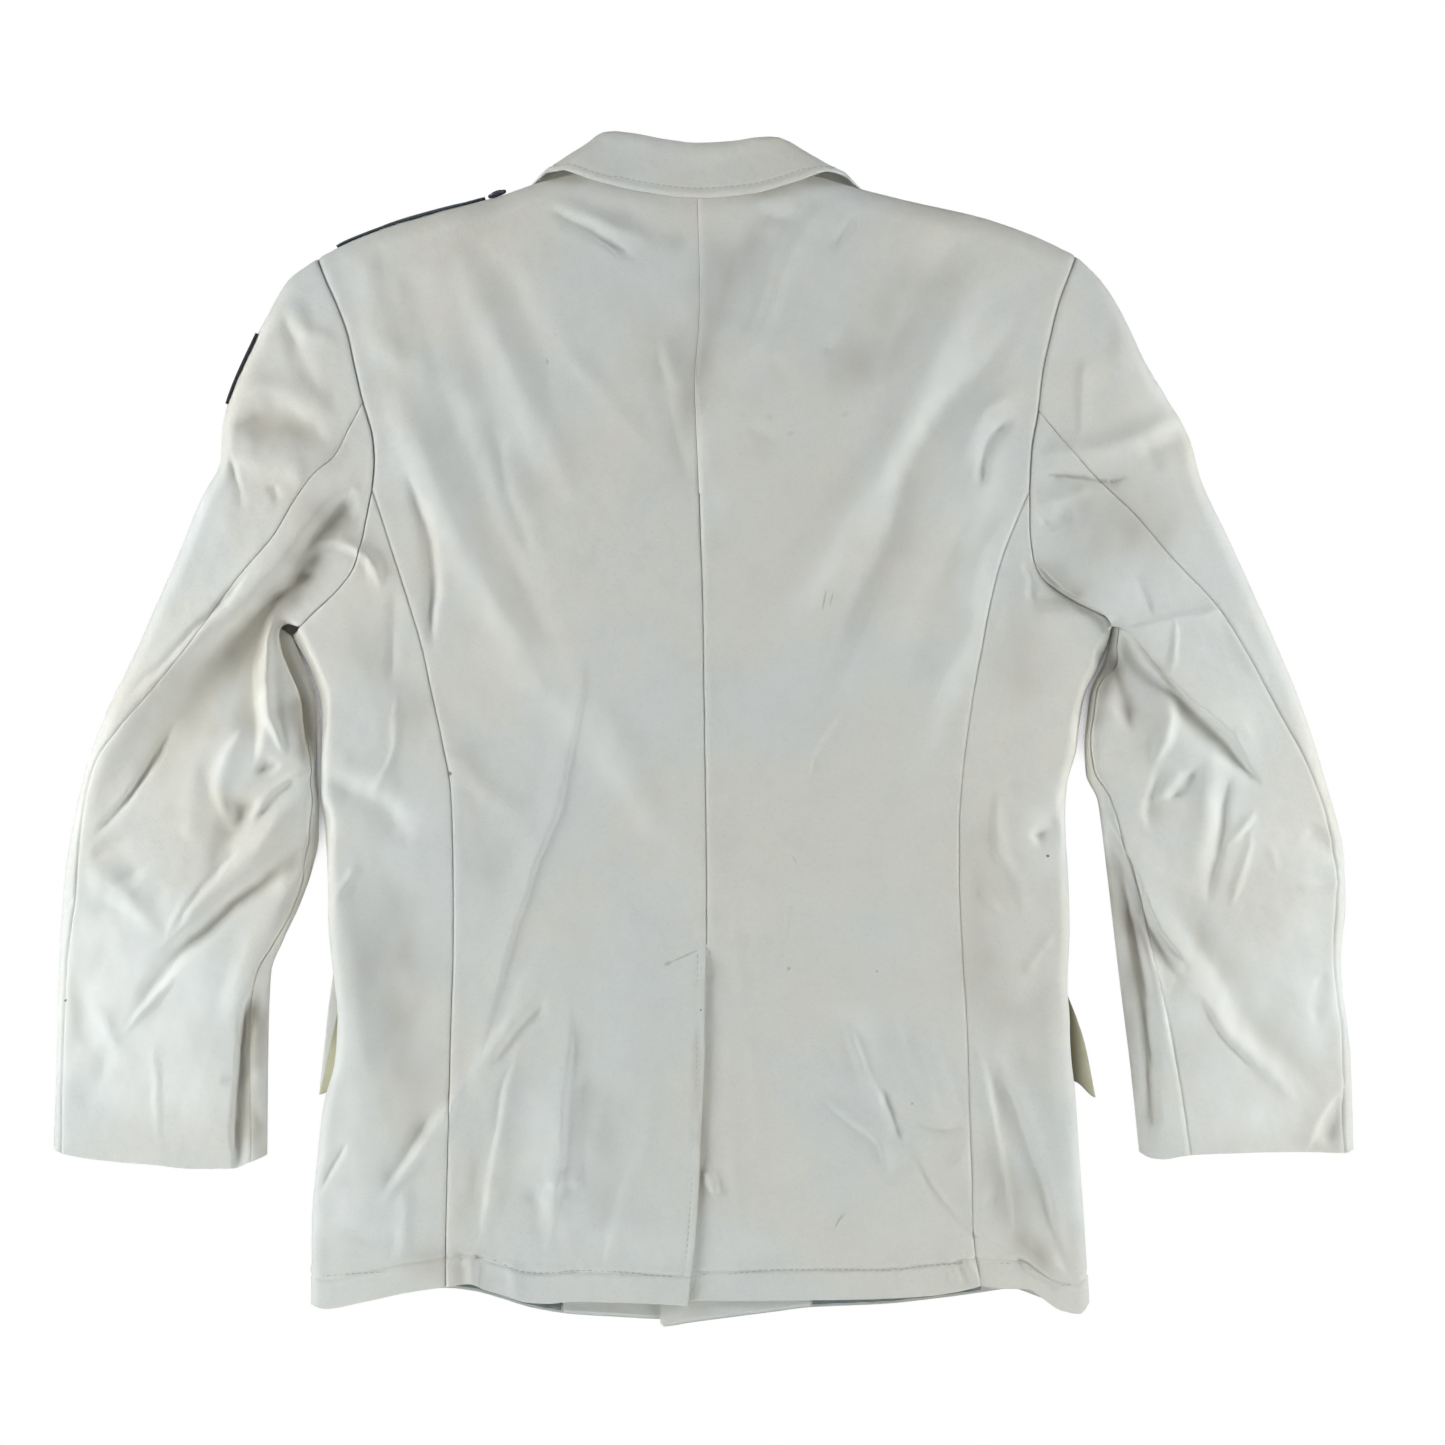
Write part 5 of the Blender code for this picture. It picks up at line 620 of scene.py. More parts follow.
# broad bands of painted light and shade on the cloth: points (x, y), width, strength (+ painted shade, darker; -
# painted light, lighter)
LIGHT_SHADE_BANDS = [
 ([(-223, 239.8), (-159.9, 116.5), (-77.7, -6.9), (-9.2, -95.9)], 13, -0.6),
 ([(-156.5, 294.6), (-125.7, 226.1), (-98.3, 171.2)], 11, -0.4),
 ([(196.3, 315.1), (155.2, 226.1), (86.7, 116.5), (45.6, 48)], 13, -0.6),
 ([(210, 226.1), (186, 116.5), (158.6, 6.9), (138, -34.2)], 11, -0.65),
 ([(-1, 239.8), (5.8, 191.8), (8.6, 130.2)], 12, -0.35),
 ([(-245.6, -20.6), (-207.9, -48), (-180.5, -82.2)], 14, -0.38),
 ([(-112, -150.7), (-163.4, -246.6), (-218.2, -322)], 5, -0.55),
 ([(-115.4, -232.9), (-112, -301.4), (-98.3, -363.1)], 11, -0.55),
 ([(-242.1, -185), (-245.6, -287.7), (-255.8, -383.6)], 14, -0.6),
 ([(233.9, -20.6), (230.5, -61.7), (244.2, -102.8)], 18, -0.4),
 ([(264.8, -212.4), (261.3, -287.7), (254.5, -342.5)], 10, -0.6),
 ([(-36.6, -89.1), (-2.4, -116.5), (38.7, -157.6)], 22, -0.15),
 ([(93.5, -171.2), (114.1, -226.1), (127.8, -274)], 9, -0.35),
 ([(-98.3, -339.1), (-36.6, -349.4), (66.1, -352.8)], 12, -0.25),
 ([(49, 359.6), (14.7, 308.2), (-2.4, 253.5), (-10.6, 178.1)], 13, 0.34),
 ([(-70.9, 359.6), (-36.6, 335.7), (-2.4, 328.8)], 8, 0.22),
 ([(158.6, 335.7), (127.8, 280.9), (86.7, 212.4)], 17, 0.24),
 ([(-187.3, 294.6), (-146.2, 205.5), (-98.3, 116.5)], 13, 0.2),
 ([(-43.5, 294.6), (-16.1, 226.1), (-9.2, 143.9)], 16, 0.14),
 ([(45.6, 274), (86.7, 253.5), (100.4, 212.4)], 18, 0.04),
 ([(-245.6, 89.1), (-218.2, 34.2), (-180.5, -6.9)], 18, 0.24),
 ([(-207.9, -82.2), (-204.5, -185), (-197.6, -308.2)], 20, 0.3),
 ([(-173.6, 20.6), (-153.1, -61.7), (-139.4, -130.2)], 14, 0.14),
 ([(189.4, -48), (186, -137), (210, -226.1)], 15, 0.22),
 ([(192.8, -274), (213.4, -328.8), (237.4, -383.6)], 13, 0.36),
 ([(-70.9, -226.1), (-67.5, -294.6), (-62.7, -359.6)], 12, 0.2),
 ([(-207.9, -356.2), (-180.5, -364.4), (-153.1, -369.9)], 12, 0.3),
 ([(155.2, 198.7), (120.9, 116.5), (100.4, 34.2)], 10, 0.12),
 ([(203.1, 116.5), (216.8, 61.7), (210, 6.9)], 13, 0.2),
 ([(-139.4, 369.9), (-153.1, 342.5), (-187.3, 301.4)], 12, 0.1),
 ([(-399.7, -82.2), (-406.5, -171.2), (-413.4, -274)], 38, -0.85),
 ([(-344.9, -137), (-358.6, -212.4), (-351.7, -287.7)], 30, -0.75),
 ([(-310.6, 294.6), (-296.9, 260.3), (-276.4, 226.1)], 14, -0.35),
 ([(-351.7, 164.4), (-338, 143.9), (-317.5, 137)], 14, -0.55),
 ([(-320.2, 48), (-317.5, -6.9), (-327.8, -48)], 12, -0.8),
 ([(-399.7, 20.6), (-420.2, -48), (-433.9, -102.8)], 10, -0.4),
 ([(-320.9, 206.9), (-283.2, 204.1), (-242.1, 183.6)], 12, 0.34),
 ([(-245.6, 171.2), (-269.5, 116.5), (-317.5, 61.7)], 14, 0.3),
 ([(-334.6, 61.7), (-358.6, 6.9), (-386, -48)], 14, 0.22),
 ([(-304.5, -167.8), (-305.2, -232.9), (-305.2, -294.6)], 6, 0.78),
 ([(305.9, 274), (312.7, 226.1), (299, 191.8)], 20, -0.5),
 ([(237.4, 137), (278.5, 143.9), (333.3, 130.2)], 26, 0.3),
 ([(223.7, 116.5), (244.2, 102.8), (264.8, 89.1)], 7, 0.45),
 ([(333.3, -143.9), (374.4, -219.2), (367.5, -301.4)], 42, -0.75),
 ([(408.6, -48), (415.5, -157.6), (429.2, -239.8)], 20, -0.55),
 ([(333.3, 27.4), (360.7, -48), (367.5, -102.8)], 22, -0.6),
 ([(285.3, -102.8), (290.8, -185), (294.9, -280.9)], 7, 0.3),
 ([(429.2, -253.5), (422.3, -274), (429.2, -294.6)], 9, 0.2),
 ([(-277.8, 27.4), (-270.9, -3.4), (-266.8, -27.4)], 10, 0.7),
 ([(-253.1, 95.9), (-281.9, 89.1), (-298.3, 58.2), (-302.4, 17.1)], 8, 0.34),
 ([(-227.1, 158.9), (-249, 137), (-276.4, 104.1)], 8, 0.36),
 ([(-334.6, -10.3), (-327.1, -48), (-333.9, -82.2)], 9, 0.2),
 ([(-262.7, -89.1), (-276.4, -116.5), (-293.5, -137)], 9, 0.3),
 ([(283.9, 61.7), (271.6, 27.4), (260.6, 0)], 11, 0.65),
 ([(290.8, 61.7), (329.1, 19.2), (382.6, -42.5)], 3.2, 0.34),
 ([(274.3, -72.6), (288, -116.5), (307.2, -161.7)], 7, 0.45),
 ([(305.9, -157.6), (360.7, -219.2), (401.8, -260.3)], 5, 0.16),
 ([(-2.4, -178.1), (-0.3, -267.2), (-9.2, -383.6)], 3.5, 0.22),
]

CAM_X, CAM_Y, CAM_LENS = 0.0130, 0.0051, 94.55
CREASE_GAIN = 1.2


# ---- creases: the cloth's own folds, in plan -----------------------------
def wobble(xy, size, seed):
    """Smooth uneven noise, about -1 to 1."""
    x, y = xy[..., 0] / size, xy[..., 1] / size
    out = 0.0
    for n in range(5):
        a = 2.399 * (n + seed)
        out = out + np.sin(x * np.cos(a) * (1.3 + 0.37 * n) * 2 + y * np.sin(a) * (1.1 + 0.29 * n) * 2 + 1.7 * n * seed)
    return out / 2.6


def crease(q, row):
    """One soft trough or ridge at the points q: height and sideways lean."""
    _, pts, wide_l, wide_r, high, lean = row
    high = high * CREASE_GAIN
    path = Curve(pts, 22)
    a, b = path.p[:-1], path.p[1:]
    ab = b - a
    ll = (ab ** 2).sum(1)
    far = 2.6 * max(wide_l, wide_r)
    lo, hi = path.p.min(0) - far, path.p.max(0) + far
    pick = np.flatnonzero(((q > lo) & (q < hi)).all(1))
    out = np.zeros(len(q))
    side = np.zeros((len(q), 2))
    for c in range(0, len(pick), 20000):
        i = pick[c:c + 20000]
        p = q[i]
        t = np.clip(((p[:, None] - a) * ab).sum(2) / ll, 0, 1)
        near = a + t[..., None] * ab
        d = np.linalg.norm(p[:, None] - near, axis=2)
        j = d.argmin(1)
        k = np.arange(len(p))
        d, t, near = d[k, j], t[k, j], near[k, j]
        share = path.t[j] + t * (path.t[j + 1] - path.t[j])
        off = p - near
        left = ab[j, 0] * off[:, 1] - ab[j, 1] * off[:, 0] > 0
        ends = smooth(share / 0.26) * smooth((1 - share) / 0.26)
        wide = np.where(left, wide_l, wide_r) * (0.55 + 0.45 * ends) * (1 + 0.16 * np.sin(9 * share + pts[0][0]))
        f = high * ends ** 0.8 * (1 + 0.15 * np.sin(7 * share + pts[0][1])) * np.exp(-(d / wide) ** 2)
        out[i] = f
        if lean:
            n = np.stack([ab[j, 1], -ab[j, 0]], 1) / np.sqrt(ll[j])[:, None]      # to the right of the path
            side[i] = n * (f / high * lean * np.exp(-(d / 9.0) ** 2))[:, None]
    return out, side


def relief(xy):
    """How far the creases push the upper surface out, and sideways, at each point of the plan."""
    p = xy.reshape(-1, 2)
    bent = p + np.stack([wobble(p, 34, 1), wobble(p, 34, 4)], 1) * 1.3 + np.stack([wobble(p, 9, 2), wobble(p, 9, 5)], 1) * 0.35
    out = np.zeros(len(p))
    side = np.zeros((len(p), 2))
    for row in CREASES:
        f, s = crease(bent, row)
        out += f
        side += s
    out += 0.32 * wobble(p, 26, 3) + 0.16 * wobble(p, 9, 6) + 0.05 * wobble(p, 3.4, 7)
    return out.reshape(xy.shape[:-1]), side.reshape(xy.shape)


def light_shade_bands_at(xy):
    """How much painted shade (+, darker) or painted light (-, lighter) lies on the cloth at each point of the plan."""
    p = xy.reshape(-1, 2)
    bent = p + np.stack([wobble(p, 40, 3), wobble(p, 40, 6)], 1) * 3.5 + np.stack([wobble(p, 12, 4), wobble(p, 12, 8)], 1) * 1.2
    out = np.zeros(len(p))
    for pts, wide, strong in LIGHT_SHADE_BANDS:
        out += crease(bent, ("tone", pts, wide, wide, strong / CREASE_GAIN, 0))[0]
    return out * (1 + 0.25 * wobble(p, 18, 5))


# ---- shells --------------------------------------------------------------
PIECES = {}
DEPTH = [None]    # the height of the creases last laid


def spread(length, step, fine=(0.0, 0.45, 1.1, 2.1, 3.4)):
    """Shares of a length, closer together at both ends."""
    f = np.array(fine)
    mid = np.linspace(f[-1], length - f[-1], max(int((length - 2 * f[-1]) / step), 2) + 1)[1:-1]
    return np.r_[f, mid, (length - f)[::-1]] / length


def along(P, axis):
    d = np.linalg.norm(np.diff(P, axis=axis), axis=-1)
    z = np.zeros_like(np.take(d, [0], axis=axis))
    return np.concatenate([z, np.cumsum(d, axis=axis)], axis=axis)


def seamed(P, N, sides, deep=0.85, wide=1.4):
    """Lets the edges named (u0, u1, v0, v1) sink into their seam, with the seam allowance's soft ridge beside it."""
    a, b = along(P, 0), along(P, 1)
    gap = {"u0": a, "u1": a[-1:] - a, "v0": b, "v1": b[:, -1:] - b}
    out = np.zeros(P.shape[:2])
    for key in sides:
        d = gap[key]
        out += -deep * np.exp(-(d / wide) ** 2)
        if sides[key]:
            pucker = 0.5 + 0.5 * wobble(P[..., :2], 5.5, 8)
            out += sides[key] * np.exp(-((d - 5.0) / 3.6) ** 2) * (0.65 + 0.35 * pucker)
    return P + N * out[..., None]


def tuck(P, draw, mask=None):
    """Draws the open edges back, so that pieces stay apart at the seams."""
    Q = P.copy()
    for axis in (0, 1):
        for end, beside in ((0, 1), (-1, -2)):
            e, n = np.take(P, end, axis=axis), np.take(P, beside, axis=axis)
            way = n - e
            way = way / np.maximum(np.linalg.norm(way, axis=-1, keepdims=True), 1e-6)
            idx = [slice(None)] * 3
            idx[axis] = end
            Q[tuple(idx)] = Q[tuple(idx)] + way * draw
    return Q


def shell(name, P, N, thick, material, mask=None, draw=DRAW, inner=None, deep=None, inked=None):
    """A closed thin shell from a grid: outer face, inner face and the rim round its open edges."""
    P = np.array(P, float)
    N = np.asarray(N, float)
    ni, nj = P.shape[:2]
    cell = np.ones((ni - 1, nj - 1), bool) if mask is None else mask
    if draw and mask is None:
        P = tuck(P, draw)
    I = P - N * thick if inner is None else inner
    turn = np.cross(P[1:, :-1] - P[:-1, :-1], P[:-1, 1:] - P[:-1, :-1])
    sign = 1 if (turn * N[:-1, :-1]).sum(-1)[cell].sum() > 0 else -1
    vid = np.arange(ni * nj).reshape(ni, nj)
    a, b, c, d = vid[:-1, :-1], vid[1:, :-1], vid[1:, 1:], vid[:-1, 1:]
    outer = np.stack([a, b, c, d], -1)[cell]
    under = outer[:, ::-1] + ni * nj
    pad = np.zeros((ni + 1, nj + 1), bool)
    pad[1:-1, 1:-1] = cell
    rim = []
    for di, dj, e in ((-1, 0, (d, a)), (1, 0, (b, c)), (0, -1, (a, b)), (0, 1, (c, d))):
        beside = pad[1 + di:ni + di, 1 + dj:nj + dj]
        edge = cell & ~beside
        s, t = e[0][edge], e[1][edge]
        rim.append(np.stack([t, s, s + ni * nj, t + ni * nj], -1))
    faces = np.concatenate([outer, under] + rim)
    if sign < 0:
        faces = faces[:, ::-1]
    verts = np.concatenate([P.reshape(-1, 3), I.reshape(-1, 3)])
    used = np.zeros(len(verts), bool)
    used[faces.ravel()] = True
    new = np.cumsum(used) - 1
    ob = mesh_of(name, verts[used], new[faces], material)
    if inked:
        a, b = along(P, 0), along(P, 1)
        gap = {"u0": a, "u1": a[-1:] - a, "v0": b, "v1": b[:, -1:] - b}
        line = sum(strong * np.clip(1 - gap[key] / 1.0, 0, 1) for key, strong in inked.items())
        line = np.r_[line.ravel(), np.zeros(ni * nj)][used]
        ob.data.attributes.new("seam_line", "FLOAT", "POINT").data.foreach_set("value", line.astype(np.float32))
    if deep is not None:
        # painted light and shade: broad darker and lighter bands across the cloth, kept on the points
        painted_bands = np.r_[light_shade_bands_at(P[..., :2]).ravel(), np.zeros(ni * nj)][used]
        ob.data.attributes.new("tone", "FLOAT", "POINT").data.foreach_set("value", painted_bands.astype(np.float32))
        # painted shade: the deeper a crease trough, the darker and browner its cloth
        trough_shade = np.r_[np.clip(-deep / 6.0, 0, 1).ravel(), np.zeros(ni * nj)][used]
        ob.data.attributes.new("hollow", "FLOAT", "POINT").data.foreach_set("value", trough_shade.astype(np.float32))
    return ob


def mesh_of(name, verts, faces, material, flat=False):
    me = bpy.data.meshes.new(name)
    faces = np.asarray(faces)
    verts = np.array(verts, float)
    verts[:, 2] = np.maximum(verts[:, 2], 0.0)      # nothing reaches into the floor
    me.vertices.add(len(verts))
    me.vertices.foreach_set("co", (np.asarray(verts) * MM).astype(np.float32).ravel())
    me.loops.add(faces.size)
    me.loops.foreach_set("vertex_index", faces.astype(np.int32).ravel())
    me.polygons.add(len(faces))
    me.polygons.foreach_set("loop_start", (np.arange(len(faces)) * faces.shape[1]).astype(np.int32))
    me.polygons.foreach_set("use_smooth", np.full(len(faces), not flat))
    me.update(calc_edges=True)
    me.validate()
    ob = bpy.data.objects.new(name, me)
    bpy.context.scene.collection.objects.link(ob)
    me.materials.append(material)
    PIECES[name] = ob
    return ob


def pressed(xy):
    """1 in the middle of the cloth, 0 at a fold's outermost line."""
    k, _, _ = fold_field(xy)
    return smooth(np.sqrt(np.clip(1 - k * k, 0, 1)) / 0.75)


def draped(P, N, xy, gain=1.0):
    """Adds the creases to points of the upper surface."""
    f, s = relief(xy)
    w = pressed(xy)
    f = f * w * gain
    DEPTH[0] = f
    Q = P + N * f[..., None]
    Q[..., :2] += s * (w * gain)[..., None]
    return Q


def hollowed(P, N, xy, gain=0.3):
    """Similar folds on the hidden side, pushed in only, because it lies on the floor."""
    f, _ = relief(xy * [-1.0, 1.0] + [12.0, -9.0])
    h = np.clip(-f, 0, 3.0) * pressed(xy) * gain
    return P - N * h[..., None]


# ---- panels --------------------------------------------------------------
STEP = 2.3
HIDDEN = 7.0


def cut_rows(shares, *exact):
    """Adds exact stations to a run of shares, and drops those too near them."""
    s = np.asarray(shares)
    for e in exact:
        s = s[np.abs(s - e) > 0.0012]
    return np.sort(np.r_[s, exact])


def near_hem(length, at=20.4):
    """Close rows at the hem's stitch line."""
    return np.array([at - 2.4, at - 1.2, at - 0.4, at + 0.4, at + 1.2, at + 2.4]) / length


def hem_groove(P, N, at=20.4):
    """The hem's stitched line and the turned-up cloth beneath it."""
    d = along(P, 1)
    line = -0.75 * np.exp(-((d - at) / 1.1) ** 2) + 0.30 * smooth((at - d) / 3.0) + 0.35 * np.exp(-((d - at - 3.2) / 2.2) ** 2)
    puck = 0.28 * wobble(P[..., :2], 7.0, 9) * np.exp(-((d - at) / 7.0) ** 2)
    return P + N * (line + puck)[..., None]


def back_panel(side):
    seam, arm, hem, neck, sh = (C[k + side] for k in ("seam_", "arm_", "hem_back_", "neck_", "shoulder_"))
    outer = Joined(seam, arm, 0.77)
    centre = Joined(C["vent"], C["centre"], 0.318)
    us = spread(225.0, STEP)
    vs = cut_rows(np.r_[spread(765.0, STEP), near_hem(765.0)], 0.77, 0.318)
    if side == "l":
        low, top, left, right = hem, Joined(sh.back(), neck.back(), 0.72), outer, centre
    else:
        low, top, left, right = hem, Joined(neck, sh, 0.28), centre, outer
    u, v = np.meshgrid(us, vs, indexing="ij")
    xy = coons(left, right, low, top, u, v)
    mask = None
    vent_row = int(np.argmin(np.abs(vs - 0.318)))
    if side == "r":
        n = 14
        ext = np.linspace(-1, 0, n + 1)[:-1]
        xy = np.concatenate([np.stack([xy[0] + [e * VENT_LAP, 0.0] for e in ext]), xy], 0)
        mask = np.ones((xy.shape[0] - 1, xy.shape[1] - 1), bool)
        mask[:n, vent_row:] = False
    P, N = skin(xy, True, side, rise=lambda q: vent_rise(q, side))
    P = draped(P, N, xy)
    deep = DEPTH[0] * 0.3
    P = hem_groove(P, N)
    inner_key, outer_key = ("u1", "u0") if side == "l" else ("u0", "u1")
    P = seamed(P, N, {outer_key: 0.30, "v1": 0.0})
    # the centre back seam, above the vent, and the vent's own edge below it
    d = along(P, 0)
    k = 0 if side == "l" else 14
    d = np.abs(d[-1:] - d) if side == "l" else np.abs(d - d[k:k + 1])
    above = smooth((vs - 0.312) / 0.01)[None, :]
    dent = -1.0 * np.exp(-(d / 1.3) ** 2) * above
    if side == "r":
        dent = dent + 0.45 * np.exp(-((d - 4.5) / 3.2) ** 2) * above
    else:
        dent = dent + (1 - above) * (0.9 * np.exp(-(d / 7.0) ** 2) - 0.5 * np.exp(-((d - 6.2) / 0.9) ** 2))
    P = P + N * dent[..., None]
    if side == "r":
        idx = np.arange(P.shape[0])[:, None] >= k
        edge = P[k, vent_row:]
        P[:k, vent_row:] = edge                      # not in any face
        P = P + 0.0 * idx[..., None]
    return shell("cloth_back_left" if side == "l" else "cloth_back_right", P, N, WALL, IVORY, mask, deep=deep,
                 inked={outer_key: np.where(vs > 0.77, 0.85, 0.12)[None, :], **({inner_key: 0.35} if side == "l" else {})})


def side_panel(side):
    s = -1 if side == "l" else 1
    seam, under, edge = C["seam_" + side], C["under_" + side], C["body_" + side].back()
    arm, farm = C["arm_low_" + side].back(), C["front_arm_low_" + side].back()
    hem = C["hem_side_" + side]
    hem = hem if side == "l" else hem.back()
    flat_hem = Curve([hem.at(0.0), (s * 250, -393), UNDER_SEAM_L[0] if side == "l" else UNDER_SEAM_R[0]])
    vs = np.sort(np.r_[spread(560.0, STEP), near_hem(560.0)])
    top, low = [], []
    for curve_in, head, foot, rows, step in ((seam, arm, hem, top, STEP), (under, farm, flat_hem, low, 4.5)):
        count = int(95 / step)
        g = np.r_[np.linspace(0, 1, count + 1)[:-3] ** 1.35, 1 - np.array([3.4, 2.1, 1.1, 0.45, 0]) / 90.0]
        g = np.unique(g)
        for vv in vs:
            rows.append(coons(edge, curve_in, foot, head, g, np.full(len(g), vv)))
    top, low = (np.array(r).transpose(1, 0, 2) for r in (top, low))
    Pt, Nt = skin(top, True, side)
    Pl, Nl = skin(low, False, side)
    Pt = draped(Pt, Nt, top)
    deep = np.concatenate([DEPTH[0][::-1] * 0.4, np.zeros((len(low) - 1, low.shape[1]))])
    Pt = hem_groove(Pt, Nt)
    Pl = hollowed(Pl, Nl, low)
    P = np.concatenate([Pt[::-1], Pl[1:]], 0)
    N = np.concatenate([Nt[::-1], Nl[1:]], 0)
    P = seamed(P, N, {"u0": 0.0, "u1": 0.0, "v1": 0.30})
    return shell("cloth_side_left" if side == "l" else "cloth_side_right", P, N, WALL, IVORY, deep=deep, inked={"u0": 0.08, "v1": 0.5})


def front_panel(side):
    under, arm, hem, sh, edge = (C[k + side] for k in ("under_", "front_arm_", "hem_front_", "shoulder_", "edge_"))
    outer = Joined(under, arm, 0.70)
    us, vs = spread(225.0, HIDDEN), cut_rows(spread(780.0, HIDDEN), 0.70)
    u, v = np.meshgrid(us, vs, indexing="ij")
    if side == "l":
        xy = coons(outer, edge, hem, sh.back(), u, v)
    else:
        xy = coons(edge, outer, hem, sh, u, v)
    P, N = skin(xy, False, side)
    gate = smooth((xy[..., 1] + 350.0) / 40.0)[..., None]
    P = P * (1 - gate) + hollowed(P, N, xy) * gate
    P = seamed(P, N, {("u0" if side == "l" else "u1"): 0.0}, 0.5)
    return shell("cloth_front_left" if side == "l" else "cloth_front_right", P, N, WALL, IVORY)


def spliced(*curves):
    c = Curve.__new__(Curve)
    c.p = np.vstack([k.p[(1 if n else 0):] for n, k in enumerate(curves)])
    c.t = np.r_[0.0, np.cumsum(np.linalg.norm(np.diff(c.p, axis=0), axis=1))]
    c.length = c.t[-1]
    c.t = c.t / c.length
    return c


ARM_TURN = 0.25       # share of the rows whose inner end is on the armhole, above the armpit
CAP = 0.36            # share of the outer edge that faces them


def sleeve_maps(side):
    """Maps of the sleeve's upper and lower face; u from the outer edge to the inner one, v to the cuff."""
    out, inn, cuff = C["out_" + side], C["in_" + side], C["cuff_" + side]
    low = C["arm_low_" + side]
    k = low.share_at(C["front_arm_low_" + side].p[0, 1])
    upper = spliced(C["arm_" + side].back(), low.cut(0, k))
    lower = C["front_arm_" + side].back()
    out = Joined(out.cut(0, CAP), out.cut(CAP, 1), ARM_TURN)
    inner_up = Joined(low.cut(k, 1), inn, ARM_TURN)
    inner_low = Joined(C["front_arm_low_" + side], inn, ARM_TURN)
    return [lambda u, v, a=a, b=b: coons(out, a, b, cuff, u, v, 0.3)
            for a, b in ((inner_up, upper), (inner_low, lower))]


def hind_share(side, up, v):
    """Where the hindarm seam crosses the row v, as a share from the outer edge."""
    us = np.linspace(0, 1, 400)
    p = up(us, np.full(400, v))
    h = C["hind_" + side].p
    if v < 0.004:
        return float(us[np.argmin(np.hypot(p[:, 0] - h[0, 0], p[:, 1] - h[0, 1]))])
    hx = np.interp(-p[:, 1], -h[:, 1], h[:, 0])
    gap = (p[:, 0] - hx) * (1 if side == "l" else -1)
    i = int(np.argmax(gap > 0))
    if i == 0:
        return 0.0
    t = gap[i - 1] / (gap[i - 1] - gap[i])
    return float(us[i - 1] + t * (us[i] - us[i - 1]))


def per_share(up, v, at_outer):
    """Distance from the fold for each unit across."""
    e = 1e-3
    a, b = (0.0, e) if at_outer else (1.0, 1.0 - e)
    p = up(np.array([a, b]), np.array([v, v]))
    q = up(np.array([a, a]), np.array([max(v - 0.01, 0), min(v + 0.01, 1)]))
    row, run = p[1] - p[0], q[1] - q[0]
    return max(abs(row[0] * run[1] - row[1] * run[0]) / np.hypot(*run) / e, 1e-6)


def sleeve_low(xy, side):
    """The sleeve's lower face: flat on the ground, rounded at the folds."""
    k, way, reach = fold_field(xy)
    w = np.sqrt(np.clip(1 - k * k, 0, 1))
    mid = FOLD_MID * plateau(xy)
    up = np.zeros(xy.shape[:-1])
    if side == "l":
        up = (PATCH + 2 * REST) * (1 - smooth((inside_dist(xy, PATCH_AREA) - LIFT_MARGIN) / LIFT_RUN))
    z = mid + (up - mid) * w
    slope = k * (mid - up) / reach
    n = np.stack([-way[..., 0] * slope, -way[..., 1] * slope, -w], -1)
    n /= np.linalg.norm(n, axis=-1, keepdims=True)
    return np.concatenate([xy, z[..., None]], -1), n


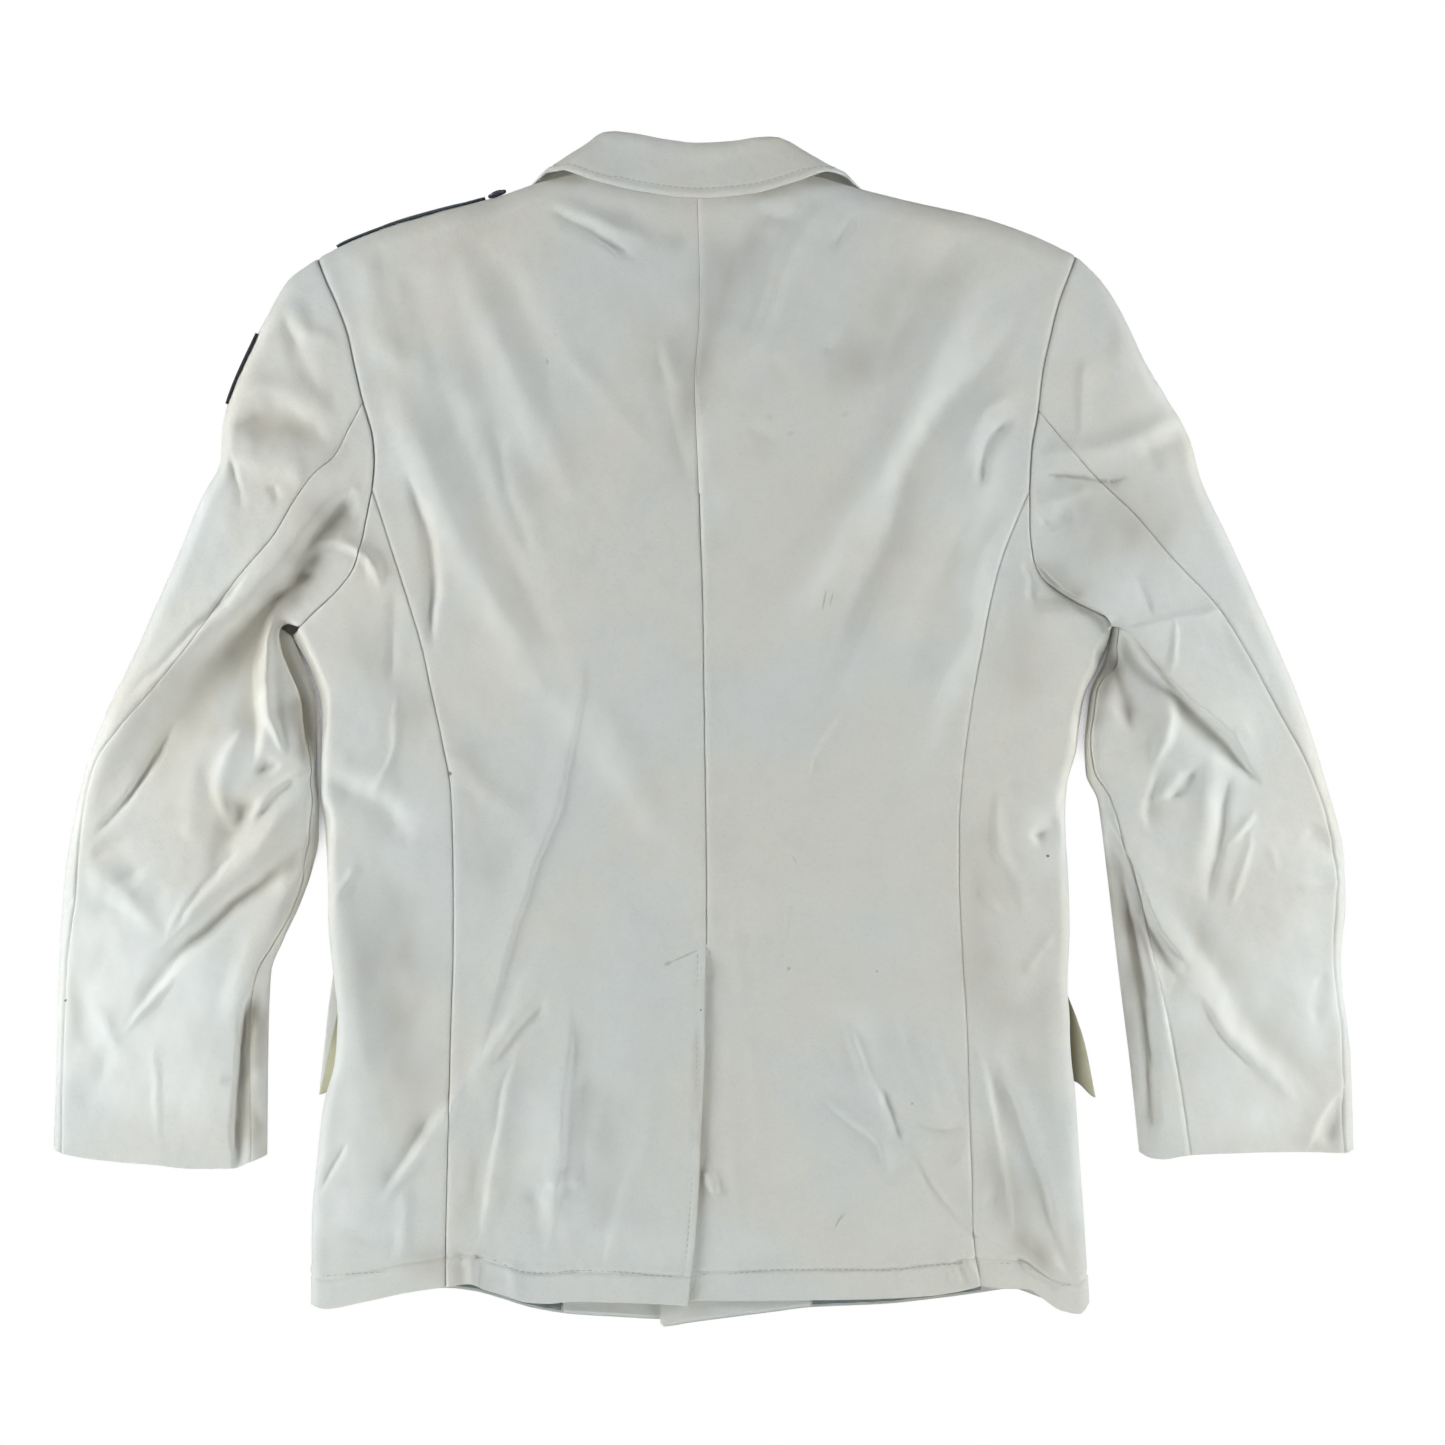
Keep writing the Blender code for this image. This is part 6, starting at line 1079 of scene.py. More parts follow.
def sleeve(side):
    up, low = sleeve_maps(side)
    vs = cut_rows(spread(640.0, STEP), ARM_TURN)
    turn = int(np.argmin(np.abs(vs - ARM_TURN)))
    hs, fs = [], []
    for v in vs:
        hs.append(hind_share(side, up, v))
        if v < ARM_TURN:
            fs.append(0.0)
        else:
            y = float(up(np.array([0.95]), np.array([v]))[0, 1])
            fs.append(float(column(y, 3 if side == "l" else 4)) / per_share(up, v, False))
    hs, fs = np.array(hs), np.array(fs)
    # the seam comes up from the armhole and leaves over the outer fold evenly
    ker = np.hanning(9)
    ker /= ker.sum()
    even = np.convolve(np.pad(hs, 4, mode="edge"), ker, mode="valid")
    hs[3:] = even[3:]
    hs = np.maximum(hs, 3.0 / 180.0)
    ramp = (vs > ARM_TURN * 0.855) & (vs < ARM_TURN)
    fs[ramp] = fs[turn] * (vs[ramp] - ARM_TURN * 0.855) / (ARM_TURN * 0.145)
    n_top, n_low = 40, 30
    g = np.linspace(0, 1, n_top) ** 1.5
    g = np.unique(np.r_[g[:-2], 1 - np.array([0.035, 0.02, 0.009, 0.0])])
    b = 0.5 * (1 - np.cos(np.pi * np.linspace(0, 1, n_low)))
    rows_a, rows_b, rows_d, rows_u = [], [], [], []
    for n, v in enumerate(vs):
        rows_a.append(up(hs[n] * g[::-1], np.full(len(g), v)))
        rows_b.append(low(b[1:], np.full(len(b) - 1, v)))
        c = np.linspace(0, 1, 9)[1:] * (fs[n] if n >= turn else 0.004)
        rows_d.append(up(1 - c, np.full(8, v)))
        w = spread(165.0, STEP)
        rows_u.append(up(hs[n] + (1 - fs[n] - hs[n]) * w, np.full(len(w), v)))
    A, B, D, U = (np.array(r).transpose(1, 0, 2) for r in (rows_a, rows_b, rows_d, rows_u))
    name = "left" if side == "l" else "right"
    Pu, Nu = skin(U, True, side)
    Pu = draped(Pu, Nu, U)
    deep = DEPTH[0]
    Pu = seamed(Pu, Nu, {"u0": 0.0, "u1": 0.0, "v0": 0.25}, 0.8, 1.2)
    shell(f"cloth_sleeve_{name}_under", Pu, Nu, WALL, IVORY, deep=deep, inked={"u0": 0.14, "v0": 0.8})
    PA, NA = skin(A, True, side)
    PA = draped(PA, NA, A)
    deep = [DEPTH[0], np.zeros(B.shape[:2])]
    PB, NB = sleeve_low(B, side)
    PB = hollowed(PB, NB, B)
    PD, ND = skin(D, True, side)
    PD = draped(PD, ND, D)
    deep = np.concatenate(deep + [DEPTH[0]])
    P, N = np.concatenate([PA, PB, PD]), np.concatenate([NA, NB, ND])
    P = seamed(P, N, {"u0": 0.0, "v0": 0.25}, 0.8, 1.2)
    mask = np.ones((len(P) - 1, len(vs) - 1), bool)
    mask[-8:, :turn] = False
    return shell(f"cloth_sleeve_{name}_top", P, N, WALL, IVORY, mask, deep=deep, inked={"u0": 0.14, "v0": 0.9})


def round_fold(line, stations, reach, surface, lap, way_in, n_long=40):
    """Rows that start near a fold's outermost line and go beneath it."""
    st = np.asarray(stations, float)
    order = np.argsort(st[:, 0])
    st = st[order]
    ts = np.linspace(st[0, 0], st[-1, 0], n_long)
    rows = []
    for t in ts:
        start, wide = np.interp(t, st[:, 0], st[:, 1]), np.interp(t, st[:, 0], st[:, 2])
        p = line.at(t)
        q = line.at(min(t + 0.01, 1.0)) - line.at(max(t - 0.01, 0.0))
        n = np.array([q[1], -q[0]]) / np.hypot(*q)
        n = n if n @ way_in > 0 else -n
        ds = -start * reach + (wide + start * reach) * np.linspace(0, 1, 26) ** 1.4
        rows.append([np.r_[p + n * abs(d), d] for d in ds])
    g = np.array(rows).transpose(1, 0, 2)
    Pu, Nu = skin(g[..., :2], True, lap)
    Pl, Nl = surface(g[..., :2], lap)
    above = g[..., 2] < 0
    return np.where(above[..., None], Pu, Pl), np.where(above[..., None], Nu, Nl)


def plate(name, rows, thick, material, droop=0.5, across=24, long=60, lie=0.0, climb=0.0):
    """A flat piece between two edges with softly pressed edges, its lower face on the floor."""
    r = np.asarray(rows, float)
    t = np.r_[0.0, np.cumsum(np.hypot(*np.diff(r[:, :2], axis=0).T))]
    r = hermite(t, r, np.linspace(0, t[-1], long))
    s = np.linspace(0, 1, across)[:, None, None]
    xy = r[None, :, 0:2] * (1 - s) + r[None, :, 2:4] * s
    if climb:
        xy[..., 1] += climb * np.linspace(0, 1, long)[None, :] ** 8 * smooth(along(xy, 0) / 15.0)
    P = np.concatenate([xy, np.full(xy.shape[:-1] + (1,), lie + thick)], -1)
    N = np.zeros_like(P)
    N[..., 2] = 1.0
    a, b = along(P, 0), along(P, 1)
    near = np.minimum(np.minimum(a, a[-1:] - a), np.minimum(b, b[:, -1:] - b))
    P[..., 2] -= droop * np.exp(-(near / 1.2) ** 2)
    P[..., 2] += 0.12 * wobble(xy, 12, 3) * smooth(near / 8)
    I = P.copy()
    I[..., 2] = lie
    return shell(name, P, N, thick, material, draw=DRAW, inner=I)


def collar():
    t = _COL
    k = np.arange(len(t), dtype=float)
    fine = hermite(k, t, np.linspace(0, len(t) - 1, 241))
    s = np.r_[0, 0.015, 0.04, np.linspace(0.08, 0.66, 13), 0.70, 0.735, 0.755, 0.77, 0.785, 0.80, 0.83, 0.87, 0.91, 0.94, 0.965, 0.985, 1.0][:, None, None]
    roll, edge, seam = fine[None, :, 0:3], fine[None, :, 3:6], fine[None, :, 6:9]
    P = roll * (1 - s) + edge * s
    N = grid_normals(P, (0, 0, 1))
    d = along(P, 0)
    rest = d[-1:] - d
    ends = along(P, 1)
    ends = np.minimum(ends, ends[:, -1:] - ends)
    shape = -0.9 * np.exp(-(d / 1.6) ** 2) + 0.8 * np.exp(-((d - 7.0) / 6.0) ** 2)       # the roll
    shape = shape - 0.55 * np.exp(-((rest - 6.4) / 0.95) ** 2) - 0.7 * np.exp(-(rest / 1.2) ** 2) + 0.25 * np.exp(-((rest - 3.4) / 1.8) ** 2)
    shape = shape + 0.25 * wobble(P[..., :2], 16, 2) + 0.12 * wobble(P[..., :2], 6, 5)
    shape = shape - 0.4 * np.exp(-(ends / 1.4) ** 2)
    P = P + N * shape[..., None]
    shell("cloth_collar_fall", P, N, WALL, IVORY)
    COLLAR_FACE.append((P, N, s[:, 0, 0], rest))
    top = roll * 0.70 + seam * 0.30
    top[..., 2] = seam[..., 2] - 0.8
    s = np.linspace(0, 1, 8)[:, None, None]
    P = top * (1 - s) + seam * s
    N = grid_normals(P, (0, 0, 1))
    shell("cloth_collar_stand", P, N, WALL, IVORY, draw=0.0)


COLLAR_FACE = []


def grid_normals(P, out):
    n = np.cross(np.gradient(P, axis=0), np.gradient(P, axis=1))
    n /= np.maximum(np.linalg.norm(n, axis=-1, keepdims=True), 1e-9)
    c = n[n.shape[0] // 2, n.shape[1] // 2]
    return n if c @ np.asarray(out, float) > 0 else -n


def hem_at(side, x):
    p = C["hem_front_" + side].p
    i = np.argsort(p[:, 0])
    return np.interp(x, p[i, 0], p[i, 1])


def strips():
    """What shows inside the front hem: facing ends, and the lining with its small pleats."""
    for name, x0, x1, thick in STRIPS:
        side = "l" if name.endswith("left") else "r"
        lined = name.startswith("lining")
        xs = np.linspace(x0, x1, 90)
        y0 = np.array([hem_at(side, x) for x in xs]) + (2.2 if lined else 1.2)
        s = np.linspace(0, 1, 14)[:, None]
        xy = np.stack([np.broadcast_to(xs, (14, 90)), y0 * (1 - s) + (y0 + STRIP_TALL) * s], -1)
        z = lift(xy, side) + WALL + 4 * REST + thick
        if lined:
            z = z + 0.9 * np.sin((xs - x0) / 2.9 + 0.9 * np.sin(xs / 9.0)) * np.exp(-s * 2.2) * smooth((xs - x0) / 8) * smooth((x1 - xs) / 8)
        P = np.concatenate([xy, z[..., None]], -1)
        N = np.zeros_like(P)
        N[..., 2] = 1.0
        shell("cloth_" + name, P, N, thick, LINING if lined else IVORY)


def dome(name, centre, axis, d, t, seg=48, material=None):
    """A plain metal button: rolled rim, shallow gutter and a domed face."""
    a = np.asarray(axis, float)
    a = a / np.linalg.norm(a)
    b = np.cross(a, [1.0, 0.0, 0.0] if abs(a[0]) < 0.9 else [0.0, 1.0, 0.0])
    b = b / np.linalg.norm(b)
    c = np.cross(a, b)
    prof = [(0.0, 0.0), (0.6, 0.0), (0.93, 0.02), (0.985, 0.16), (1.0, 0.36), (0.985, 0.52), (0.94, 0.60), (0.89, 0.58),
            (0.85, 0.53), (0.80, 0.56), (0.66, 0.76), (0.48, 0.90), (0.26, 0.98), (0.0, 1.0)]
    ang = np.linspace(0, 2 * np.pi, seg, endpoint=False)
    ringv = np.array([[np.asarray(centre) + a * h * t + (b * np.cos(g) + c * np.sin(g)) * max(r, 0.002) * d / 2 for g in ang]
                      for r, h in prof])
    n = len(prof)
    i, j = np.meshgrid(np.arange(n - 1), np.arange(seg), indexing="ij")
    j2 = (j + 1) % seg
    f = np.stack([i * seg + j, i * seg + j2, (i + 1) * seg + j2, (i + 1) * seg + j], -1).reshape(-1, 4)
    return mesh_of(name, ringv.reshape(-1, 3), f, material or METAL)


def shares(rows, line):
    return [(line.share_at(x, 0), a, b) for x, a, b in rows]


# ---- stitches ------------------------------------------------------------
STITCHES = [[], []]


def stitch_run(points, normals, long=2.7, gap=1.5, wide=0.55, high=0.30, sunk=0.12):
    """Short threads laid end to end along a line on the cloth."""
    points, normals = np.asarray(points, float), np.asarray(normals, float)
    t = np.r_[0.0, np.cumsum(np.linalg.norm(np.diff(points, axis=0), axis=1))]
    at = np.arange(gap, t[-1] - long - gap, long + gap)
    pick = lambda q, v: np.stack([np.interp(q, t, v[:, k]) for k in range(3)], -1)
    a, b = pick(at, points), pick(at + long, points)
    n = pick(at + long / 2, normals)
    n /= np.linalg.norm(n, axis=-1, keepdims=True)
    w = np.cross(b - a, n)
    w /= np.linalg.norm(w, axis=-1, keepdims=True)
    top, low = n * (high - sunk), -n * sunk
    v = np.stack([a - w * wide / 2 + low, a + w * wide / 2 + low, b + w * wide / 2 + low, b - w * wide / 2 + low,
                  a - w * wide / 3 + top + (b - a) * 0.12, a + w * wide / 3 + top + (b - a) * 0.12,
                  b + w * wide / 3 + top - (b - a) * 0.12, b - w * wide / 3 + top - (b - a) * 0.12], 1)
    base = sum(len(x) for x in STITCHES[0])
    one = np.array([[0, 3, 2, 1], [4, 5, 6, 7], [0, 1, 5, 4], [1, 2, 6, 5], [2, 3, 7, 6], [3, 0, 4, 7]])
    STITCHES[1].append((one[None] + base + 8 * np.arange(len(at))[:, None, None]).reshape(-1, 4))
    STITCHES[0].append(v.reshape(-1, 3))


def on_back(points, side):
    """Points of the upper surface, with its creases."""
    xy = Curve(points, 400).p
    P, N = skin(xy[None], True, side, rise=lambda q: vent_rise(q, side))
    P = draped(P, N, xy[None])
    return P[0] + N[0] * 0.05, N[0]


# stitched lines on the upper surface, (x, y)
STITCH_LINES = [
 # the vent's left edge
 ("l", [(-3.8, -150.7), (-3.8, -183.6), (-5.1, -250.7), (-8.6, -318.5), (-12.7, -372.6)]),
 # hems
 ("l", [(-172.2, -359.6), (-159.3, -360.3), (-152.4, -359.0), (-120.2, -369.2), (-111.3, -369.9), (-78.4, -367.8), (-18.8, -371.9)]),
 ("r", [(-2.0, -370.6), (8.6, -370.6), (45.6, -367.8), (78.4, -367.2), (119.5, -367.8), (149.7, -365.1), (171.6, -363.0), (184.0, -362.0)]),
 ("l", [(-262.0, -372.0), (-231.9, -369.9), (-201.7, -367.8), (-180.0, -362.4)]),
 ("r", [(192.0, -362.6), (216.1, -363.7), (225.7, -369.2), (243.5, -378.1), (256.0, -377.4)]),
]

# marks on the cloth: x, y, radius across, radius along, turn in degrees, strength
MARKS = [
 (82, 88, 0.9, 8.5, -10, 0.35), (87, 89, 0.8, 6.0, -14, 0.28), (91, 372, 1.0, 1.0, 0, 0.0),
 (92, -334, 0.9, 7.0, -28, 0.35), (95, -331, 0.7, 4.0, -35, 0.25),
 (234, -85.6, 1.5, 1.2, 0, 0.9), (-434, -184, 1.7, 1.0, 25, 0.85), (-172, -29.5, 1.6, 1.8, 0, 0.8),
 (-1.7, -190, 0.9, 0.9, 0, 0.7), (59, 201, 3.2, 2.2, 20, 0.12), (-13, -153.5, 13.0, 1.0, 24, 0.28),
 (-24, -158.5, 4.0, 1.8, 24, 0.3), (96, 214, 3.5, 2.5, 30, 0.10), (45, 212, 3.0, 2.5, 0, 0.09),
 (62, -88, 1.0, 4.4, 35, 0.15), (58, -162, 1.6, 1.6, 0, 0.35), (118, -164, 1.5, 1.2, 0, 0.3),
 (-151, 96, 0.9, 7.0, 8, 0.0), (-106, 250, 1.2, 3.0, 20, 0.25), (142, -254, 1.2, 1.2, 0, 0.3),
]


# ---- materials -----------------------------------------------------------
class Nodes:
    """Short way to lay out shader nodes."""

    def __init__(self, name):
        self.mat = bpy.data.materials.new(name)
        self.mat.use_nodes = True
        self.tree = self.mat.node_tree
        self.bsdf = self.tree.nodes["Principled BSDF"]
        self.here = self.add("ShaderNodeTexCoord").outputs["Object"]

    def add(self, kind, **props):
        n = self.tree.nodes.new(kind)
        for k, v in props.items():
            setattr(n, k, v)
        return n

    def put(self, socket, value):
        if isinstance(value, bpy.types.NodeSocket):
            self.tree.links.new(value, socket)
        else:
            socket.default_value = value

    def math(self, op, a, b=0.0, c=None):
        n = self.add("ShaderNodeMath", operation=op)
        self.put(n.inputs[0], a)
        self.put(n.inputs[1], b)
        if c is not None:
            self.put(n.inputs[2], c)
        return n.outputs[0]

    def noise(self, scale, detail=3.0, rough=0.5, stretch=None):
        n = self.add("ShaderNodeTexNoise")
        self.put(n.inputs["Vector"], self.here if stretch is None else self.scaled(stretch))
        n.inputs["Scale"].default_value = scale
        n.inputs["Detail"].default_value = detail
        n.inputs["Roughness"].default_value = rough
        return n.outputs[0]

    def scaled(self, s):
        n = self.add("ShaderNodeVectorMath", operation="MULTIPLY")
        self.put(n.inputs[0], self.here)
        n.inputs[1].default_value = s
        return n.outputs[0]

    def ramp(self, value, lo, hi, a=0.0, b=1.0):
        n = self.add("ShaderNodeMapRange", clamp=True, interpolation_type="SMOOTHSTEP")
        self.put(n.inputs[0], value)
        for k, v in zip((1, 2, 3, 4), (lo, hi, a, b)):
            n.inputs[k].default_value = v
        return n.outputs[0]

    def mix(self, fac, a, b, blend="MIX"):
        n = self.add("ShaderNodeMix", data_type="RGBA", blend_type=blend)
        self.put(n.inputs[0], fac)
        for sock, v in ((n.inputs[6], a), (n.inputs[7], b)):
            self.put(sock, v if isinstance(v, bpy.types.NodeSocket) else (*v, 1.0))
        return n.outputs[2]

    def lines(self, direction, period):
        """Even lines across a direction, 0 to 1."""
        n = self.add("ShaderNodeVectorMath", operation="DOT_PRODUCT")
        self.put(n.inputs[0], self.here)
        n.inputs[1].default_value = direction
        s = self.math("SINE", self.math("MULTIPLY", n.outputs["Value"], 6.28318 / period))
        return self.math("MULTIPLY_ADD", s, 0.5, 0.5)

    def bump(self, height, strength, distance, after=None):
        n = self.add("ShaderNodeBump")
        n.inputs["Strength"].default_value = strength
        n.inputs["Distance"].default_value = distance
        self.put(n.inputs["Height"], height)
        if after is not None:
            self.put(n.inputs["Normal"], after)
        return n.outputs[0]


def marks(m):
    """The small spots and scuffs, by their place on the cloth."""
    sep = m.add("ShaderNodeSeparateXYZ")
    m.put(sep.inputs[0], m.here)
    x, y = sep.outputs[0], sep.outputs[1]
    rough = m.noise(900, 2)
    total = None
    for mx, my, rx, ry, turn, strong in MARKS:
        if strong <= 0:
            continue
        c, s = np.cos(np.radians(turn)), np.sin(np.radians(turn))
        dx, dy = m.math("SUBTRACT", x, mx * MM), m.math("SUBTRACT", y, my * MM)
        a = m.math("ADD", m.math("MULTIPLY", dx, c / (rx * MM)), m.math("MULTIPLY", dy, s / (rx * MM)))
        b = m.math("ADD", m.math("MULTIPLY", dx, -s / (ry * MM)), m.math("MULTIPLY", dy, c / (ry * MM)))
        r = m.math("SQRT", m.math("ADD", m.math("MULTIPLY", a, a), m.math("MULTIPLY", b, b)))
        r = m.math("ADD", r, m.math("MULTIPLY", rough, 0.7))
        v = m.math("MULTIPLY", m.ramp(r, 0.75, 1.35, 1.0, 0.0), strong)
        total = v if total is None else m.math("MAXIMUM", total, v)
    return total


def gabardine():
    """Off-white gabardine: steep twill lines, matt, a little grey and yellow from wear, with painted shade in the
    crease troughs and broad bands of painted light and shade.
    """
    m = Nodes("ivory_gabardine")
    base = m.mix(m.ramp(m.noise(7.0, 4, 0.6), 0.35, 0.65), IVORY_COOL, IVORY_WARM)
    base = m.mix(m.math("MULTIPLY", m.ramp(m.noise(38.0, 4, 0.65), 0.42, 0.72), 0.16), base, (0.64, 0.63, 0.585))
    base = m.mix(m.math("MULTIPLY", m.ramp(m.noise(420.0, 2, 0.6), 0.45, 0.8), 0.16), base, (0.58, 0.57, 0.53))
    base = m.mix(m.math("MULTIPLY", m.ramp(m.noise(1400.0, 1, 0.5, (1.0, 0.35, 1.0)), 0.62, 0.78), 0.22), base, (0.45, 0.44, 0.41))
    # painted shade: the crease troughs turn warm brown
    hollow = m.add("ShaderNodeAttribute", attribute_name="hollow").outputs["Fac"]
    hollow = m.math("MULTIPLY", hollow, m.ramp(m.noise(45.0, 3), 0.25, 0.65, 0.65, 1.0))
    base = m.mix(m.math("MULTIPLY", m.ramp(hollow, 0.12, 1.15), 0.52), base, (0.63, 0.565, 0.45))
    # painted light and shade: bands go towards warm brown where shaded and towards cream where lit
    tone = m.add("ShaderNodeAttribute", attribute_name="tone").outputs["Fac"]
    base = m.mix(m.math("MINIMUM", m.math("MAXIMUM", tone, 0.0), 0.9), base, (0.40, 0.355, 0.285))
    base = m.mix(m.math("MINIMUM", m.math("MAXIMUM", m.math("MULTIPLY", tone, -0.9), 0.0), 0.9), base, (0.96, 0.945, 0.875))
    base = m.mix(m.add("ShaderNodeAttribute", attribute_name="seam_line").outputs["Fac"], base, (0.13, 0.11, 0.09))
    base = m.mix(marks(m), base, (0.09, 0.085, 0.08))
    twill = m.lines((0.8944, 0.4472, 0.0), 0.00105)
    weft = m.lines((0.0, 1.0, 0.0), 0.00047)
    slub = m.noise(900.0, 2, 0.6, (1.0, 0.25, 1.0))
    base = m.mix(m.math("MULTIPLY", m.math("SUBTRACT", 1.0, twill), 0.10), base, (0.52, 0.51, 0.47))
    m.put(m.bsdf.inputs["Base Color"], base)
    n = m.bump(m.math("ADD", m.noise(60.0, 4, 0.6), m.math("MULTIPLY", m.noise(150.0, 3, 0.55), 0.4)), 0.22, 0.0016)
    n = m.bump(m.math("ADD", twill, m.math("MULTIPLY", m.math("ADD", weft, slub), 0.35)), 0.30, 0.00022, n)
    m.put(m.bsdf.inputs["Normal"], n)
    m.put(m.bsdf.inputs["Roughness"], m.ramp(m.noise(90.0, 2), 0.3, 0.7, 0.74, 0.86))
    m.bsdf.inputs["Specular IOR Level"].default_value = 0.32
    m.bsdf.inputs["Sheen Weight"].default_value = 0.12
    m.bsdf.inputs["Sheen Roughness"].default_value = 0.45
    return m.mat


IVORY_COOL = (0.795, 0.79, 0.735)
IVORY_WARM = (0.835, 0.785, 0.675)


def lining_cloth():
    m = Nodes("grey_lining")
    base = m.mix(m.ramp(m.noise(60.0, 3), 0.35, 0.7), (0.12, 0.14, 0.135), (0.21, 0.235, 0.225))
    thread = m.lines((1.0, 0.0, 0.0), 0.0005)
    m.put(m.bsdf.inputs["Base Color"], m.mix(m.math("MULTIPLY", thread, 0.2), base, (0.36, 0.38, 0.37)))
    n = m.bump(m.math("ADD", thread, m.lines((0.0, 1.0, 0.0), 0.00042)), 0.25, 0.0001)
    m.put(m.bsdf.inputs["Normal"], m.bump(m.noise(120.0, 3), 0.2, 0.001, n))
    m.put(m.bsdf.inputs["Roughness"], m.ramp(m.noise(300.0, 2), 0.3, 0.7, 0.38, 0.5))
    m.bsdf.inputs["Sheen Weight"].default_value = 0.25
    return m.mat


def board_cloth():
    m = Nodes("slate_board")
    rib = m.lines((0.3, 0.95, 0.0), 0.0014)
    base = m.mix(m.ramp(m.noise(500.0, 3), 0.35, 0.7), (0.038, 0.052, 0.072), (0.075, 0.095, 0.12))
    m.put(m.bsdf.inputs["Base Color"], m.mix(m.math("MULTIPLY", rib, 0.35), base, (0.10, 0.12, 0.145)))
    m.put(m.bsdf.inputs["Normal"], m.bump(m.math("ADD", rib, m.noise(1200.0, 2)), 0.4, 0.0003))
    m.put(m.bsdf.inputs["Roughness"], m.ramp(m.noise(200.0, 2), 0.3, 0.7, 0.62, 0.78))
    m.bsdf.inputs["Sheen Weight"].default_value = 0.2
    return m.mat


def patch_cloth():
    """Dark embroidered patch: near-black cloth with fine slanting rows, a generic shape."""
    m = Nodes("dark_patch")
    rows = m.lines((0.55, 0.83, 0.0), 0.0009)
    base = m.mix(m.ramp(m.noise(700.0, 3), 0.35, 0.7), (0.012, 0.012, 0.014), (0.03, 0.03, 0.034))
    m.put(m.bsdf.inputs["Base Color"], m.mix(m.math("MULTIPLY", rows, 0.3), base, (0.05, 0.05, 0.055)))
    m.put(m.bsdf.inputs["Normal"], m.bump(rows, 0.6, 0.0004))
    m.put(m.bsdf.inputs["Roughness"], m.ramp(m.noise(500.0, 2), 0.3, 0.7, 0.5, 0.65))
    return m.mat


def gilt():
    m = Nodes("gilt_metal")
    m.put(m.bsdf.inputs["Base Color"], m.mix(m.ramp(m.noise(400.0, 4, 0.6), 0.35, 0.7), (0.62, 0.46, 0.18), (0.48, 0.36, 0.15)))
    m.bsdf.inputs["Metallic"].default_value = 1.0
    m.put(m.bsdf.inputs["Roughness"], m.ramp(m.noise(900.0, 3), 0.3, 0.7, 0.24, 0.42))
    m.put(m.bsdf.inputs["Normal"], m.bump(m.noise(2500.0, 2), 0.08, 0.0002))
    return m.mat


def pewter():
    m = Nodes("dark_metal")
    m.put(m.bsdf.inputs["Base Color"], m.mix(m.ramp(m.noise(400.0, 4, 0.6), 0.35, 0.7), (0.085, 0.095, 0.115), (0.16, 0.17, 0.19)))
    m.bsdf.inputs["Metallic"].default_value = 0.7
    m.put(m.bsdf.inputs["Roughness"], m.ramp(m.noise(900.0, 3), 0.3, 0.7, 0.35, 0.5))
    m.put(m.bsdf.inputs["Normal"], m.bump(m.noise(2500.0, 2), 0.08, 0.0002))
    return m.mat


def flap_cloth():
    """Flaps: ivory where the face is turned up, drab olive where the inside shows, the olive partly the cloth's own
    colour and partly painted warm shade, and painted shadow near the body.
    """
    m = Nodes("flap_cloth")
    # drab olive inside: partly the cloth's own colour, partly painted warm shade under the flap
    base = m.mix(m.ramp(m.noise(50.0, 3), 0.35, 0.7), (0.62, 0.58, 0.39), (0.70, 0.66, 0.46))
    sep = m.add("ShaderNodeSeparateXYZ")
    m.put(sep.inputs[0], m.here)
    x, y = sep.outputs[0], sep.outputs[1]
    # painted shadow: dark where the cloth lies close to the body and under it
    beside = m.ramp(m.math("ADD", x, m.math("MULTIPLY", y, 0.076)), 0.2350, 0.2470, 0.0, 1.0)
    above = m.ramp(y, -0.178, -0.226, 0.15, 1.0)
    shade = m.math("MAXIMUM", beside, m.math("MULTIPLY", m.ramp(x, 0.0, -0.01), above))
    base = m.mix(shade, (0.11, 0.09, 0.045), base)
    # the left flap's face is turned up outside a slanting edge
    left = m.ramp(m.math("SUBTRACT", x, m.math("MULTIPLY", y, 0.2224)), -0.2070, -0.2080, 0.0, 1.0)
    twill = m.lines((0.8944, 0.4472, 0.0), 0.00105)
    base = m.mix(left, base, (0.80, 0.78, 0.71))
    m.put(m.bsdf.inputs["Base Color"], m.mix(m.math("MULTIPLY", twill, 0.2), base, (0.38, 0.355, 0.24)))
    m.put(m.bsdf.inputs["Normal"], m.bump(m.math("ADD", twill, m.noise(400.0, 2)), 0.3, 0.00025))
    m.put(m.bsdf.inputs["Roughness"], m.ramp(m.noise(90.0, 2), 0.3, 0.7, 0.74, 0.86))
    return m.mat


def thread_look():
    m = Nodes("thread")
    m.put(m.bsdf.inputs["Base Color"], m.mix(m.ramp(m.noise(800.0, 2), 0.3, 0.7), (0.46, 0.455, 0.42), (0.56, 0.55, 0.51)))
    m.put(m.bsdf.inputs["Normal"], m.bump(m.noise(3000.0, 2), 0.3, 0.0001))
    m.put(m.bsdf.inputs["Roughness"], m.ramp(m.noise(500.0, 2), 0.3, 0.7, 0.5, 0.7))
    return m.mat


# ---- build ---------------------------------------------------------------
IVORY, LINING, SLATE, BLACK, METAL, PEWTER, FLAP, THREAD = (
    gabardine(), lining_cloth(), board_cloth(), patch_cloth(), gilt(), pewter(), flap_cloth(), thread_look())

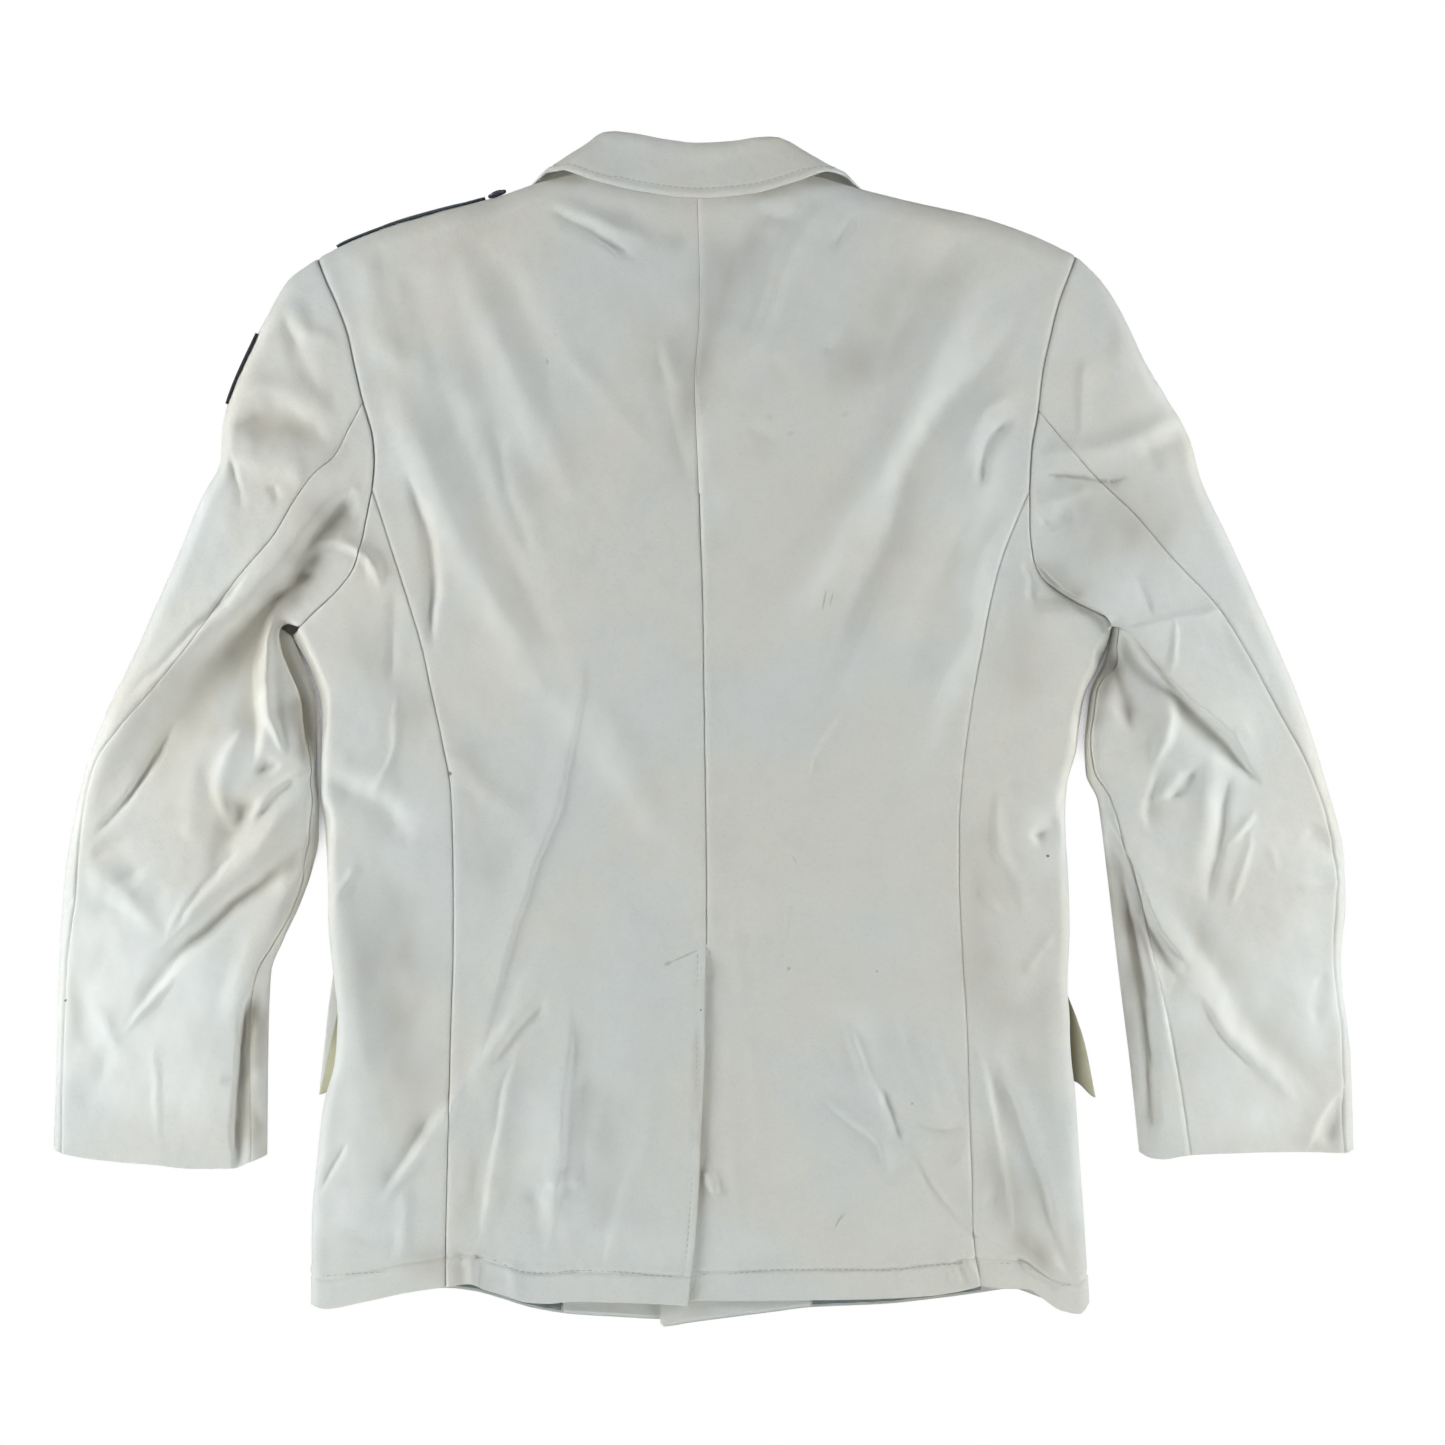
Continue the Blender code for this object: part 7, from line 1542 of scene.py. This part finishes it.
for side in "lr":
    back_panel(side)
    side_panel(side)
    front_panel(side)
    sleeve(side)
collar()
for side, name in (("l", "left"), ("r", "right")):
    plate("cloth_lapel_" + name, LAPEL_L if side == "l" else LAPEL_R, WALL, IVORY)
    plate("cloth_flap_" + name, FLAP_L if side == "l" else FLAP_R, WALL, FLAP, across=90, long=50, climb=4.0 if side == "l" else 9.0)
    line = C["shoulder_" + side]
    P, N = round_fold(line, shares(BOARD_L if side == "l" else BOARD_R, line), FOLD_SHOULDER,
                      lambda q, k: skin(q, False, k), side, np.array([0.0, -1.0]))
    shell("cloth_epaulette_" + name, P + N * (2 * REST + 1.3), N, 1.3, SLATE, draw=0.0)
P, N = round_fold(C["out_l"], [(t, up + 0.10, w) for t, up, w in PATCH_L], FOLD_SLEEVE, sleeve_low, "l", np.array([0.85, -0.52]))
shell("cloth_sleeve_patch", P + N * (1.7 * REST + PATCH), N, PATCH, BLACK, draw=0.0)
for n, (bx, by) in enumerate(FRONT_BUTTONS, 1):
    dome(f"metal_front_button_{n}", (bx, by, BUTTON_T), (0, 0, -1), BUTTON_D, BUTTON_T)
crest = C["shoulder_l"].at(C["shoulder_l"].share_at(-140.5, 0))
dome("metal_epaulette_button_left", (crest[0] - 0.33 * 2 * REST, crest[1] + 0.94 * 2 * REST, FOLD_MID * 21.5), (-0.33, 0.94, 0),
     SMALL_BUTTON_D, SMALL_BUTTON_T, 32, PEWTER)
dome("metal_epaulette_button_right", (*SMALL_BUTTON_R, SMALL_BUTTON_T), (0, 0, -1), SMALL_BUTTON_D, SMALL_BUTTON_T, 32, PEWTER)
strips()

for side, points in STITCH_LINES:
    stitch_run(*on_back(points, side))
P, N, across, rest = COLLAR_FACE[0]
line, norm = [], []
for j in range(6, P.shape[1] - 6):
    i = int(np.argmin(np.abs(rest[:, j] - 6.4)))
    line.append(P[i, j] + N[i, j] * 0.05)
    norm.append(N[i, j])
stitch_run(line, norm)
mesh_of("stitching", np.concatenate(STITCHES[0]), np.concatenate(STITCHES[1]), THREAD, flat=True)

# ---- what each piece stands for ------------------------------------------
RESTS = {"cloth_back": "cloth_front_", "cloth_side": "cloth_flap_", "cloth_sleeve": "floor", "cloth_front": "cloth_lapel_",
         "cloth_facing": "cloth_front_", "cloth_lining": "cloth_front_", "cloth_epaulette": "floor", "cloth_collar": "cloth_back_left",
         "cloth_lapel": "floor", "cloth_flap": "floor"}
for name, ob in PIECES.items():
    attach(ob, "root")
    if name == "stitching":
        continue
    node = name.split("_", 1)[1]
    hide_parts(node)
    if name.startswith("metal_"):
        continue
    kind = "_".join(name.split("_")[:2])
    rest = RESTS.get(kind, "floor")
    rest += name.rsplit("_", 1)[1] if rest.endswith("_") else ""

# ---- floor, light, camera ------------------------------------------------
bpy.ops.mesh.primitive_plane_add(size=60.0, location=(0, 7.0, -0.0006))
floor = bpy.context.object
floor.name = "floor"
white = bpy.data.materials.new("white_floor")
white.use_nodes = True
tree = white.node_tree
glow = tree.nodes.new("ShaderNodeEmission")
glow.inputs["Color"].default_value = (1, 1, 1, 1)
# painted shade: the floor's glow dims by ambient occlusion in narrow gaps beside the sleeves, and the open floor is
# pure white
shade = tree.nodes.new("ShaderNodeAmbientOcclusion")
shade.inputs["Distance"].default_value = 0.03
shade.samples = 24
open_floor = tree.nodes.new("ShaderNodeMapRange")
for k, v in zip((1, 2, 3, 4), (0.10, 0.26, 0.06, 1.0)):
    open_floor.inputs[k].default_value = v
tree.links.new(shade.outputs["AO"], open_floor.inputs[0])
tree.links.new(open_floor.outputs[0], glow.inputs["Strength"])
tree.links.new(glow.outputs[0], tree.nodes["Material Output"].inputs["Surface"])
floor.data.materials.append(white)
floor.visible_diffuse = False
floor.visible_glossy = False


def softbox(name, where, target, size, power, tint=(1, 1, 1)):
    light = bpy.data.lights.new(name, "AREA")
    light.shape = "RECTANGLE"
    light.size, light.size_y = size
    light.energy = power
    light.color = tint
    ob = bpy.data.objects.new(name, light)
    ob.location = where
    bpy.context.scene.collection.objects.link(ob)
    way = Vector(target) - Vector(where)
    ob.rotation_euler = way.to_track_quat("-Z", "Y").to_euler()
    return ob


LIGHTS = [
 # name, from, towards, size, power, tint
 ("key_left", (-1.1, 0.25, 0.45), (-0.3, 0.0, 0.0), (0.5, 0.5), 8.5, (0.90, 0.95, 1.0)),
 ("side_right", (1.1, 0.2, 0.42), (0.3, 0.0, 0.0), (0.5, 0.5), 7.5, (0.90, 0.95, 1.0)),
 ("foot_left", (-0.75, -1.0, 0.42), (-0.2, -0.25, 0.0), (0.5, 0.5), 6.0, (0.88, 0.95, 1.0)),
 ("foot_right", (0.75, -1.0, 0.42), (0.2, -0.25, 0.0), (0.5, 0.5), 4.8, (0.88, 0.95, 1.0)),
 ("head", (0.0, 1.15, 0.5), (0.0, 0.3, 0.0), (0.6, 0.4), 1.9, (0.90, 0.95, 1.0)),
 ("overhead", (0.0, 0.0, 3.2), (0.0, 0.0, 0.0), (1.4, 1.4), 5.3, (0.90, 0.96, 1.0)),
]
for row in LIGHTS:
    softbox(*row)

world = bpy.data.worlds.new("studio")
bpy.context.scene.world = world
world.use_nodes = True
world.node_tree.nodes["Background"].inputs["Color"].default_value = (0.88, 0.94, 1.0, 1)
world.node_tree.nodes["Background"].inputs["Strength"].default_value = 0.10

cam = bpy.data.cameras.new("camera")
cam.sensor_width = 36.0
cam.lens = CAM_LENS
cam.clip_end = 150.0
cam_ob = bpy.data.objects.new("camera", cam)
cam_ob.location = (CAM_X, CAM_Y, 2.6)
cam_ob.rotation_euler = (0.0, 0.0, 0.0)
bpy.context.scene.collection.objects.link(cam_ob)
bpy.context.scene.camera = cam_ob
bpy.context.scene.view_settings.view_transform = "Standard"
bpy.context.scene.view_settings.look = "None"
